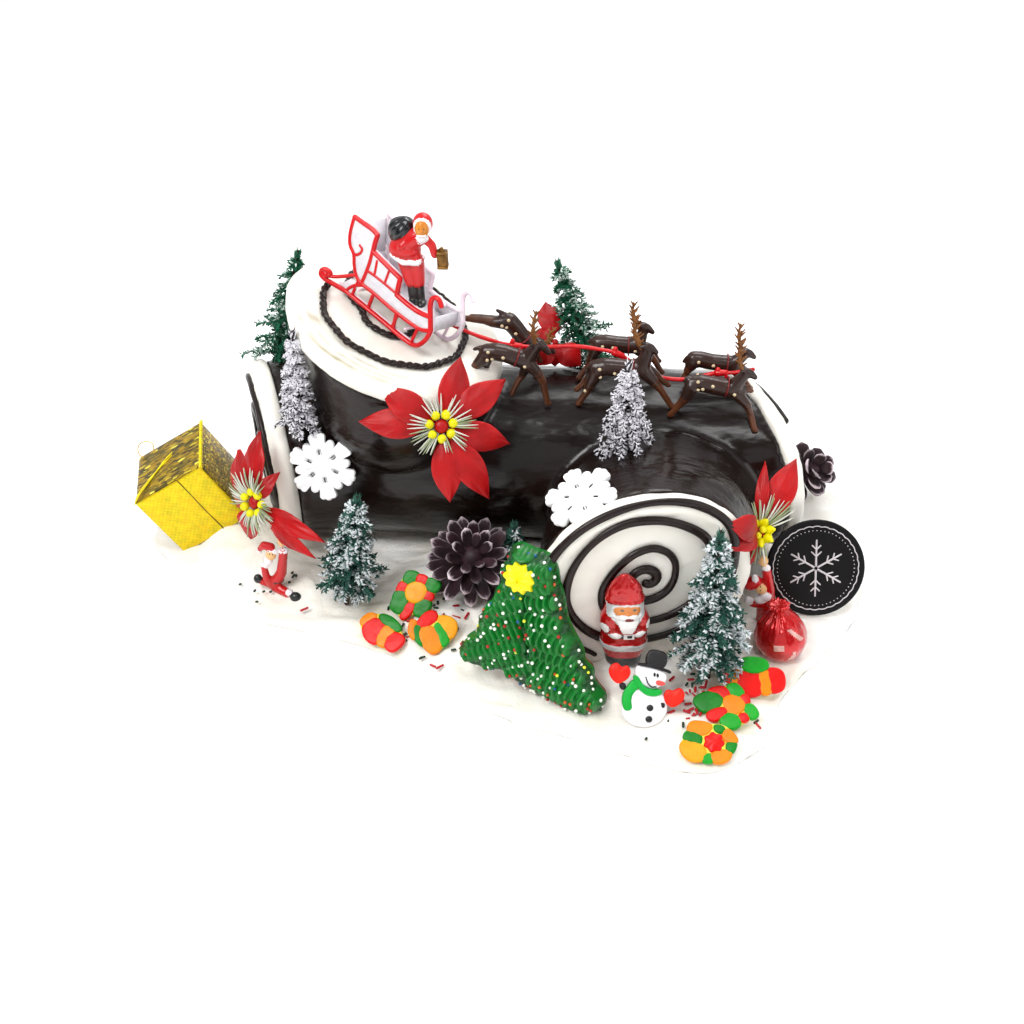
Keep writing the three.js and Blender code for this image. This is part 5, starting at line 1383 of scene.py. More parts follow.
# ---------------------------------------------------------------- outlines of the flat pieces, in mm on their own planes
PARCELS = [
    ('parcel_a', (-72.5, -72, 13.5, -8, 50, 14), [
        ('base', [(-0.6, 6.0), (6.9, 2.6), (15.1, -1.6), (12.7, -6.3), (10.6, -10.0), (8.7, -15.2), (3.5, -17.5), (0.7, -16.1), (-5.3, -17.9), (-8.0, -14.8), (-11.0, -11.2), (-8.8, -6.0), (-7.1, -2.6), (-2.9, 3.8)]),
        ('green', [(-0.2, 5.6), (4.7, 3.8), (3.8, 1.3), (1.9, -0.2), (-0.7, -0.5), (-2.8, 1.0), (-2.4, 3.1)]),
        ('red', [(-4.3, 0.5), (-1.1, -1.3), (-2.5, -4.1), (-6.8, -3.8), (-6.3, -1.8)]),
        ('green', [(-7.6, -4.0), (-2.9, -4.6), (-1.6, -7.4), (-2.6, -10.9), (-5.8, -14.8), (-10.7, -11.4), (-9.1, -7.3)]),
        ('red', [(-1.5, -10.3), (1.6, -11.3), (0.0, -14.7), (-5.0, -17.9), (-6.0, -16.9), (-3.9, -13.6)]),
        ('green', [(4.4, -9.5), (8.1, -9.6), (9.7, -11.5), (8.3, -14.9), (4.5, -17.4), (1.4, -16.0), (1.6, -12.8)]),
        ('red', [(8.4, -5.7), (10.8, -6.5), (11.0, -9.2), (9.1, -10.0), (7.0, -8.7)]),
        ('green', [(9.8, 0.7), (15.2, -1.9), (13.8, -5.2), (11.2, -6.0), (8.5, -3.9), (8.3, -1.3)]),
        ('red', [(5.0, 3.0), (8.8, 1.5), (8.3, -1.3), (5.8, -1.4), (3.9, -0.1)]),
        ('amber', [(1.8, -0.6), (5.1, -0.6), (8.2, -3.5), (7.9, -6.3), (5.9, -9.0), (1.8, -10.3), (-1.3, -8.2), (-2.2, -5.2), (-0.8, -1.7)]),
    ]),
    ('parcel_b', (-83.5, -99.5, 6.2, -12, 62, -20), [
        ('base', [(-10.7, 3.6), (-5.5, 6.3), (-0.1, 7.4), (4.4, 7.1), (8.6, 5.0), (12.3, 2.1), (11.6, -2.1), (10.9, -5.9), (4.2, -7.0), (-3.2, -7.7), (-7.8, -5.8), (-12.0, -1.9)]),
        ('orange', [(-10.1, 3.4), (-6.1, 4.5), (-6.4, 2.6), (-9.1, -2.8), (-11.4, -2.1)]),
        ('red', [(-6.1, 2.8), (0.8, 3.1), (1.3, 0.0), (0.7, -2.9), (2.1, -7.1), (-2.7, -7.9), (-6.7, -6.0), (-8.9, -2.7)]),
        ('orange', [(1.3, 3.0), (6.1, 3.0), (5.7, -0.7), (5.2, -3.5), (6.3, -6.2), (2.7, -6.7), (0.8, -3.6)]),
        ('red', [(6.5, 1.9), (12.8, 1.9), (11.3, -5.9), (6.9, -5.9), (5.5, -3.4)]),
        ('green', [(-4.8, 5.8), (-0.6, 7.4), (5.0, 6.9), (8.5, 5.2), (7.9, 3.6), (3.2, 3.3), (-3.4, 4.0)]),
    ]),
    ('parcel_c', (-59, -98, 8, 10, 58, 12), [
        ('base', [(1.3, 8.3), (4.2, 5.7), (10.4, 2.1), (12.5, -1.7), (10.4, -6.2), (4.8, -10.5), (-2.6, -12.6), (-5.9, -7.9), (-8.7, -3.7), (-11.0, 0.7), (-9.1, 6.0), (-6.3, 3.3)]),
        ('red', [(1.2, 7.7), (3.8, 6.6), (3.9, 3.5), (0.8, 1.5), (-3.7, 0.7), (-6.3, 3.0), (-4.6, 5.0)]),
        ('orange', [(-8.4, 5.8), (-6.5, 4.9), (-8.7, 1.1), (-9.6, -3.4), (-11.0, 0.3)]),
        ('green', [(-7.5, 2.6), (-5.3, 1.5), (-6.9, -1.7), (-6.5, -7.7), (-8.7, -4.1), (-8.7, -0.4)]),
        ('orange', [(-4.4, 0.9), (1.1, -1.2), (1.9, -5.8), (1.3, -11.6), (-3.0, -12.8), (-6.1, -7.4), (-6.5, -2.5)]),
        ('lime', [(1.7, -0.2), (4.1, 0.5), (5.6, -2.9), (5.9, -9.3), (2.6, -10.8), (2.4, -5.3)]),
        ('amber', [(5.4, 3.5), (10.2, 1.6), (12.1, -1.9), (10.4, -6.2), (7.3, -8.2), (6.2, -3.5), (4.4, 1.5)]),
    ]),
    ('parcel_d', (98.5, -121, 8.5, 20, 60, -6), [
        ('base', [(-15.1, 5.2), (-7.2, 3.8), (6.4, 1.5), (12.5, -0.7), (11.8, -4.7), (11.2, -8.4), (2.7, -10.0), (-8.1, -9.4), (-11.0, -3.6), (-16.3, -2.2)]),
        ('lime', [(-7.4, 6.4), (-1.5, 7.2), (4.8, 5.0), (5.7, 2.3), (2.8, 0.8), (-2.9, 0.7), (-6.6, 3.0)]),
        ('red', [(-15.6, 4.7), (-11.9, 4.5), (-12.4, 2.1), (-14.4, -2.8), (-16.5, -2.2)]),
        ('orange', [(-11.6, 4.3), (-8.5, 2.8), (-9.3, 0.7), (-11.0, -3.5), (-13.5, -2.9)]),
        ('red', [(-8.2, 0.6), (-4.1, 0.5), (-3.2, -0.8), (0.2, -0.4), (0.3, -4.1), (-0.7, -9.9), (-8.1, -9.4), (-10.4, -6.2), (-10.0, -2.6)]),
        ('orange', [(1.2, 0.6), (4.9, 0.2), (4.9, -4.7), (4.1, -10.1), (0.1, -9.6), (0.5, -4.5)]),
        ('red', [(5.8, 1.0), (11.8, -1.0), (10.7, -8.7), (5.0, -9.5), (5.3, -4.7)]),
    ]),
    ('parcel_e', (83.5, -139, 7, -15, 64, 14), [
        ('base', [(-14.4, 1.5), (-8.0, 5.5), (-0.6, 7.8), (4.7, 9.0), (7.8, 4.8), (10.8, 0.8), (14.6, -5.4), (11.6, -7.6), (6.4, -10.9), (1.9, -12.3), (-3.6, -9.1), (-10.2, -4.4)]),
        ('green', [(-14.3, 1.1), (-7.9, 4.7), (-3.7, 4.0), (-1.3, 1.1), (-2.1, -1.5), (-9.4, -4.6), (-12.6, -2.2)]),
        ('red', [(-7.6, 5.5), (-0.9, 6.9), (1.9, 3.6), (-0.6, 2.1), (-3.0, 4.4)]),
        ('lime', [(1.2, 7.3), (4.7, 8.4), (8.1, 4.0), (5.0, 2.7), (2.9, 4.0)]),
        ('orange', [(-0.3, 1.8), (2.9, 2.9), (6.3, 2.1), (8.7, -0.8), (7.6, -4.0), (4.1, -5.5), (1.0, -4.4), (-0.3, -1.5)]),
        ('red', [(7.4, 2.5), (9.5, 2.9), (10.6, -0.0), (9.2, -0.6)]),
        ('lime', [(9.0, -2.2), (11.5, -1.5), (14.4, -5.8), (12.0, -7.7), (10.0, -5.8)]),
        ('red', [(6.1, -6.9), (8.6, -5.8), (9.9, -8.0), (7.5, -9.1)]),
        ('red', [(-8.4, -6.2), (-2.8, -3.3), (-0.0, -3.7), (-0.4, -5.9), (-5.7, -8.8)]),
        ('lime', [(-2.2, -8.4), (2.0, -5.9), (6.1, -8.4), (5.7, -11.3), (1.9, -12.4), (-1.5, -10.9)]),
    ]),
    ('parcel_f', (74.5, -160.5, 5, 0, 66, -4), [
        ('base', [(-7.8, 7.5), (-0.8, 7.6), (6.8, 7.8), (13.0, 1.7), (10.6, -5.0), (8.1, -8.8), (0.3, -9.7), (-7.2, -9.7), (-11.6, -4.8), (-10.4, 1.8)]),
        ('orange', [(-7.9, 7.1), (1.2, 6.7), (0.1, 3.7), (-2.2, 2.0), (-8.8, 3.0)]),
        ('green', [(-9.8, 2.2), (-3.2, 1.1), (-3.3, -2.1), (-10.3, -0.7)]),
        ('amber', [(-10.9, -2.2), (-3.3, -2.8), (-1.1, -5.0), (-1.2, -8.9), (-7.2, -9.9), (-11.7, -5.2)]),
        ('lime', [(-0.6, -7.4), (1.8, -7.1), (2.3, -9.6), (-1.1, -9.9)]),
        ('orange', [(2.1, -6.8), (7.4, -4.4), (10.5, -4.7), (9.0, -8.4), (3.6, -9.7)]),
        ('green', [(9.2, -0.6), (12.3, -0.3), (11.1, -4.3), (9.1, -3.8)]),
        ('orange', [(8.5, 5.4), (12.9, 1.2), (11.9, 0.1), (8.8, 0.1), (6.6, 2.6)]),
        ('green', [(3.0, 6.5), (6.4, 6.2), (6.2, 4.0), (3.4, 4.8)]),
        ('rosette', [(7.2, -0.5), (6.5, -3.3), (4.4, -5.2), (1.7, -5.5), (-0.7, -4.1), (-1.7, -1.5), (-1.0, 1.3), (1.1, 3.2), (3.9, 3.5), (6.2, 2.1)]),
    ]),
]
SNOWMAN_PARTS = {
    'crown': [(4.2, 35.9), (12.0, 34.0), (10.4, 27.6), (2.4, 29.4)],
    'brim': [(-1.6, 30.1), (3.7, 29.9), (11.0, 27.3), (13.8, 25.9), (13.5, 24.8), (10.4, 26.0), (3.1, 28.4), (-1.3, 29.3)],
    'head': [(-1.9, 29.1), (3.6, 28.3), (10.9, 25.4), (11.6, 23.1), (9.6, 20.0), (5.3, 18.3), (1.2, 19.8), (-1.4, 22.0), (-2.8, 25.7)],
    'nose': [(6.5, 22.2), (10.7, 20.9), (10.4, 19.9), (6.7, 20.2)],
    'smile': [(1.9, 23.9), (2.8, 21.0), (4.3, 19.4), (6.4, 19.3)],
    'scarf': [(-3.9, 24.7), (-1.8, 24.6), (0.7, 20.3), (4.3, 18.1), (9.0, 17.9), (8.7, 15.8), (4.7, 14.9), (1.0, 16.1), (-2.0, 19.4)],
    'tail': [(-3.4, 23.1), (-1.5, 19.4), (-4.2, 16.3), (-5.1, 13.2), (-4.8, 9.5), (-8.2, 8.9), (-9.4, 12.3), (-8.9, 16.5), (-6.7, 20.1)],
    'body': [(-5.2, 19.0), (1.1, 17.7), (8.4, 16.4), (10.9, 12.6), (11.0, 7.9), (8.4, 3.8), (4.1, 1.4), (-0.6, 1.0), (-5.8, 2.8), (-8.8, 6.0), (-9.7, 10.8), (-8.2, 15.4)],
    'eyes': [(5.9, 24.8), (7.3, 24.4)],
    'buttons': [(3.2, 9.8), (2.5, 4.7)],
    'mitten_left': [(-10.5, 30.7), (-8.7, 28.8), (-6.3, 29.5), (-4.8, 26.8), (-6.0, 23.7), (-10.9, 21.3), (-13.9, 24.0), (-14.8, 27.7), (-13.1, 30.2)],
    'mitten_right': [(11.6, 17.8), (14.2, 17.2), (17.4, 18.4), (19.4, 16.0), (18.8, 12.9), (15.5, 10.1), (12.9, 9.7), (10.3, 12.1), (9.9, 15.3)],
    'arm_left': [(-10.1, 21.5), (-7.2, 21.1), (-7.8, 18.3), (-9.7, 18.6)],
    'arm_right': [(7.7, 12.5), (10.6, 11.6), (9.7, 9.0), (7.9, 9.9)],
}
COOKIE_EDGE = [(-13.9, 73.6), (-9.9, 78.1), (-3.6, 77.2), (6.3, 75.5), (9.2, 69.8), (10.4, 63.5), (12.6, 58.8), (14.5, 51.2), (15.9, 46.2), (18.4, 41.5), (22.1, 35.7), (25.0, 31.1), (26.1, 25.8), (30.8, 22.4), (31.2, 17.6), (35.5, 12.5), (38.2, 9.9), (36.4, 2.7), (32.9, 0.3), (26.6, -0.1), (18.8, 0.8), (8.4, 1.6), (0.4, 3.6), (-7.7, 7.0), (-13.1, 9.6), (-18.3, 8.6), (-26.3, 8.1), (-31.7, 8.5), (-35.2, 11.7), (-35.7, 15.2), (-32.3, 21.4), (-26.7, 27.6), (-26.3, 34.1), (-24.6, 38.9), (-22.3, 43.2), (-19.9, 46.0), (-18.8, 50.5), (-17.8, 54.9), (-14.8, 57.2), (-14.9, 59.9), (-17.3, 62.5), (-16.9, 65.4), (-13.6, 68.4)]
COOKIE_STROKES = [((-0.9, 68.5), (8.7, 71.4), 5.9), ((-6.1, 71.6), (-6.6, 78.7), 5.6), ((-7.0, 66.7), (-15.0, 65.0), 4.4), ((-0.5, 62.6), (9.8, 65.7), 5.6), ((-7.6, 57.1), (-17.3, 50.7), 5.3), ((1.4, 53.7), (12.9, 57.3), 5.9), ((-7.2, 51.1), (-22.4, 39.3), 5.9), ((2.1, 44.3), (15.7, 45.9), 6.3), ((-5.4, 43.3), (-23.9, 30.4), 6.3), ((4.0, 36.6), (21.6, 35.4), 6.9), ((-4.8, 35.1), (-31.3, 19.4), 6.6), ((5.8, 29.4), (25.5, 26.8), 6.9), ((-4.3, 28.2), (-33.0, 12.9), 5.6), ((5.1, 21.4), (29.9, 19.1), 6.6), ((-2.6, 22.4), (-22.2, 10.7), 4.7), ((7.0, 14.1), (38.4, 9.1), 6.9), ((0.3, 17.6), (-9.6, 10.6), 5.0), ((1.9, 12.3), (33.3, 3.6), 4.7)]
SLEIGH_LINES = {
    'back_left': [(-57.9, 35.7), (-56.3, 27.2), (-53.9, 22.5), (-50.0, 19.8), (-47.2, 15.2), (-43.9, 11.5), (-40.8, 10.1)],
    'back_top': [(-57.9, 35.7), (-52.2, 36.0), (-46.2, 36.3), (-42.5, 35.7)],
    'back_right': [(-42.5, 35.7), (-42.0, 31.1), (-41.0, 26.5), (-40.2, 22.4), (-39.7, 17.4), (-39.5, 10.4)],
    'scroll': [(-50.0, 19.8), (-48.1, 20.8), (-46.8, 22.9), (-46.9, 24.8), (-48.8, 25.6)],
    'rail_up': [(-40.7, 27.3), (-31.2, 26.2), (-21.8, 25.2), (-20.9, 21.1), (-19.8, 17.1), (-12.5, 16.9), (-5.3, 17.4), (1.4, 19.2)],
    'win_low': [(-39.4, 17.6), (-34.4, 17.9), (-28.2, 18.0), (-21.3, 17.9)],
    'div1': [(-36.7, 24.8), (-34.9, 18.1)],
    'div2': [(-28.6, 25.1), (-28.0, 18.2)],
    'rail_low': [(-40.8, 10.1), (-38.5, 9.9), (-32.3, 10.1), (-22.5, 9.8), (-14.1, 9.8), (-6.1, 10.2), (0.2, 11.1), (4.5, 13.7)],
    'front': [(4.5, 13.7), (1.4, 19.2), (-1.6, 24.7), (-1.9, 27.7), (0.1, 29.5), (2.4, 28.8), (4.1, 27.3)],
    'runner': [(-51.2, -2.6), (-45.3, -1.6), (-39.0, -1.3), (-26.9, -0.1), (-14.1, -0.6), (-6.2, 0.3), (0.5, 1.9), (3.4, 5.3), (4.7, 10.2), (4.5, 13.7)],
    'curl': [(-51.2, -2.6), (-55.0, -3.5), (-59.3, -3.8), (-61.4, -3.1), (-60.9, -0.6), (-59.3, 2.0), (-57.0, 2.4), (-55.9, 1.7), (-56.1, -0.0)],
    'upbar': [(-57.2, -2.0), (-53.6, 2.1), (-50.6, 6.0), (-45.1, 11.0)],
    'arc': [(-45.8, -0.7), (-44.9, 3.3), (-42.5, 6.7), (-38.4, 9.7)],
    'strut1': [(-31.4, 8.3), (-30.9, 1.4)],
    'strut2': [(-15.6, 8.7), (-13.8, 0.9)],
}


# ---------------------------------------------------------------- flat pressed sugar and icing
EYE = A(26.75, -551.35, 459.8)
LOOK_F, LOOK_R = unit(A(-0.0743, 0.7679, -0.6362)), unit(A(0.9968, 0.0769, -0.0236))
LOOK_U = np.cross(LOOK_R, LOOK_F)


def resting(M, pts, sink=0.8):
    """Slides a piece along the line of sight until its edge only just rests in the snow."""
    M = M.copy()
    for _ in range(12):
        P = put(pts, M)
        low = min(p[2] - ground(p[0], p[1]) for p in P)
        if low >= -sink:
            break
        M[:3, 3] += unit(EYE - M[:3, 3]) * (-sink - low) * 0.9
    return M


def smooth_outline(pts, n=60):
    P = np.array([(x, y, 0) for x, y in pts], float)
    if ((P[:, 0] * np.roll(P[:, 1], -1) - np.roll(P[:, 0], -1) * P[:, 1]).sum()) < 0:
        P = P[::-1]
    # halfway between the straight sides and a free curve, so that corners stay soft
    C = catmull(P, n, closed=True)
    Q = C.copy()
    for _ in range(2):
        Q = 0.5 * Q + 0.25 * (np.roll(Q, 1, 0) + np.roll(Q, -1, 0))
    return Q[:, :2]


def pad(outline, z0, h, seed=0, rough=0.12, steps=(0, 0.35, 0.68, 0.9), puff=0.35):
    """A soft cushion of sugar: upright rounded sides and a slightly domed, uneven top."""
    O = np.asarray(outline, float)
    c = O.mean(0)
    N = len(O)
    rings = [np.c_[c + (O - c) * 0.5, np.full(N, z0)], np.c_[O, np.full(N, z0)]]
    r = min(0.55 * h, 0.9)
    for k in range(5):
        a = (math.pi / 2) * k / 4
        rings.append(np.c_[offset(O, -r * (1 - math.cos(a))), np.full(N, z0 + h - r + r * math.sin(a))])
    E = rings[-1][:, :2]
    for s in (0.8, 0.6, 0.4, 0.22, 0.08):
        rings.append(np.c_[c + (E - c) * s, np.full(N, z0 + h + puff * (1 - s * s))])
    v, f = loft(np.array(rings))
    k = (v[:, 2] > z0 + 0.3)
    v[:, 2] += k * rough * soft(v + A(seed * 3.1, seed * 1.7, 0), 2.6, seed % 7)
    return v, f


def sugar(name, rgb, deep, rough=0.42):
    return material(name, srgb(*rgb), rough, vary=0.6, second=srgb(*deep), vsize=5, fine=0.3, fsize=0.5, sss=0.12, sss_radius=(1, 0.6, 0.3), coat=0.05, coat_rough=0.3, spec=0.28)


S_RED = sugar("sugar red", (226, 8, 3), (198, 3, 0))
S_GREEN = sugar("sugar green", (3, 130, 20), (0, 100, 12))
S_LIME = sugar("sugar light green", (16, 160, 32), (6, 138, 22))
S_ORANGE = sugar("sugar orange", (236, 134, 0), (222, 108, 0))
S_AMBER = sugar("sugar yellow", (234, 164, 2), (226, 136, 0))
S_PALE = sugar("sugar pale", (204, 214, 70), (240, 190, 60), 0.5)
KINDS = {"red": 0, "green": 1, "lime": 2, "orange": 3, "amber": 4, "rosette": 0}
for name, fr, parts in PARCELS:
    s = Skin()
    base = parts[0][1]
    M = resting(look(*fr), [(x, y, 0) for x, y in base])
    s.add(pad(smooth_outline(base, 72), 0, 2.3, 1, 0.05), 5, M)
    for i, (kind, pts) in enumerate(parts[1:]):
        if kind == "rosette":
            c = np.mean(pts, 0)
            R = np.hypot(*(np.array(pts[0]) - c))
            o = [(c[0] + R * (1 + 0.09 * math.cos(7 * t)) * math.cos(t), c[1] + R * (1 + 0.09 * math.cos(7 * t)) * math.sin(t)) for t in np.linspace(0, 2 * math.pi, 84, endpoint=False)]
            s.add(pad(o, 0.9, 2.6, i + 3, 0.16, puff=0.7), 0, M)
            continue
        o = offset(smooth_outline(pts, 34), 0.85)
        s.add(pad(o, 0.8, (2.0 if kind != "lime" or name != "parcel_d" or i else 2.8) + 0.06 * i, i + 2, 0.08, puff=0.1), KINDS[kind], M)
    piece(name + "_sugar", s, [S_RED, S_GREEN, S_LIME, S_ORANGE, S_AMBER, S_PALE], [name])


# ---------------------------------------------------------------- flat sugar snowman
def snowman():
    P = SNOWMAN_PARTS
    s = Skin()
    M = resting(look(45.6, -152.6, 2.4, 6, 42), [(x, y, 0) for x, y in P["body"]], 1.2)
    s.add(pad(smooth_outline(P["body"], 90), 0, 3.0, 1, 0.08, puff=0.5), 0, M)
    s.add(pad(smooth_outline(P["head"], 70), 0.2, 3.2, 2, 0.06, puff=0.5), 0, M)
    s.add(pad(smooth_outline(P["arm_left"], 20), 0.6, 2.0, 3), 2, M)
    s.add(pad(smooth_outline(P["arm_right"], 20), 0.8, 2.4, 3), 2, M)
    s.add(pad(smooth_outline(P["tail"], 50), 0.8, 3.0, 4, 0.1), 1, M)
    s.add(pad(smooth_outline(P["scarf"], 60), 0.8, 3.4, 5, 0.1), 1, M)
    s.add(pad(smooth_outline(P["mitten_left"], 60), 0.6, 3.0, 6, 0.08, puff=0.6), 3, M)
    s.add(pad(smooth_outline(P["mitten_right"], 60), 0.8, 3.2, 7, 0.08, puff=0.6), 3, M)
    s.add(pad([(x, y) for x, y in smooth_outline(P["crown"], 44)], 0.6, 3.4, 8, 0.05), 2, M)
    s.add(pad(smooth_outline(P["brim"], 60), 0.9, 3.4, 9, 0.04), 2, M)
    for x, y in P["eyes"]:
        s.add(ball(x, y, 3.75, 0.62, 1.0, 0.35, 12, 8), 2, M)
    for x, y in P["buttons"]:
        s.add(ball(x, y, 3.5, 1.6, 1.5, 0.75, 16, 10), 2, M)
    s.add(pad(smooth_outline(P["nose"], 24), 3.2, 0.9, 3, 0.02), 4, M)
    m = catmull([(x, y, 3.75) for x, y in P["smile"]], 30)
    s.add(sweep(m, 0.32, 0.3, 8), 2, M)
    return s


S_WHITE = material("sugar white", srgb(240, 238, 240), 0.55, vary=0.4, second=srgb(228, 224, 230), vsize=6, fine=0.2, fsize=0.6, sss=0.3, sss_radius=(1, 1, 1))
S_BLACK = material("sugar black", srgb(20, 18, 20), 0.4, vary=0.5, second=srgb(36, 33, 34), vsize=3, fine=0.2, fsize=0.5)
S_SCARF = sugar("sugar scarf", (20, 172, 62), (10, 150, 46))
S_MITTEN = sugar("sugar mitten", (246, 40, 22), (226, 18, 8), 0.36)
S_NOSE = sugar("sugar nose", (232, 92, 84), (214, 60, 54))
piece("snowman_sugar", snowman(), [S_WHITE, S_SCARF, S_BLACK, S_MITTEN, S_NOSE], ["sugar_snowman"])


# ---------------------------------------------------------------- cookie with piped green icing
COOKIE_M = look(-7.5, -129.5, 2.5, -19.3, 12)


def cookie():
    E = smooth_outline(COOKIE_EDGE, 240)
    c = A(E[:, 0].mean(), 34.0)
    # biscuit, a little smaller than the icing but showing at its foot
    foot = np.where((E[:, 1] < 16) & (np.abs(E[:, 0] + 6) < 12), 0.9, -1.1)
    B_ = offset(E, 0)
    d = (c - B_)
    d /= np.linalg.norm(d, axis=1)[:, None]
    B_ = B_ - d * foot[:, None]
    s = Skin()
    s.add(pad(B_, 0.0, 5.0, 1, 0.1), 0, COOKIE_M)
    base = piece("cookie_biscuit", s, [BISCUIT], ["cookie_base"])

    def relief(x, y):
        h = np.zeros_like(x)
        for k, ((x0, y0), (x1, y1), w) in enumerate(COOKIE_STROKES[::-1]):
            L_ = math.hypot(x1 - x0, y1 - y0) + w * 0.9
            ux, uy = (x1 - x0) / (L_ - w * 0.9), (y1 - y0) / (L_ - w * 0.9)
            bx, by = x0 - ux * w * 0.9, y0 - uy * w * 0.9
            t = ((x - bx) * ux + (y - by) * uy) / L_
            lat = -(x - bx) * uy + (y - by) * ux
            lat = lat + 0.9 * np.sin(t * 3)
            tt = np.clip(t, 0, 1)
            ww = w * (0.55 + 0.6 * np.sin(np.pi * np.clip(tt * 0.86 + 0.1, 0, 1)))
            g = lat / ww
            body = np.sqrt(np.maximum(0, 1 - g * g)) * np.clip(1 - np.maximum(0, (t - 0.9) / 0.12) ** 2, 0, 1) * np.clip(t / 0.12, 0, 1)
            phase = (t * L_ - 0.75 * w * (1 - np.sqrt(np.maximum(0, 1 - np.minimum(np.abs(g), 1) ** 2)))) / 3.3
            saw = phase - np.floor(phase)
            ruffle = 0.5 - 0.5 * np.cos(2 * np.pi * saw ** 0.75)
            hk = body * (3.3 + 2.5 * ruffle) + 0.5 * (k % 3)
            h = np.maximum(h, np.where(body > 0.02, hk, 0))
        return h

    rings, S = [], np.r_[1 - np.linspace(0, 1, 78) ** 1.0 * 0.99]
    N = len(E)
    rings.append(np.c_[c + (E - c) * 0.6, np.full(N, 5.2)])
    rings.append(np.c_[c + (E - c) * 0.985, np.full(N, 5.2)])
    rings.append(np.c_[c + (E - c) * 0.995, np.full(N, 1.2)])
    rings.append(np.c_[c + (E - c) * 1.008, np.full(N, 2.0)])
    for i, s_ in enumerate(S):
        q = c + (E - c) * s_
        din = np.linalg.norm(E - q, axis=1)
        r = relief(q[:, 0], q[:, 1])
        z = 5.0 + 2.2 * np.sqrt(np.clip(din / 2.2, 0, 1)) + np.maximum(r, 1.2) * np.clip(din / 1.6, 0, 1) ** 0.5
        # the edge of the icing bulges out in the same ruffles
        out = 0.9 * np.exp(-(din / 1.2)) * np.sin(np.arange(N) * 2 * np.pi * 52 / N)
        n = (q - c) / (np.linalg.norm(q - c, axis=1)[:, None] + 1e-6)
        q = q + n * out[:, None]
        rings.append(np.c_[q, z])
    v, f = loft(np.array(rings))
    v = v + A(0, 0, 1) * (0.1 * soft(v, 1.6, 3) * (v[:, 2] > 5))[:, None]
    # painted shade: the folds are darker in their depths
    r_ = relief(v[:, 0], v[:, 1])
    deep = np.clip((4.6 - r_) / 2.4, 0, 1) * (v[:, 2] > 3)
    icing = piece("cookie_green_icing", Skin().add((v, f), 0, COOKIE_M, deep), [ICING_GREEN], ["cookie_icing"])

    # coloured sugar pearls, thick along the edge and scattered elsewhere
    rng = np.random.default_rng(5)
    s = Skin()
    spots = []

    def zat(x, y):
        e = np.min(np.hypot(E[:, 0] - x, E[:, 1] - y))
        return 5.0 + 2.2 * math.sqrt(min(1, e / 2.2)) + max(float(relief(np.array([x]), np.array([y]))[0]), 1.2) * math.sqrt(min(1, e / 1.6))

    def inside(x, y):
        t = False
        for i in range(0, N, 3):
            (x0, y0), (x1, y1) = E[i], E[(i + 3) % N]
            if (y0 > y) != (y1 > y) and x < (x1 - x0) * (y - y0) / (y1 - y0) + x0:
                t = not t
        return t

    tries = 0
    while len(spots) < 158 and tries < 4000:
        tries += 1
        if len(spots) < 54:
            i = rng.integers(0, N)
            q = c + (E[i] - c) * rng.uniform(0.94, 1.0)
            x, y = q
        else:
            x, y = rng.uniform(-38, 42), rng.uniform(-4, 82)
            if not inside(x, y):
                continue
        if math.hypot(x + 5.3, y - 65.5) < 8.2 or any(math.hypot(x - a, y - b) < 1.9 for a, b, _ in spots):
            continue
        if y > 30 and rng.random() < 0.25:
            continue
        spots.append((x, y, zat(x, y)))
    for i, (x, y, z) in enumerate(spots):
        q = rng.random()
        m = 0 if q < 0.58 else 1 if q < 0.76 else 2 if q < 0.87 else 3 if q < 0.94 else 4
        r = 0.82 * rng.uniform(0.88, 1.08)
        s.add(ball(x, y, z + 0.3, r, r, r, 9, 6), m, COOKIE_M)
    piece("cookie_pearls", s, [P_WHITE, P_RED, P_ORANGE, P_YELLOW, P_BLUE], [])

    # star rosette of yellow icing, lying on the green
    NT, NS, R = 200, 26, 8.0
    th = np.linspace(0, 2 * np.pi, NT, endpoint=False)
    rings = [np.c_[R * 0.6 * np.cos(th), R * 0.6 * np.sin(th), np.full(NT, -3.5)]]
    tip = 0.5 + 0.5 * np.cos(10 * th)
    for k in range(NS + 1):
        q = 1 - k / NS * 0.99
        edge = R * (0.86 + 0.17 * tip ** 1.2 * q)
        z = 3.6 * np.sqrt(1 - min(0.999, q) ** 2.6) * (0.82 + 0.18 * tip) + 0.5 * math.exp(-(q / 0.16) ** 2)
        tw = th + 0.25 * (1 - q)
        rings.append(np.c_[edge * q * np.cos(tw), edge * q * np.sin(tw), z])
    v, f = loft(np.array(rings))
    sm = COOKIE_M @ shift(-5.3, 65.5, 11.7)
    piece("cookie_yellow_star", Skin().add((v, f), 0, sm), [ICING_YELLOW], ["cookie_star"])


BISCUIT = material("biscuit", srgb(176, 112, 76), 0.85, vary=0.7, second=srgb(140, 82, 50), vsize=4, bump=0.4, bsize=1.5)
# the icing's tone colour is painted shade, a darker green deep in the folds
ICING_GREEN = material("green icing", srgb(2, 116, 34), 0.36, vary=0.5, second=srgb(0, 90, 24), vsize=10, tone=srgb(0, 46, 14), tone_lo=0.1, tone_hi=1.2, spec=0.4, fine=0.08, fsize=0.6, sss=0.2, sss_radius=(0.4, 1, 0.3), coat=0.12, coat_rough=0.25)
ICING_YELLOW = material("yellow icing", srgb(250, 232, 10), 0.45, vary=0.3, second=srgb(240, 212, 0), vsize=5, sss=0.25, sss_radius=(1, 0.8, 0.2))
P_WHITE = material("pearl white", srgb(240, 244, 232), 0.35)
P_RED = material("pearl red", srgb(170, 34, 24), 0.35)
P_ORANGE = material("pearl orange", srgb(200, 84, 28), 0.35)
P_YELLOW = material("pearl yellow", srgb(222, 226, 60), 0.35)
P_BLUE = material("pearl blue", srgb(20, 92, 140), 0.35)
cookie()


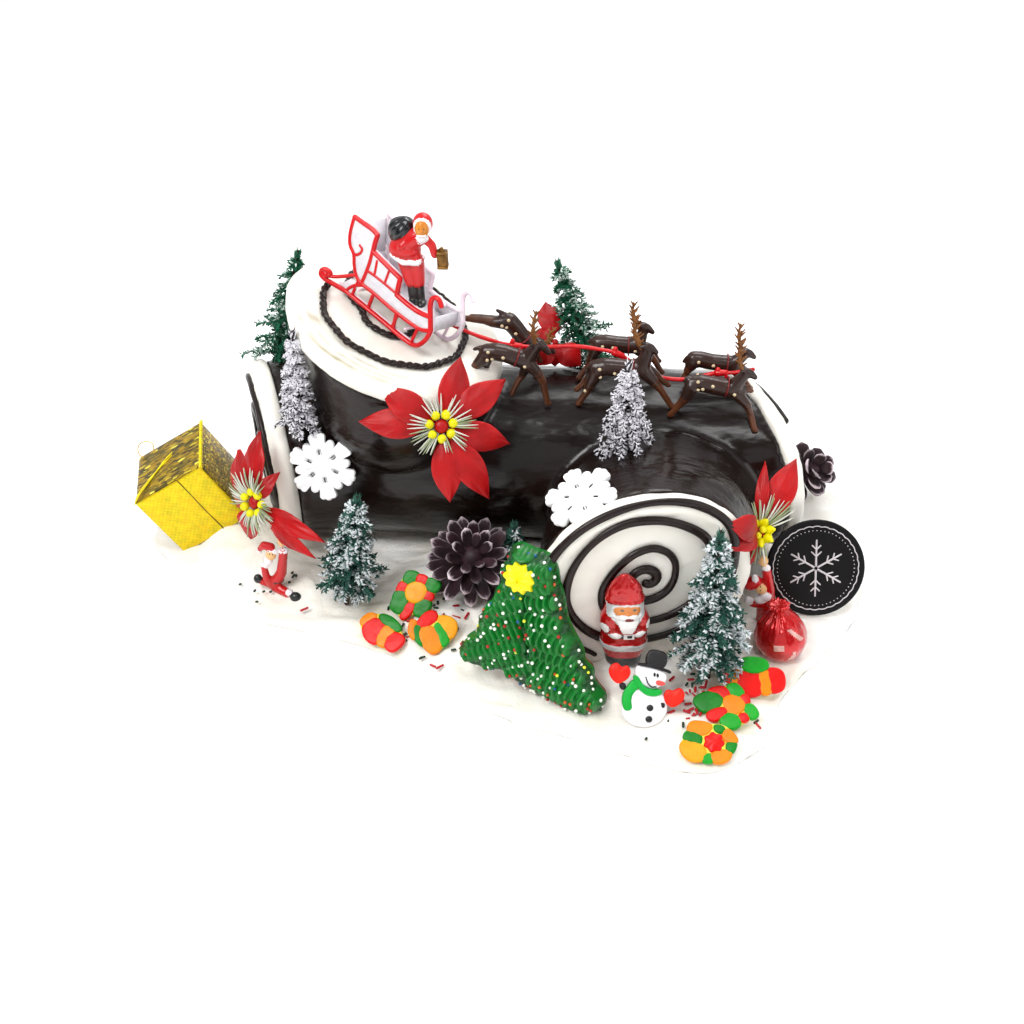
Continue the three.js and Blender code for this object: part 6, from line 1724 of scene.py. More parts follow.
# ---------------------------------------------------------------- chocolate figure in printed foil
def foil_santa():
    prof = np.array([(0, 7.0), (0.6, 7.8), (2, 8.3), (6.8, 8.9), (11, 10.2), (15, 10.7), (20, 10.8), (24, 11.1), (28, 11.2), (31, 10.7),
                     (34, 9.5), (37, 8.9), (41, 8.8), (44, 8.4), (47, 7.5), (50, 5.9), (52.4, 4.0), (54.2, 2.0), (54.9, 0.8)])
    zs = np.r_[np.linspace(0, 54.2, 150), 54.5, 54.75, 54.9]
    a = np.interp(zs, prof[:, 0], prof[:, 1])
    for _ in range(6):
        a[3:-3] = (a[2:-4] + a[3:-3] + a[4:-2]) / 3
    NT = 124
    th = np.linspace(0, 2 * np.pi, NT, endpoint=False)
    rings = []
    for z, r in zip(zs, a):
        k = 0.62 if z > 33 else 0.58
        c, s_ = np.cos(th), np.sin(th)
        e = 2.4
        rr = (np.abs(c) ** e + np.abs(s_) ** e) ** (-1 / e)
        rings.append(np.c_[r * rr * c, r * k * rr * s_, np.full(NT, z)])
    v, f = loft(np.array(rings))
    # the print is turned a little to the right, and stands out in low relief
    phi = np.degrees(np.arctan2(v[:, 0], -v[:, 1] / 0.58))
    R = np.interp(v[:, 2], zs, a)
    X = R * np.sin(np.radians(np.clip(phi - 9, -89, 89)))
    Z = v[:, 2]
    front = np.cos(np.radians(phi - 9)) > 0.05

    def blob(x, z, rx, rz, p=2.0):
        return np.clip(1 - (np.abs((X - x) / rx) ** p + np.abs((Z - z) / rz) ** p), 0, 1) * front

    rel = 0.9 * blob(0, 37, 5.6, 4.4) + 1.5 * blob(0, 30, 5.4, 7.4, 3) + 1.3 * blob(-5.2, 22.3, 3.2, 2.5) + 1.3 * blob(5.6, 23, 3.2, 2.5)
    rel += 0.9 * blob(-8.6, 27, 3.0, 6.0) + 0.9 * blob(9.0, 27.5, 3.0, 6.0) + 0.7 * blob(0.3, 36.4, 1.2, 1.2) + 0.6 * np.exp(-((Z - 14) / 2.1) ** 4) + 0.4 * np.exp(-((Z - 41.6) / 0.9) ** 2)
    rel -= 0.5 * np.exp(-((Z - 22.0) / 1.6) ** 4) * (np.abs(X) > 2.5) * 0.6
    crinkle = 0.16 * soft(v, 2.2, 4) * (Z > 41)
    n = normals(v, f)
    if n[10 * NT] @ v[10 * NT] < 0:
        n = -n
    v = v + n * (rel + crinkle + 0.05 * soft(v, 1.2, 2))[:, None]
    c = np.array([[X[i] for i in q] for q in f if len(q) == 4]).mean(1)
    cz = np.array([[Z[i] for i in q] for q in f if len(q) == 4]).mean(1)
    cf = np.array([[front[i] for i in q] for q in f if len(q) == 4]).mean(1) > 0.5
    m = np.zeros(len(f), int)
    q4 = [i for i, q in enumerate(f) if len(q) == 4]
    mat = np.zeros(len(q4), int)
    x, z = c, cz
    RED, WHITE, SKIN, BLACK, SILVER, LIP, GREY = 0, 1, 2, 3, 4, 5, 6
    mat[:] = RED
    mat[(z < 6.4)] = BLACK
    hem = 13.9 + 0.25 * np.cos(x * 0.5)
    mat[np.abs(z - hem) < 1.9] = SILVER
    mat[cf & (np.abs(z - 22.0) < 1.7) & (np.abs(x - 0.6) < 4.6)] = BLACK
    buckle = cf & (np.abs(x - 0.9) < 2.5) & (np.abs(z - 21.9) < 2.0)
    mat[buckle] = WHITE
    mat[cf & (np.abs(x - 1.1) < 1.25) & (np.abs(z - 21.7) < 0.95)] = BLACK
    # hair, beard and moustache
    hair = cf & (z > 30) & (z < 41.3 - 0.02 * x * x) & (np.abs(x) < 8.4 - np.maximum(0, 34 - z) * 0.9)
    mat[hair] = SILVER
    beard = cf & (z > 24.6) & (z < 34.5) & (np.abs(x) < 2.0 + 0.42 * np.maximum(z - 24.6, 0) ** 0.98)
    mat[beard] = WHITE
    mat[(z > 39.2) & (z < 41.2) & ~(cf & (np.abs(x) < 8.4))] = SILVER
    face = cf & ((np.abs(x) / 5.7) ** 2.4 + (np.abs(z - 37.1) / 3.1) ** 2.4 < 1)
    mat[face] = SKIN
    mat[cf & (z < 36.0) & (z > 34.0) & (np.abs(x) < 4.8) & (z < 35.9 - 0.09 * x * x + 0.5)] = WHITE
    mat[cf & ((np.abs(x - 0.4) / 1.7) ** 2 + ((z - 33.4) / 0.75) ** 2 < 1)] = LIP
    mat[cf & ((np.abs(np.abs(x - 0.2) - 2.5) / 0.9) ** 2 + ((z - 38.2) / 0.62) ** 2 < 1)] = GREY
    # mittens and cuffs
    for mx, mz, rx, rz in ((-5.2, 22.3, 2.7, 2.0), (5.6, 23.0, 2.6, 2.1), (-9.2, 26.2, 1.7, 2.6), (9.6, 27.4, 1.6, 2.5)):
        mat[cf & (((x - mx) / rx) ** 2 + ((z - mz) / rz) ** 2 < 1)] = WHITE
    for i, k in zip(q4, mat):
        m[i] = k
    top = np.array([Z[list(q)].mean() for q in f])
    m[(np.array([len(q) for q in f]) == 3) & (top < 5)] = BLACK
    M = stand((35.6, -119.4, 12.5), (35.2, -119, 68))
    return piece("santa_in_foil", Skin().add((v, f), m.tolist(), M), [FOIL_RED, FOIL_WHITE, FOIL_SKIN, FOIL_BLACK, FOIL_SILVER, FOIL_LIP, FOIL_GREY], ["foil_santa"])


FOIL_RED = material("foil red", srgb(186, 10, 14), 0.24, metal=0.35, vary=0.6, second=srgb(140, 4, 8), vsize=4, bump=0.25, bsize=1.6, coat=0.5, coat_rough=0.08)
FOIL_WHITE = material("foil white", srgb(226, 224, 222), 0.32, metal=0.1, bump=0.12, bsize=1.4, coat=0.3)
FOIL_SKIN = material("foil skin", srgb(208, 128, 62), 0.3, metal=0.15, vary=0.5, second=srgb(190, 108, 48), vsize=3, coat=0.3)
FOIL_BLACK = material("foil black", srgb(18, 22, 22), 0.3, metal=0.1, coat=0.3)
FOIL_SILVER = material("foil silver", srgb(204, 206, 206), 0.26, metal=0.35, bump=0.12, bsize=1.2, coat=0.3)
FOIL_LIP = material("foil lip", srgb(120, 30, 28), 0.3)
FOIL_GREY = material("foil grey", srgb(96, 92, 78), 0.3)
foil_santa()


# ---------------------------------------------------------------- foil wrapped sweet
def foil_sweet():
    prof = [(0.3, 0.0), (5, 0.2), (8.4, 1.4), (10.8, 4.2), (12.3, 8.0), (12.6, 11), (12.1, 14.4), (10.6, 18), (8.6, 21.0), (6.6, 23.0), (5.0, 24.4), (3.9, 25.6), (3.6, 26.6), (4.2, 27.8), (5.0, 29.0), (4.6, 29.8), (2.4, 29.6), (0.3, 28.8)]
    P = catmull([(r, z, 0) for r, z in prof], 90)
    v, f = lathe([(max(0.05, p[0]), p[1]) for p in P], 96)
    th = np.arctan2(v[:, 1], v[:, 0])
    up = np.clip((v[:, 2] - 17) / 9, 0, 1)
    r = np.hypot(v[:, 0], v[:, 1]) + 1e-6
    k = 1 + up * (0.10 * np.sin(9 * th) + 0.08 * np.sin(17 * th + 1)) + 0.012 * soft(v, 3.2, 5) * (1 + 2 * up)
    v[:, 0] *= k
    v[:, 1] *= k
    v[:, 2] += 0.25 * up * soft(v, 2.0, 6)
    n = np.array([v[list(q)].mean(0) for q in f])
    a, z = np.degrees(np.arctan2(n[:, 1], n[:, 0])), n[:, 2]
    m = np.zeros(len(f), int)
    m[(np.abs(a + 98) < 12) & (np.abs(z - 12.6) < 1.5)] = 1
    d = np.abs(a + 68) + (z - 12.0) * 2.0
    m[(np.abs(a + 66 - (z - 6) * 1.2) < 4 + (9 - z) * 0.9) & (z > 3.6) & (z < 9.6)] = 1
    m[(np.abs(a + 52 - (z - 17) * -4) < 7) & (z > 13.5) & (z < 20.5)] = 1
    m[(np.abs(a + 140) < 7) & (np.abs(z - 7) < 1.6)] = 1
    M = stand((112.5, -102, 3.5), (108.5, -98, 32))
    return piece("sweet_in_foil", Skin().add((v, f), m.tolist(), M), [FOIL_CANDY, FOIL_PRINT], ["foil_sweet"])


FOIL_CANDY = material("candy foil", srgb(196, 8, 14), 0.22, metal=0.45, vary=0.6, second=srgb(130, 2, 6), vsize=5, bump=0.5, bsize=2.4, coat=0.5, coat_rough=0.08)
FOIL_PRINT = material("candy print", srgb(214, 172, 164), 0.3, metal=0.25, vary=0.6, second=srgb(180, 130, 120), vsize=1.2)
foil_sweet()


# ---------------------------------------------------------------- plain round plaque
def plaque():
    s = Skin()
    M = look(129.5, -64, 26.5, 3, 30)
    prof = [(0.2, -0.1), (23.2, -0.1), (23.9, 0.15), (24.2, 0.7), (24.2, 1.7), (23.9, 2.2), (23.3, 2.4), (0.2, 2.4)]
    fine = [prof[0]] + [(12, -0.1)] + prof[1:-1] + [(12, 2.4), prof[-1]]
    s.add(lathe(fine, 128), 0, M)
    # thin scalloped line, a ring of dots and a plain six armed snowflake, all raised and pale
    N = 360
    t = np.linspace(0, 2 * np.pi, N, endpoint=False)
    R = 20.7 + 0.42 * np.abs(np.sin(t * 15))
    P = np.stack([R * np.cos(t), R * np.sin(t), np.full(N, 2.4)], 1)
    s.add(sweep(np.vstack([P, P[:1]]), 0.26, 0.18, 6, normal=A(0, 0, 1), round_ends=False), 1, M)
    for k in range(60):
        a = 2 * np.pi * k / 60
        s.add(ball(18.9 * math.cos(a), 18.9 * math.sin(a), 2.4, 0.3, 0.3, 0.18, 7, 4), 1, M)
    for k in range(6):
        a = np.pi / 3 * k + np.pi / 6
        u = A(math.cos(a), math.sin(a), 0)
        w = A(-math.sin(a), math.cos(a), 0)
        s.add(limb(u * 1.2 + A(0, 0, 2.4), u * 14 + A(0, 0, 2.4), 0.55, 0.45, 8, 2), 1, M)
        for d, ln in ((6, 3.2), (9.5, 2.8)):
            for sg in (-1, 1):
                s.add(limb(u * d + A(0, 0, 2.4), u * (d + ln * 0.7) + w * sg * ln * 0.75 + A(0, 0, 2.4), 0.42, 0.34, 8, 2), 1, M)
    return s


PLAQUE_BLACK = material("plaque black", srgb(9, 7, 8), 0.5, vary=0.4, second=srgb(16, 13, 13), vsize=6, fine=0.1, fsize=0.6, spec=0.22)
PLAQUE_PALE = material("plaque print", srgb(206, 200, 202), 0.5)
piece("plaque", plaque(), [PLAQUE_BLACK, PLAQUE_PALE], ["plaque_round"])


# ---------------------------------------------------------------- small waving plastic figures
FIG_RED = material("figure red", srgb(196, 10, 16), 0.33, vary=0.4, second=srgb(160, 4, 10), vsize=5, coat=0.2)
FIG_WHITE = material("figure white", srgb(232, 226, 228), 0.5, fine=0.2, fsize=0.5)
FIG_SKIN = material("figure skin", srgb(232, 182, 126), 0.42, vary=0.4, second=srgb(214, 158, 100), vsize=3)
FIG_BLACK = material("figure black", srgb(22, 24, 24), 0.35, coat=0.2)


def sight(u, v, y):
    """The point at depth y that is seen at u, v in the photo's 1024 pixel frame."""
    d = unit(LOOK_F + LOOK_R * (u - 512) / 1295.62 - LOOK_U * (v - 512) / 1295.62)
    return EYE + d * ((y - EYE[1]) / d[1])


def seen_figure(name, node, y, parts, eyes):
    """A small figure whose balls (u, v, dy, rx, ry, rz) and limbs (u, v, dy, u, v, dy, r, r) were measured in the photo."""
    prims = []
    for mat, q in parts:
        if len(q) == 6:
            prims.append(B(mat, *sight(q[0], q[1], y + q[2]), *q[3:]))
        else:
            prims.append(L(mat, tuple(sight(q[0], q[1], y + q[2])), tuple(sight(q[3], q[4], y + q[5])), q[6], q[7]))
    (v, f), m = figure(prims, 0.5, 2)
    s = Skin().add((v, f), m)
    tree = BVHTree.FromPolygons([tuple(p) for p in v], [tuple(int(k) for k in q) for q in f])
    for kind, u, w, r in eyes:
        d = unit(sight(u, w, y) - EYE)
        hit = tree.ray_cast(Vector(EYE), Vector(d))
        if hit[0] is not None:
            s.add(ball(*A(*hit[0]), r, r, r, 8, 6), kind)
    return piece(name, s, [FIG_RED, FIG_WHITE, FIG_SKIN, FIG_BLACK], [node])


# both lie back with one arm up: 0 red, 1 white, 2 skin, 3 black
seen_figure("santa_waving_left", "figure_left", -72.0, [
    (0, (283, 556, 0, 281.5, 572, 0, 2.3, 2.7)), (0, (281.5, 572, 0, 274.5, 584, 0, 2.8, 3.1)),
    (0, (264, 567, -1.5, 266.5, 577, -1.5, 1.7, 2.0)), (0, (266.5, 577, -1.5, 273, 584.5, 0, 2.1, 2.6)), (1, (263.6, 564.6, -1.5, 1.7, 1.6, 1.3)),
    (0, (273, 585, 0, 262, 581, 0, 2.2, 1.9)), (3, (258, 578.6, 0, 2.3, 2.3, 2.6)),
    (0, (275, 586, 0, 288, 593.6, -4, 2.9, 2.4)), (1, (289.3, 592.6, -5, 1.9, 1.9, 1.9)), (3, (295.6, 597, -6.5, 3.0, 2.6, 2.7)),
    (0, (283, 558, 0, 283.6, 551, 0, 2.4, 2.1)), (1, (283.6, 550.4, 0, 2.6, 2.3, 1.4)), (2, (281.2, 541.5, 0, 2.0, 1.7, 3.4)),
    (2, (271, 555, -1.5, 2.7, 2.4, 2.8)), (1, (268.3, 560.5, -2, 2.3, 2.0, 2.6)), (1, (266.5, 565, -2, 1.5, 1.4, 1.8)),
    (1, (269.4, 549.8, -1, 275.5, 551.6, -1, 1.4, 1.4)), (0, (270.2, 547.2, 0, 264, 545.2, 0, 2.5, 2.1)), (0, (264, 545.2, 0, 260, 548.6, 0, 2.1, 1.4)), (1, (259.6, 551.4, 0, 1.2, 1.2, 1.2)),
    (3, (278.5, 579.8, 0, 3.2, 3.1, 0.7))], [(3, 269.6, 554.2, 0.34), (3, 272.6, 554.6, 0.34)])
seen_figure("santa_waving_right", "figure_right", -84.0, [
    (0, (750, 584, 0, 755.5, 581.5, 0, 3.2, 3.2)), (1, (754.8, 577.4, -1, 758.2, 589, -1, 1.6, 1.6)), (2, (761.2, 588.5, -1.5, 2.7, 2.6, 3.0)),
    (1, (765.4, 596, -2, 3.0, 2.6, 3.0)), (1, (760.5, 599, -2, 3.2, 2.6, 2.5)),
    (0, (767, 590, 2, 766, 607, 2, 3.8, 4.6)), (0, (766, 607, 2, 765, 621, 2, 4.6, 4.6)),
    (0, (769.4, 590, 0, 766.6, 571, 0, 2.7, 2.2)), (1, (765.8, 567.6, 0, 2.4, 2.2, 1.2)), (2, (763.6, 561, 0, 2.3, 1.8, 3.0)), (2, (763, 563.4, 0, 759.6, 562.4, 0, 1.0, 0.8)),
    (0, (763, 604, 0, 753, 603, 0, 2.6, 2.2)), (1, (749, 600.6, 0, 2.4, 2.1, 2.1)),
    (0, (764, 621, 2, 760, 630, 2, 3.2, 2.6)), (3, (758.5, 634, 1, 2.9, 3.2, 2.4)), (3, (768.5, 634, 1, 2.9, 3.2, 2.4)), (0, (767, 621, 2, 768.4, 630, 2, 3.2, 2.6))],
    [(3, 760.6, 586.6, 0.36), (3, 760.4, 590.6, 0.36)])


# ---------------------------------------------------------------- measured places on the six reindeer: x, y, z in mm and radius
HERD = {
    "reindeer_3_front": dict(
        spine=[(65.6, -20.0, 104.6, 4.0), (69.7, -20.0, 104.7, 4.5), (74.6, -20.0, 103.8, 4.4), (80.1, -20.0, 102.4, 4.5), (85.3, -20.0, 101.8, 4.6)],
        neck=[(85.8, -20.0, 103.1, 4.2), (88.3, -20.0, 107.3, 3.1), (90.7, -20.0, 110.7, 2.5)],
        head=[(90.8, -20.0, 111.5, 2.5), (93.0, -20.0, 110.8, 2.1), (95.4, -20.0, 108.8, 1.35)],
        tail=[(65.1, -20.0, 106.4, 1.9), (62.9, -20.0, 107.4, 1.2), (61.7, -20.0, 105.8, 0.8)],
        legs=[[(65.2, -21.2, 103.3, 3.8), (62.2, -22.0, 96.3, 2.5), (60.0, -22.0, 92.9, 1.7), (55.5, -22.0, 86.8, 1.45)], [(65.1, -18.8, 102.7, 3.4), (62.8, -18.0, 95.5, 2.2), (60.3, -18.0, 91.7, 1.5), (57.9, -18.0, 88.4, 1.3)], [(86.8, -21.3, 100.5, 3.6), (92.7, -22.2, 94.0, 2.2), (94.9, -22.2, 88.7, 1.7), (97.0, -27.7, 83.0, 1.45)], [(87.8, -18.7, 102.0, 3.0), (92.0, -17.8, 100.2, 1.9), (93.1, -17.8, 101.8, 1.4), (94.0, -17.8, 99.5, 1.3)]],
        antler=((88.9, -20.0, 114.3), (87.4, -20.0, 125.8)), ear=(89.6, -20.0, 113.5),
        girth=(82.2, -20.0, 103.0),
        spots=[(67.8, -26.0, 109.2), (68.1, -26.0, 104.7), (70.3, -26.0, 105.1), (75.0, -26.0, 106.8), (85.7, -26.0, 102.3)]),
    "reindeer_3_back": dict(
        spine=[(66.7, -1.0, 106.5, 4.0), (70.3, -1.0, 106.1, 4.3), (75.3, -1.0, 104.9, 4.2), (80.6, -1.0, 104.3, 4.3), (85.0, -1.0, 103.9, 4.4)],
        neck=[(86.1, -1.0, 104.1, 4.0), (89.5, -1.0, 107.4, 3.0), (91.9, -1.0, 110.0, 2.4)],
        head=[(91.8, -1.0, 110.8, 2.4), (93.9, -1.0, 110.1, 2.0), (96.2, -1.0, 108.2, 1.3)],
        tail=[(65.8, -1.0, 107.6, 1.9), (63.2, -1.0, 106.7, 1.2), (61.8, -1.0, 104.8, 0.9)],
        legs=[[(66.2, -2.2, 104.7, 3.6), (64.1, -3.0, 101.4, 2.3), (63.4, -3.0, 99.0, 1.6), (61.6, -3.0, 96.0, 1.4)], [(66.5, 0.2, 103.9, 3.2), (65.0, 1.0, 99.9, 2.0), (64.0, 1.0, 97.7, 1.4), (63.0, 1.0, 95.6, 1.3)], [(86.6, -2.3, 102.6, 3.4), (90.9, -3.2, 97.5, 2.0), (92.9, -3.2, 94.9, 1.5), (95.2, -4.2, 91.9, 1.35)], [(87.8, 0.3, 102.5, 3.0), (92.6, 1.2, 98.9, 1.9), (94.6, 1.2, 98.4, 1.4), (95.8, 1.2, 95.5, 1.3)]],
        antler=((90.2, -1.0, 111.6), (88.4, -1.0, 124.8)), ear=(90.6, -1.0, 112.3),
        girth=(83.1, -1.0, 104.1),
        spots=[(68.8, -7.0, 108.1), (68.9, -7.0, 103.9), (71.1, -7.0, 104.2), (76.1, -7.0, 106.3)]),
    "reindeer_2_front": dict(
        spine=[(18.5, -15.0, 109.1, 4.3), (22.9, -15.0, 109.7, 4.7), (28.3, -15.0, 109.4, 4.6), (34.9, -15.0, 108.8, 4.7), (40.3, -15.0, 109.7, 4.9)],
        neck=[(40.8, -15.0, 111.3, 4.3), (42.4, -15.0, 115.8, 3.3), (43.2, -15.0, 119.3, 2.7)],
        head=[(42.6, -15.0, 121.5, 2.6), (44.8, -15.0, 120.8, 2.2), (47.3, -15.0, 118.6, 1.4)],
        tail=[(17.4, -15.0, 110.4, 2.0), (15.0, -15.0, 109.0, 1.3), (13.1, -15.0, 106.4, 0.9)],
        legs=[[(19.0, -16.2, 107.6, 4.0), (15.6, -17.0, 100.1, 2.6), (14.2, -17.0, 96.1, 1.9), (10.0, -17.2, 89.0, 1.55)], [(18.5, -13.8, 107.3, 3.6), (14.6, -13.0, 101.4, 2.3), (12.0, -13.0, 97.6, 1.6), (8.9, -13.0, 94.6, 1.4)], [(41.7, -16.3, 108.3, 3.8), (47.4, -17.2, 102.2, 2.4), (50.6, -17.2, 98.3, 1.8), (56.2, -17.4, 88.8, 1.5)], [(42.5, -13.7, 108.9, 3.2), (47.7, -12.8, 104.8, 2.0), (49.9, -12.8, 102.2, 1.5), (54.0, -12.8, 98.4, 1.35)]],
        antler=((39.8, -15.0, 122.7), (36.3, -15.0, 135.1)), ear=(41.1, -15.0, 122.5),
        girth=(36.8, -15.0, 109.1),
        spots=[(20.3, -21.0, 111.8), (20.7, -21.0, 107.3), (23.0, -21.0, 108.2), (27.6, -21.0, 109.7), (13.4, -21.0, 99.2)]),
    "reindeer_2_back": dict(
        spine=[(19.3, 6.0, 110.1, 4.2), (23.0, 6.0, 110.2, 4.5), (28.6, 6.0, 109.5, 4.4), (34.2, 6.0, 109.1, 4.5), (38.1, 6.0, 109.5, 4.7)],
        neck=[(38.7, 6.0, 110.3, 4.2), (40.5, 6.0, 114.8, 3.0), (41.0, 6.0, 118.4, 2.4)],
        head=[(41.0, 6.0, 120.2, 2.4), (43.2, 6.0, 119.5, 2.0), (45.8, 6.0, 117.0, 1.3)],
        tail=[(18.1, 6.0, 111.3, 1.9), (16.1, 6.0, 111.8, 1.2), (14.3, 6.0, 110.7, 0.9)],
        legs=[[(18.7, 4.8, 108.4, 3.8), (15.9, 4.0, 102.3, 2.4), (14.6, 4.0, 98.2, 1.7), (9.5, 1.0, 92.1, 1.45)], [(18.6, 7.2, 108.0, 3.4), (16.9, 8.0, 101.0, 2.1), (15.4, 8.0, 97.2, 1.5), (12.7, 8.0, 91.5, 1.3)], [(39.9, 4.7, 107.5, 3.6), (45.0, 3.8, 104.5, 2.2), (47.5, 3.8, 101.9, 1.7), (51.2, 3.8, 95.0, 1.4)], [(40.9, 7.3, 107.4, 3.0), (45.7, 8.2, 104.6, 1.9), (47.5, 8.2, 102.8, 1.4), (49.5, 8.2, 98.8, 1.3)]],
        antler=((38.5, 6.0, 121.2), (35.9, 6.0, 131.5)), ear=(39.6, 6.0, 121.4),
        girth=(34.2, 6.0, 108.6),
        spots=[(26.4, 0.0, 111.0), (37.5, 0.0, 109.3), (21.2, 0.0, 111.5), (22.6, 0.0, 108.7)]),
    "reindeer_1_front": dict(
        spine=[(-34.7, -17.0, 118.1, 4.2), (-30.5, -17.0, 118.2, 4.6), (-25.6, -17.0, 117.3, 4.5), (-20.2, -17.0, 115.1, 4.6), (-15.8, -17.0, 113.9, 4.8)],
        neck=[(-14.6, -17.0, 115.6, 4.2), (-11.9, -17.0, 119.9, 3.1), (-10.0, -17.0, 122.2, 2.6)],
        head=[(-9.7, -17.0, 123.3, 2.6), (-7.4, -17.0, 121.8, 2.2), (-4.6, -17.0, 118.3, 1.4)],
        tail=[(-35.5, -17.0, 119.8, 1.9), (-37.9, -17.0, 120.5, 1.2), (-41.0, -17.0, 119.4, 0.9)],
        legs=[[(-35.5, -18.2, 116.2, 3.9), (-39.8, -19.0, 112.0, 2.5), (-41.8, -19.0, 109.9, 1.8), (-45.9, -19.0, 107.1, 1.5)], [(-35.4, -15.8, 114.4, 3.5), (-36.1, -15.0, 107.7, 2.0), (-37.1, -15.0, 103.9, 1.5), (-41.4, -15.0, 97.7, 1.35)], [(-14.4, -18.3, 112.5, 3.8), (-9.8, -19.2, 107.5, 2.4), (-7.4, -19.2, 102.8, 1.9), (-5.3, -19.2, 90.1, 1.5)], [(-15.7, -15.7, 110.2, 3.2), (-17.8, -14.8, 103.8, 2.0), (-19.9, -14.8, 100.3, 1.6), (-23.4, -14.8, 92.4, 1.35)]],
        antler=((-11.0, -17.0, 125.0), (-10.6, -17.0, 139.2)), ear=(-11.5, -17.0, 123.7),
        girth=(-20.2, -17.0, 115.6),
        spots=[(-33.6, -23.0, 121.5), (-34.2, -23.0, 117.0), (-31.8, -23.0, 117.7), (-26.4, -23.0, 118.5), (-16.0, -23.0, 113.7)]),
    "reindeer_1_back": dict(
        spine=[(-27.9, 6.0, 121.9, 4.3), (-25.5, 6.0, 121.5, 4.7), (-22.6, 6.0, 117.9, 4.5), (-20.0, 6.0, 113.6, 4.5), (-16.7, 6.0, 109.2, 4.6)],
        neck=[(-15.4, 6.0, 109.2, 4.0), (-11.3, 6.0, 109.3, 3.0), (-8.8, 6.0, 108.6, 2.4)],
        head=[(-8.4, 6.0, 108.3, 2.4), (-5.9, 6.0, 106.8, 2.0), (-3.6, 6.0, 104.2, 1.3)],
        tail=[(-27.6, 6.0, 124.8, 1.9), (-29.1, 6.0, 126.3, 1.3), (-31.5, 6.0, 127.8, 0.9)],
        legs=[[(-28.3, 4.8, 121.9, 3.9), (-33.3, 4.0, 122.0, 2.7), (-37.8, 4.0, 123.2, 2.1), (-46.9, 4.0, 124.0, 1.6)], [(-27.8, 7.2, 120.7, 3.5), (-33.0, 8.0, 121.1, 2.3), (-37.0, 8.0, 122.1, 1.8), (-44.9, 8.0, 122.7, 1.4)], [(-16.7, 4.7, 107.6, 3.4), (-15.3, 3.8, 102.9, 2.0), (-14.5, 3.8, 99.5, 1.5), (-13.8, 3.8, 96.0, 1.35)], [(-15.9, 7.3, 107.0, 3.0), (-13.1, 8.2, 102.6, 1.9), (-11.8, 8.2, 100.2, 1.4), (-10.9, 8.2, 97.2, 1.3)]],
        antler=((-6.3, 6.0, 108.6), (-2.7, 6.0, 115.5)), ear=(-7.2, 6.0, 108.4),
        girth=(-18.9, 6.0, 111.8),
        spots=[(-25.4, 0.0, 125.6), (-28.7, 0.0, 122.4), (-26.5, 0.0, 121.6), (-22.0, 0.0, 118.0)]),
}
REIN_LINE = [(-55.9, -6.0, 128.2), (-44.6, -6.0, 122.1), (-33.7, -6.0, 117.8), (-22.8, -5.0, 114.5), (-9.5, -5.0, 113.9), (7.2, -6.0, 115.4), (18.2, -7.0, 114.8), (29.2, -8.0, 112.7), (40.5, -9.0, 105.4), (48.3, -10.0, 101.7), (58.3, -10.0, 99.9), (66.0, -10.0, 100.6), (71.3, -10.0, 102.3), (77.7, -10.0, 104.2), (86.3, -11.0, 105.3), (95.3, -11.0, 107.5)]


# ---------------------------------------------------------------- sleigh of milky plastic with red edges
def sleigh_frame():
    yaw = -32 * DEG
    n = STUMP_AX[0]
    H = A(math.cos(yaw), math.sin(yaw), 0)
    H = unit(H - n * (n @ H))
    R = np.array(Matrix.Rotation(-10 * DEG, 3, Vector(H)))
    N = R @ n
    M = np.eye(4)
    M[:3, 0], M[:3, 1], M[:3, 2] = H, N, np.cross(H, N)
    M[:3, 3] = (-67.7, -22.4, 123.8)
    return M


SLEIGH_M = sleigh_frame()
Z_NEAR, Z_FAR = 4.5, -20.5


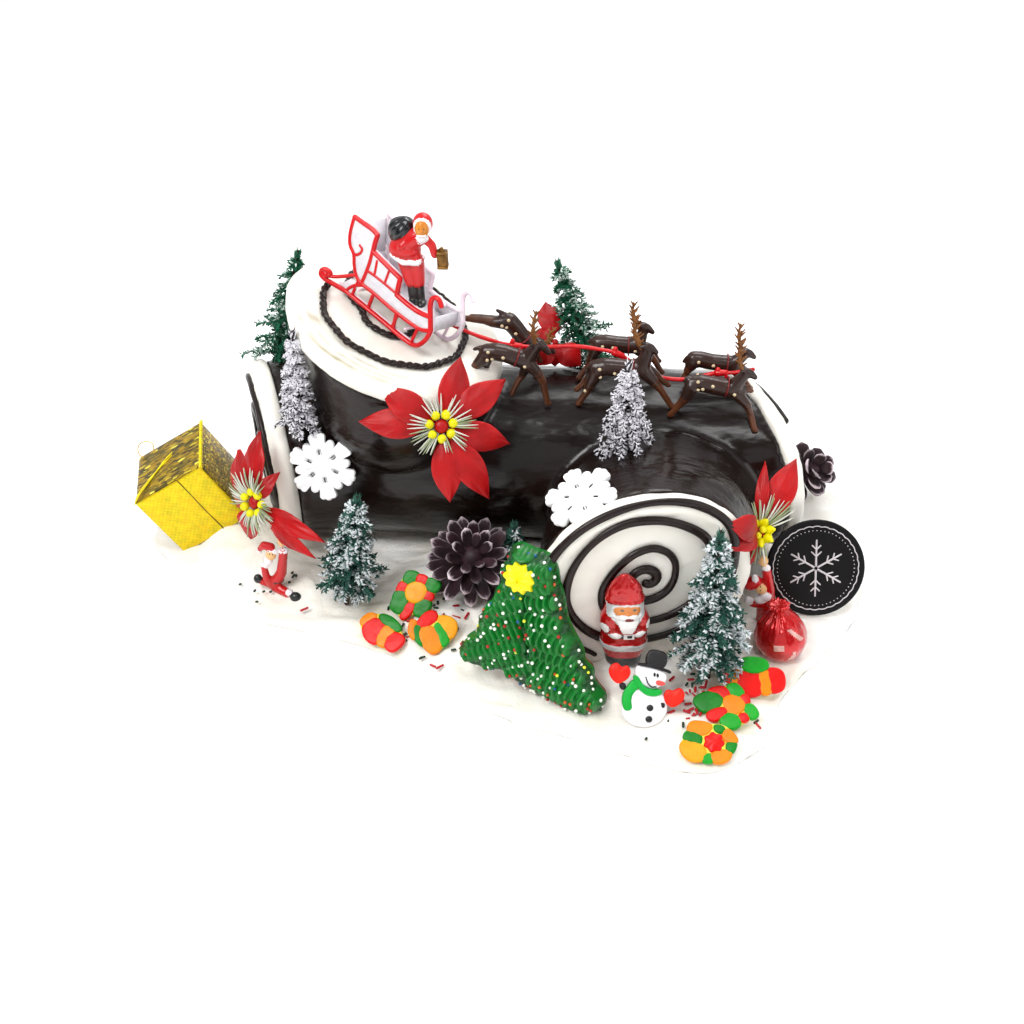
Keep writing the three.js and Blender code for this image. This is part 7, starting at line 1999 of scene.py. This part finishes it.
def sleigh():
    Q = {k: list(v) for k, v in SLEIGH_LINES.items()}
    for k in ("runner", "curl", "upbar", "arc"):
        Q[k] = [(x, max(y, 0.9)) for x, y in Q[k]]
    Q["curl"] = [(-51.2, 0.9), (-54.4, 0.9), (-57.6, 1.0), (-60.0, 2.0), (-60.2, 4.2), (-58.8, 5.6), (-56.6, 5.6), (-55.6, 4.4), (-56.4, 3.4)]
    Q["upbar"] = [(-58.6, 2.4), (-54.2, 4.2), (-50.6, 6.6), (-45.1, 11.0)]
    # one side, cut out of sheet: back, rail and body in a single outline
    side = Q["back_left"][::-1] + Q["back_top"][1:] + Q["back_right"][1:3] + Q["rail_up"][1:] + [(4.5, 13.7)] + Q["rail_low"][::-1][1:-1]
    s = Skin()
    for z, red in ((Z_NEAR, True), (Z_FAR, False)):
        dx = 0.0 if red else 2.0
        o = np.array(side) + A(dx, 0)
        v, f = plate(o, 1.3, 0.3, 2)
        s.add((v + A(0, 0, z - 0.65), f), 0, SLEIGH_M)
        for name, pts in Q.items():
            r = 1.2 if name not in ("scroll", "win_low", "div1", "div2", "strut1", "strut2", "upbar", "arc") else 0.95
            if name == "back_left":
                pts = pts + [(-38.5, 9.9)]
            out_ = (lambda x: 4.6 * min(1.0, max(0.0, (-45.0 - x) / 14.0)) if red else 0.0) if name in ("runner", "curl", "upbar") else (lambda x: 0.0)
            P = catmull([(x + dx, y, z + out_(x)) for x, y in pts], max(14, 5 * len(pts))) if name != "rail_up" else \
                np.vstack([catmull([(x + dx, y, z) for x, y in Q["rail_up"][0:3]], 16), catmull([(x + dx, y, z) for x, y in Q["rail_up"][2:5]], 12)[1:], catmull([(x + dx, y, z) for x, y in Q["rail_up"][4:]], 22)[1:]])
            s.add(sweep(P, r, r * 1.15, 9), 1 if red else 2, SLEIGH_M)
        for x in (-42.0, -31.2, -14.8, -2.0):
            s.add(limb((x + dx, 1.0, z), (x + dx, 9.6, z), 0.85, 0.85, 8, 2), 1 if red else 2, SLEIGH_M)
        if red:
            # the curl at the tail is filled in
            s.add(ball(-58.0, 3.1, z + 4.6, 2.2, 2.0, 1.1, 16, 10), 1, SLEIGH_M)
            # pale inner edge that shows beside the red
            for k in ("runner", "rail_low", "front"):
                P = catmull([(x, y + 0.3, z - 1.5) for x, y in Q[k]], 40)
                s.add(sweep(P, 1.0, 1.2, 8), 2, SLEIGH_M)
            P = np.vstack([catmull([(x, y, z - 1.5) for x, y in Q["rail_up"][i:j]], 16) for i, j in ((0, 3), (2, 5), (4, 8))])
            s.add(sweep(P, 1.0, 1.2, 8), 2, SLEIGH_M)
            # a milky web between the runner and the body at the tail
            for o in ([(-51, 1), (-42, 1), (-40.5, 9.6), (-46, 8.4)],):
                v, f = plate(o, 1.0, 0.2, 1)
                s.add((v + A(0, 0, z - 0.5), f), 0, SLEIGH_M)
    w = Z_NEAR - Z_FAR
    zc = (Z_NEAR + Z_FAR) / 2

    def sheet(p, q, t=1.0):
        (x0, y0), (x1, y1) = p, q
        d = unit(A(x1 - x0, y1 - y0))
        n = A(-d[1], d[0]) * t / 2
        o = [(x0 - n[0], y0 - n[1]), (x1 - n[0], y1 - n[1]), (x1 + n[0], y1 + n[1]), (x0 + n[0], y0 + n[1])]
        v, f = plate(o, w - 1.4, 0.2, 1)
        return v + A(1.0, 0, zc - (w - 1.4) / 2), f

    s.add(sheet((-43, 10.6), (2, 10.9)), 0, SLEIGH_M)
    s.add(sheet((-57.2, 33.5), (-50.5, 19.0)), 0, SLEIGH_M)
    s.add(sheet((-50.5, 19.0), (-43.0, 11.0)), 0, SLEIGH_M)
    s.add(sheet((2.4, 11.4), (0.2, 18.0)), 0, SLEIGH_M)
    for x in (-40, -8):
        s.add(limb((x, 5.5, Z_NEAR), (x + 2, 5.5, Z_FAR), 0.7, 0.7, 8, 2), 2, SLEIGH_M)
    return s


SLEIGH_MILK = material("milky plastic", srgb(222, 220, 224), 0.4, vary=0.7, second=srgb(198, 196, 202), vsize=1.6, fine=0.35, fsize=0.5, sss=0.3, sss_radius=(1, 0.9, 1), coat=0.2)
SLEIGH_RED = material("sleigh red", srgb(204, 8, 18), 0.34, vary=0.4, second=srgb(176, 4, 12), vsize=4, coat=0.2, spec=0.4)
SLEIGH_LILAC = material("sleigh lilac", srgb(238, 220, 230), 0.35, sss=0.3, sss_radius=(1, 0.8, 1))
piece("sleigh_plastic_body", sleigh(), [SLEIGH_MILK, SLEIGH_RED, SLEIGH_LILAC], ["sleigh"])


# ---------------------------------------------------------------- the rider with sack and lantern
def rider():
    RED, WHITE, SKIN, BLACK = 0, 1, 2, 3
    prims = [
        L(RED, (-4.0, 0.5, 22), (-1.8, -1.8, 11.5), 4.3, 3.1), L(RED, (1.2, -0.5, 22), (2.0, -2.6, 11.5), 3.9, 3.0),
        L(BLACK, (-1.6, -2.2, 10.2), (-1.4, -2.8, 2.6), 2.4, 2.1), L(BLACK, (2.2, -2.8, 10.2), (2.5, -3.4, 2.6), 2.4, 2.1),
        B(BLACK, -1.4, -4.4, 1.7, 2.4, 3.6, 1.7), B(BLACK, 2.9, -5.0, 1.7, 2.5, 3.8, 1.7),
        L(RED, (-6.0, 0.8, 28.0), (2.2, -0.4, 34.2), 5.6, 4.9), B(RED, -3.2, 0, 27.6, 7.2, 5.6, 5.0),
        L(RED, (-8.2, 0.2, 27.6), (0.8, -1.0, 24.8), 3.4, 3.3),
        L(WHITE, (-10.0, -1.8, 25.6), (-4.6, -4.4, 22.8), 1.25, 1.3), L(WHITE, (-4.6, -4.4, 22.8), (2.4, -4.0, 22.6), 1.3, 1.25),
        L(WHITE, (2.4, -4.0, 22.6), (4.6, 0.5, 23.4), 1.25, 1.1), L(WHITE, (-10.0, -1.8, 25.6), (-9.6, 3.2, 26.0), 1.2, 1.1),
        B(RED, 5.5, 0.0, 41.0, 4.8, 4.5, 5.3), L(RED, (4.4, 1.5, 37), (1.5, 1.2, 32.0), 3.6, 3.4),
        B(WHITE, 5.5, -2.4, 40.6, 4.25, 2.9, 4.6), B(SKIN, 5.5, -4.0, 40.1, 3.3, 2.6, 4.2),
        B(WHITE, 5.0, -3.4, 35.6, 3.2, 2.4, 2.5), B(WHITE, 4.4, -3.4, 34.0, 2.0, 1.8, 1.7),
        L(RED, (5.6, -1.0, 34.6), (9.5, -2.4, 31.0), 2.3, 2.0), L(RED, (9.5, -2.4, 31.0), (10.6, -3.4, 26.8), 2.0, 1.8),
        L(RED, (-1.0, -1.6, 33.6), (-4.6, -3.4, 30.8), 2.6, 2.3),
    ]
    (v, f), m = figure(prims, 0.5, 2)
    M = shift(-68.5, -9.5, 141.5)
    s = Skin().add((v, f), m, M)
    # sack gathered over the shoulder, with folds
    n, k = 56, 30
    th = np.linspace(0, 2 * np.pi, n, endpoint=False)
    rings = []
    for i in range(k + 1):
        u = i / k
        r = 6.6 * math.sin(math.pi * min(0.985, 0.015 + u * 0.93)) ** 0.62
        rr = r * (1 + 0.055 * np.cos(11 * th) * math.sin(math.pi * u))
        rings.append(np.c_[rr * np.cos(th), rr * np.sin(th) * 0.88, np.full(n, -7.2 + 14.4 * u)])
    s.add(loft(np.array(rings)), 4, M @ shift(-5.2, 3.0, 35.6) @ turn("Y", 38))
    s.add(limb((-2.0, 1.4, 32.4), (1.4, -0.6, 35.8), 2.2, 1.5, 12, 3), 4, M)
    # features
    for dx in (-1.15, 1.25):
        s.add(ball(5.5 + dx, -6.3, 41.3, 0.3, 0.22, 0.28, 8, 6), 3, M)
    s.add(ball(5.6, -6.7, 40.4, 0.75, 0.6, 0.75, 10, 8), 2, M)
    s.add(limb((3.9, -5.7, 37.6), (7.1, -5.7, 37.6), 0.7, 0.7, 8, 2), 1, M)
    # lantern
    s.add(block(14.2, -3.6, 24.4, 4.4, 4.0, 6.2, 0.5), 5, M)
    s.add(block(14.2, -3.6, 28.2, 5.0, 4.6, 1.3, 0.4), 5, M)
    s.add(block(14.2, -3.6, 20.9, 5.2, 4.8, 1.4, 0.4), 5, M)
    s.add(limb((14.2, -3.6, 28.6), (14.2, -3.6, 30.4), 1.6, 0.6, 12, 3), 5, M)
    s.add(limb((10.8, -3.6, 27.6), (14.0, -3.6, 30.6), 0.5, 0.5, 8, 2), 5, M)
    for x in (-1, 1):
        for y in (-1, 1):
            s.add(limb((14.2 + 2.1 * x, -3.6 + 1.9 * y, 21.4), (14.2 + 2.1 * x, -3.6 + 1.9 * y, 27.8), 0.42, 0.42, 6, 1), 5, M)
    return s


RIDER_SKIN = material("rider face", srgb(218, 142, 36), 0.34, vary=0.8, second=srgb(186, 104, 22), vsize=1.6, coat=0.2, bump=0.5, bsize=1.2)
SACK = material("black sack", srgb(14, 17, 20), 0.24, coat=0.4, bump=0.2, bsize=1.4)
LANTERN = material("gold lantern", srgb(136, 98, 44), 0.32, metal=0.6, vary=0.8, second=srgb(70, 44, 16), vsize=2)
piece("sleigh_rider", rider(), [FIG_RED, FIG_WHITE, RIDER_SKIN, FIG_BLACK, SACK, LANTERN], ["sleigh_santa"])


# ---------------------------------------------------------------- six reindeer and their rein
def reindeer(h):
    BROWN, LEG, HORN, REDM, SPOT, EYEM = 0, 1, 2, 3, 4, 5
    prims = []

    def chain(pts, mat, squash=1.0):
        for a, b in zip(pts[:-1], pts[1:]):
            prims.append(L(mat, a[:3], b[:3], a[3] * squash, b[3] * squash))

    chain(h["spine"], BROWN, 0.98)
    chain([h["spine"][-1][:3] + (h["neck"][0][3],)] + h["neck"], BROWN)
    chain([h["neck"][-1]] + h["head"], BROWN)
    chain([h["spine"][0][:3] + (2.6,)] + h["tail"], BROWN)
    for leg in h["legs"]:
        chain(leg[:2], BROWN)
        chain(leg[1:], LEG)
        x, y, z, r = leg[-1]
        prims.append(B(LEG, x + 0.3, y, z, r * 1.25, r, r * 0.95))
    ex, ey, ez = h["ear"]
    for sg in (-1, 1):
        prims.append(L(BROWN, (ex, ey + sg * 1.4, ez), (ex - 2.2, ey + sg * 3.4, ez + 0.6), 0.95, 0.5))
    (v, f), m = figure(prims, 0.55, 2)
    s = Skin().add((v, f), m)
    tree = BVHTree.FromPolygons([tuple(p) for p in v], [tuple(int(i) for i in q) for q in f])
    # spots of paint on both flanks
    for p in h["spots"]:
        d = unit(A(*p) - EYE)
        hit = tree.ray_cast(Vector(EYE), Vector(d))
        if hit[0] is None:
            continue
        q, n = A(*hit[0]), A(*hit[1])
        s.add(ball(*(q - n * 0.1), 0.92, 0.6, 0.92, 10, 6), SPOT)
        far = tree.ray_cast(Vector((q[0], q[1] + 30, q[2])), Vector((0, -1, 0)))
        if far[0] is not None:
            s.add(ball(*A(*far[0]), 0.92, 0.6, 0.92, 10, 6), SPOT)
    # antlers with their points
    (ax, ay, az), (tx, ty, tz) = h["antler"]
    for sg in (-1, 1):
        a, b = A(ax, ay + 1.0 * sg, az), A(tx, ty + 3.2 * sg, tz)
        mid = (a + b) / 2 + A(-1.4, 1.2 * sg, 0)
        beam = catmull([tuple(a - A(0, 0, 1.2)), tuple(mid), tuple(b)], 24)
        s.add(sweep(beam, np.linspace(1.05, 0.5, 24), None, 8), HORN)
        H = np.linalg.norm(b - a)
        for i, dx, dz in ((6, 2.6, 2.4), (10, -2.2, 2.4), (13, 2.8, 3.2), (16, -1.8, 2.2), (19, 2.0, 2.6), (21, -1.2, 1.8)):
            p = beam[i]
            k = min(1.0, H / 11)
            s.add(limb(tuple(p), (p[0] + dx * k, p[1] + 0.6 * sg, p[2] + dz * k), 0.62, 0.34, 7, 2), HORN)
    # band round the body
    if "girth" in h:
        gx, gy, gz = h["girth"]
        j = min(range(len(h["spine"])), key=lambda i: abs(h["spine"][i][0] - gx))
        a, b = A(*h["spine"][max(0, j - 1)][:3]), A(*h["spine"][min(len(h["spine"]) - 1, j + 1)][:3])
        d = unit(b - a)
        side = A(0, 1, 0)
        up = unit(np.cross(d, side))
        r = h["spine"][j][3] + 0.12
        t = np.linspace(0, 2 * np.pi, 40)
        band = A(gx, gy, gz) + np.outer(np.cos(t), side) * r + np.outer(np.sin(t), up) * r
        s.add(sweep(band, 0.55, 0.4, 8, round_ends=False), REDM)
    n1, n2 = A(*h["head"][-1][:3]), A(*h["head"][1][:3])
    s.add(ball(*n1, 1.15, 1.15, 0.95, 10, 8), EYEM)
    for sg in (-1, 1):
        s.add(ball(n2[0], n2[1] + sg * 1.85, n2[2] + 0.5, 0.42, 0.32, 0.42, 8, 6), EYEM)
    return s


DEER_BROWN = material("deer brown", srgb(50, 28, 20), 0.34, vary=0.7, second=srgb(34, 18, 13), vsize=6, coat=0.3, coat_rough=0.18, spec=0.35)
DEER_LEG = material("deer leg", srgb(96, 52, 26), 0.36, vary=0.8, second=srgb(50, 26, 15), vsize=7, coat=0.2, spec=0.35)
DEER_HORN = material("deer antler", srgb(132, 84, 40), 0.45, vary=0.6, second=srgb(84, 48, 22), vsize=3, spec=0.35)
DEER_RED = material("deer harness", srgb(112, 16, 16), 0.4)
DEER_SPOT = material("deer spot", srgb(216, 196, 158), 0.5)
for name, h in HERD.items():
    piece(name.replace("reindeer", "deer"), reindeer(h), [DEER_BROWN, DEER_LEG, DEER_HORN, DEER_RED, DEER_SPOT, FIG_BLACK], [name])


def rein():
    P = catmull(REIN_LINE, 190)
    u = np.linspace(0, 1, 190)
    w = 1.0 + 0.1 * np.sin(u * 60)
    s = Skin().add(sweep(P, w, w, 12))
    # a lump where each pair is hitched
    for i, dz in ((int(190 * 0.225), 2.4), (int(190 * 0.545), 2.0), (int(190 * 0.885), 1.8)):
        p = P[i]
        q = P[min(189, i + 5)]
        s.add(limb(tuple(p), tuple(q), 1.9, 1.5, 12, 3))
        s.add(limb(tuple(p), tuple(p + A(0.2, 0.3, dz)), 1.7, 1.2, 10, 3))
        s.add(limb(tuple(q), tuple(q + A(0.2, -0.8, -1.6)), 1.5, 1.0, 10, 3))
    return s


piece("red_rein", rein(), [SLEIGH_RED], ["rein"])


# ---------------------------------------------------------------- sugar rods scattered over the snow


def on_snow(u, v):
    """The place on the snow that is seen at u, v in the photo's 1024 pixel frame."""
    d = unit(LOOK_F + LOOK_R * (u - 512) / 1295.62 - LOOK_U * (v - 512) / 1295.62)
    z = 8.0
    for _ in range(8):
        p = EYE + d * (z - EYE[2]) / d[2]
        z = ground(p[0], p[1])
    return EYE + d * (z - EYE[2]) / d[2]


def rods():
    rng = np.random.default_rng(8)
    s = Skin()
    # place in the photo, direction there, colour: 0 red, 1 dark green
    spots = [(456, 607, 20, 0), (466.7, 617, 70, 0), (433, 667, -20, 0), (440, 668, 35, 0), (422, 659, 30, 1), (453.6, 651, 10, 1), (457.5, 631, 80, 1),
             (445, 599.5, 40, 1), (434, 607, 60, 1), (436, 609, 0, 1), (438, 604, 100, 1), (388.5, 609.5, 90, 1), (405, 635.5, 30, 1), (411, 637.5, 10, 1), (404.6, 643, 35, 1),
             (408, 617.6, 25, 1), (402.5, 616.5, 50, 0), (410.2, 621.5, 10, 0), (402.8, 626.7, 70, 1), (422.5, 658.6, 20, 1), (456.2, 618.3, 0, 0),
             (240.5, 585.5, 20, 2), (255, 592, 60, 2), (257.2, 603, 0, 2), (264, 592.8, 30, 2), (271, 593, 20, 2), (292.5, 574, 50, 2), (294.5, 576.5, 10, 2), (293, 578, 60, 2), (296.5, 577, 90, 2), (289.6, 583.5, 15, 2),
             (690.6, 680.8, 5, 0), (701.5, 680.5, 60, 0), (706, 685, 75, 0), (695.2, 691, 82, 0), (703, 688.6, 0, 0), (671.7, 680, 45, 0), (687.8, 705, 12, 0),
             (671, 713.3, 25, 0), (686.6, 712.7, -15, 0), (690, 711, 30, 0), (700.9, 714.4, 60, 0), (698, 710.5, 35, 0), (692.6, 675.4, 0, 1), (686.6, 685.5, 60, 1),
             (668.2, 720.8, 80, 1), (683.1, 726.2, 90, 1), (756, 723, 40, 1), (757.5, 726.5, 130, 0), (696.5, 712.5, 100, 0), (680, 703, 20, 0), (694, 684.5, 20, 1),
             (304.5, 610.5, 30, 0), (646, 740, 60, 2)]
    for u, v, deg, kind in spots:
        p = on_snow(u, v)
        if p[2] < 1.0:
            continue
        a = deg * DEG
        d = A(math.cos(a), math.sin(a) * 1.2, 0)
        ln = rng.uniform(1.0, 1.7) if kind == 0 else rng.uniform(0.5, 1.2) if kind == 1 else 0.3
        q0, q1 = p - d * ln, p + d * ln
        q0[2], q1[2] = ground(q0[0], q0[1]) + 0.9, ground(q1[0], q1[1]) + 0.9
        s.add(limb(tuple(q0), tuple(q1), 0.62, 0.62, 8, 3), min(kind, 1))
    for (cx, cy), n, spread in (((697, 694), 13, (13, 20)), ((440, 612), 7, (22, 22)), ((412, 640), 4, (20, 12))):
        for k in range(n):
            p = on_snow(cx + rng.normal() * spread[0] * 0.6, cy + rng.normal() * spread[1] * 0.6)
            kind = 0 if rng.random() < (0.75 if cx > 600 else 0.3) else 1
            a = rng.uniform(0, np.pi)
            d = A(math.cos(a), math.sin(a), 0)
            ln = rng.uniform(0.3, 0.9)
            q0, q1 = p - d * ln, p + d * ln
            q0[2], q1[2] = ground(q0[0], q0[1]) + 0.7, ground(q1[0], q1[1]) + 0.7
            s.add(limb(tuple(q0), tuple(q1), 0.5, 0.5, 8, 2), kind)
    return s


ROD_RED = material("rod red", srgb(176, 16, 30), 0.4)
ROD_GREEN = material("rod green", srgb(24, 52, 36), 0.4)
piece("sugar_rods", rods(), [ROD_RED, ROD_GREEN], [])


# ---------------------------------------------------------------- floor, light and camera
def stage():
    me = bpy.data.meshes.new("floor")
    me.from_pydata([(-9, -9, -0.0004), (9, -9, -0.0004), (9, 9, -0.0004), (-9, 9, -0.0004)], [], [(0, 1, 2, 3)])
    floor = bpy.data.objects.new("floor", me)
    scene.collection.objects.link(floor)
    m = bpy.data.materials.new("floor white")
    m.use_nodes = True
    b = m.node_tree.nodes["Principled BSDF"]
    b.inputs["Base Color"].default_value = (0.9, 0.9, 0.9, 1)
    b.inputs["Roughness"].default_value = 0.7
    b.inputs["Emission Color"].default_value = (1, 1, 1, 1)
    b.inputs["Emission Strength"].default_value = 0.16
    me.materials.append(m)

    world = bpy.data.worlds.new("studio")
    scene.world = world
    world.use_nodes = True
    nt = world.node_tree
    bg = nt.nodes["Background"]
    tc = nt.nodes.new("ShaderNodeTexCoord")
    sep = nt.nodes.new("ShaderNodeSeparateXYZ")
    nt.links.new(tc.outputs["Generated"], sep.inputs["Vector"])
    ramp = nt.nodes.new("ShaderNodeValToRGB")
    ramp.color_ramp.elements[0].position = 0.30
    ramp.color_ramp.elements[0].color = (0.22, 0.22, 0.24, 1)
    ramp.color_ramp.elements[1].position = 0.56
    ramp.color_ramp.elements[1].color = (1, 1, 1, 1)
    add = nt.nodes.new("ShaderNodeMath")
    add.operation = "MULTIPLY_ADD"
    add.inputs[1].default_value = 0.5
    add.inputs[2].default_value = 0.5
    nt.links.new(sep.outputs["Y"], add.inputs[0])
    nt.links.new(add.outputs["Value"], ramp.inputs["Fac"])
    nt.links.new(ramp.outputs["Color"], bg.inputs["Color"])
    bg.inputs["Strength"].default_value = 0.75

    def area(name, pos, target, size, power, color=(1, 1, 1), size_y=None):
        d = bpy.data.lights.new(name, "AREA")
        d.shape = "RECTANGLE"
        d.size, d.size_y = size, size_y or size
        d.energy = power
        d.color = color
        o = bpy.data.objects.new(name, d)
        o.location = pos
        o.rotation_mode = "QUATERNION"
        o.rotation_quaternion = (Vector(target) - Vector(pos)).to_track_quat("-Z", "Y")
        scene.collection.objects.link(o)

    area("key", (-0.55, -0.55, 1.1), (0, 0, 0.05), 0.55, 13)
    area("top", (0.25, 0.55, 0.95), (0, 0, 0.05), 0.6, 7)
    area("fill", (1.1, -0.5, 0.6), (0, 0, 0.05), 0.8, 4)
    area("front", (0.15, -1.25, 0.6), (0, 0, 0.05), 1.2, 3.5)
    area("strip", (0.155, -0.36, 1.01), (0.085, -0.027, 0.082), 0.2, 1.5, size_y=0.22)

    cam = bpy.data.cameras.new("camera")
    cam.sensor_width = 36
    cam.lens = 36 * 1295.62 / 1024
    cam.clip_start, cam.clip_end = 0.02, 20
    ob = bpy.data.objects.new("camera", cam)
    fw = unit(A(-0.0743, 0.7679, -0.6362))
    ri = unit(A(0.9968, 0.0769, -0.0236))
    up = np.cross(ri, fw)
    M = Matrix(((ri[0], up[0], -fw[0], 26.75 * MM), (ri[1], up[1], -fw[1], -551.35 * MM), (ri[2], up[2], -fw[2], 459.8 * MM), (0, 0, 0, 1)))
    ob.matrix_world = M
    scene.collection.objects.link(ob)
    scene.camera = ob
    scene.view_settings.view_transform = "Standard"
    scene.view_settings.look = "None"
    scene.view_settings.exposure = 0.0
    scene.view_settings.gamma = 1.0


stage()
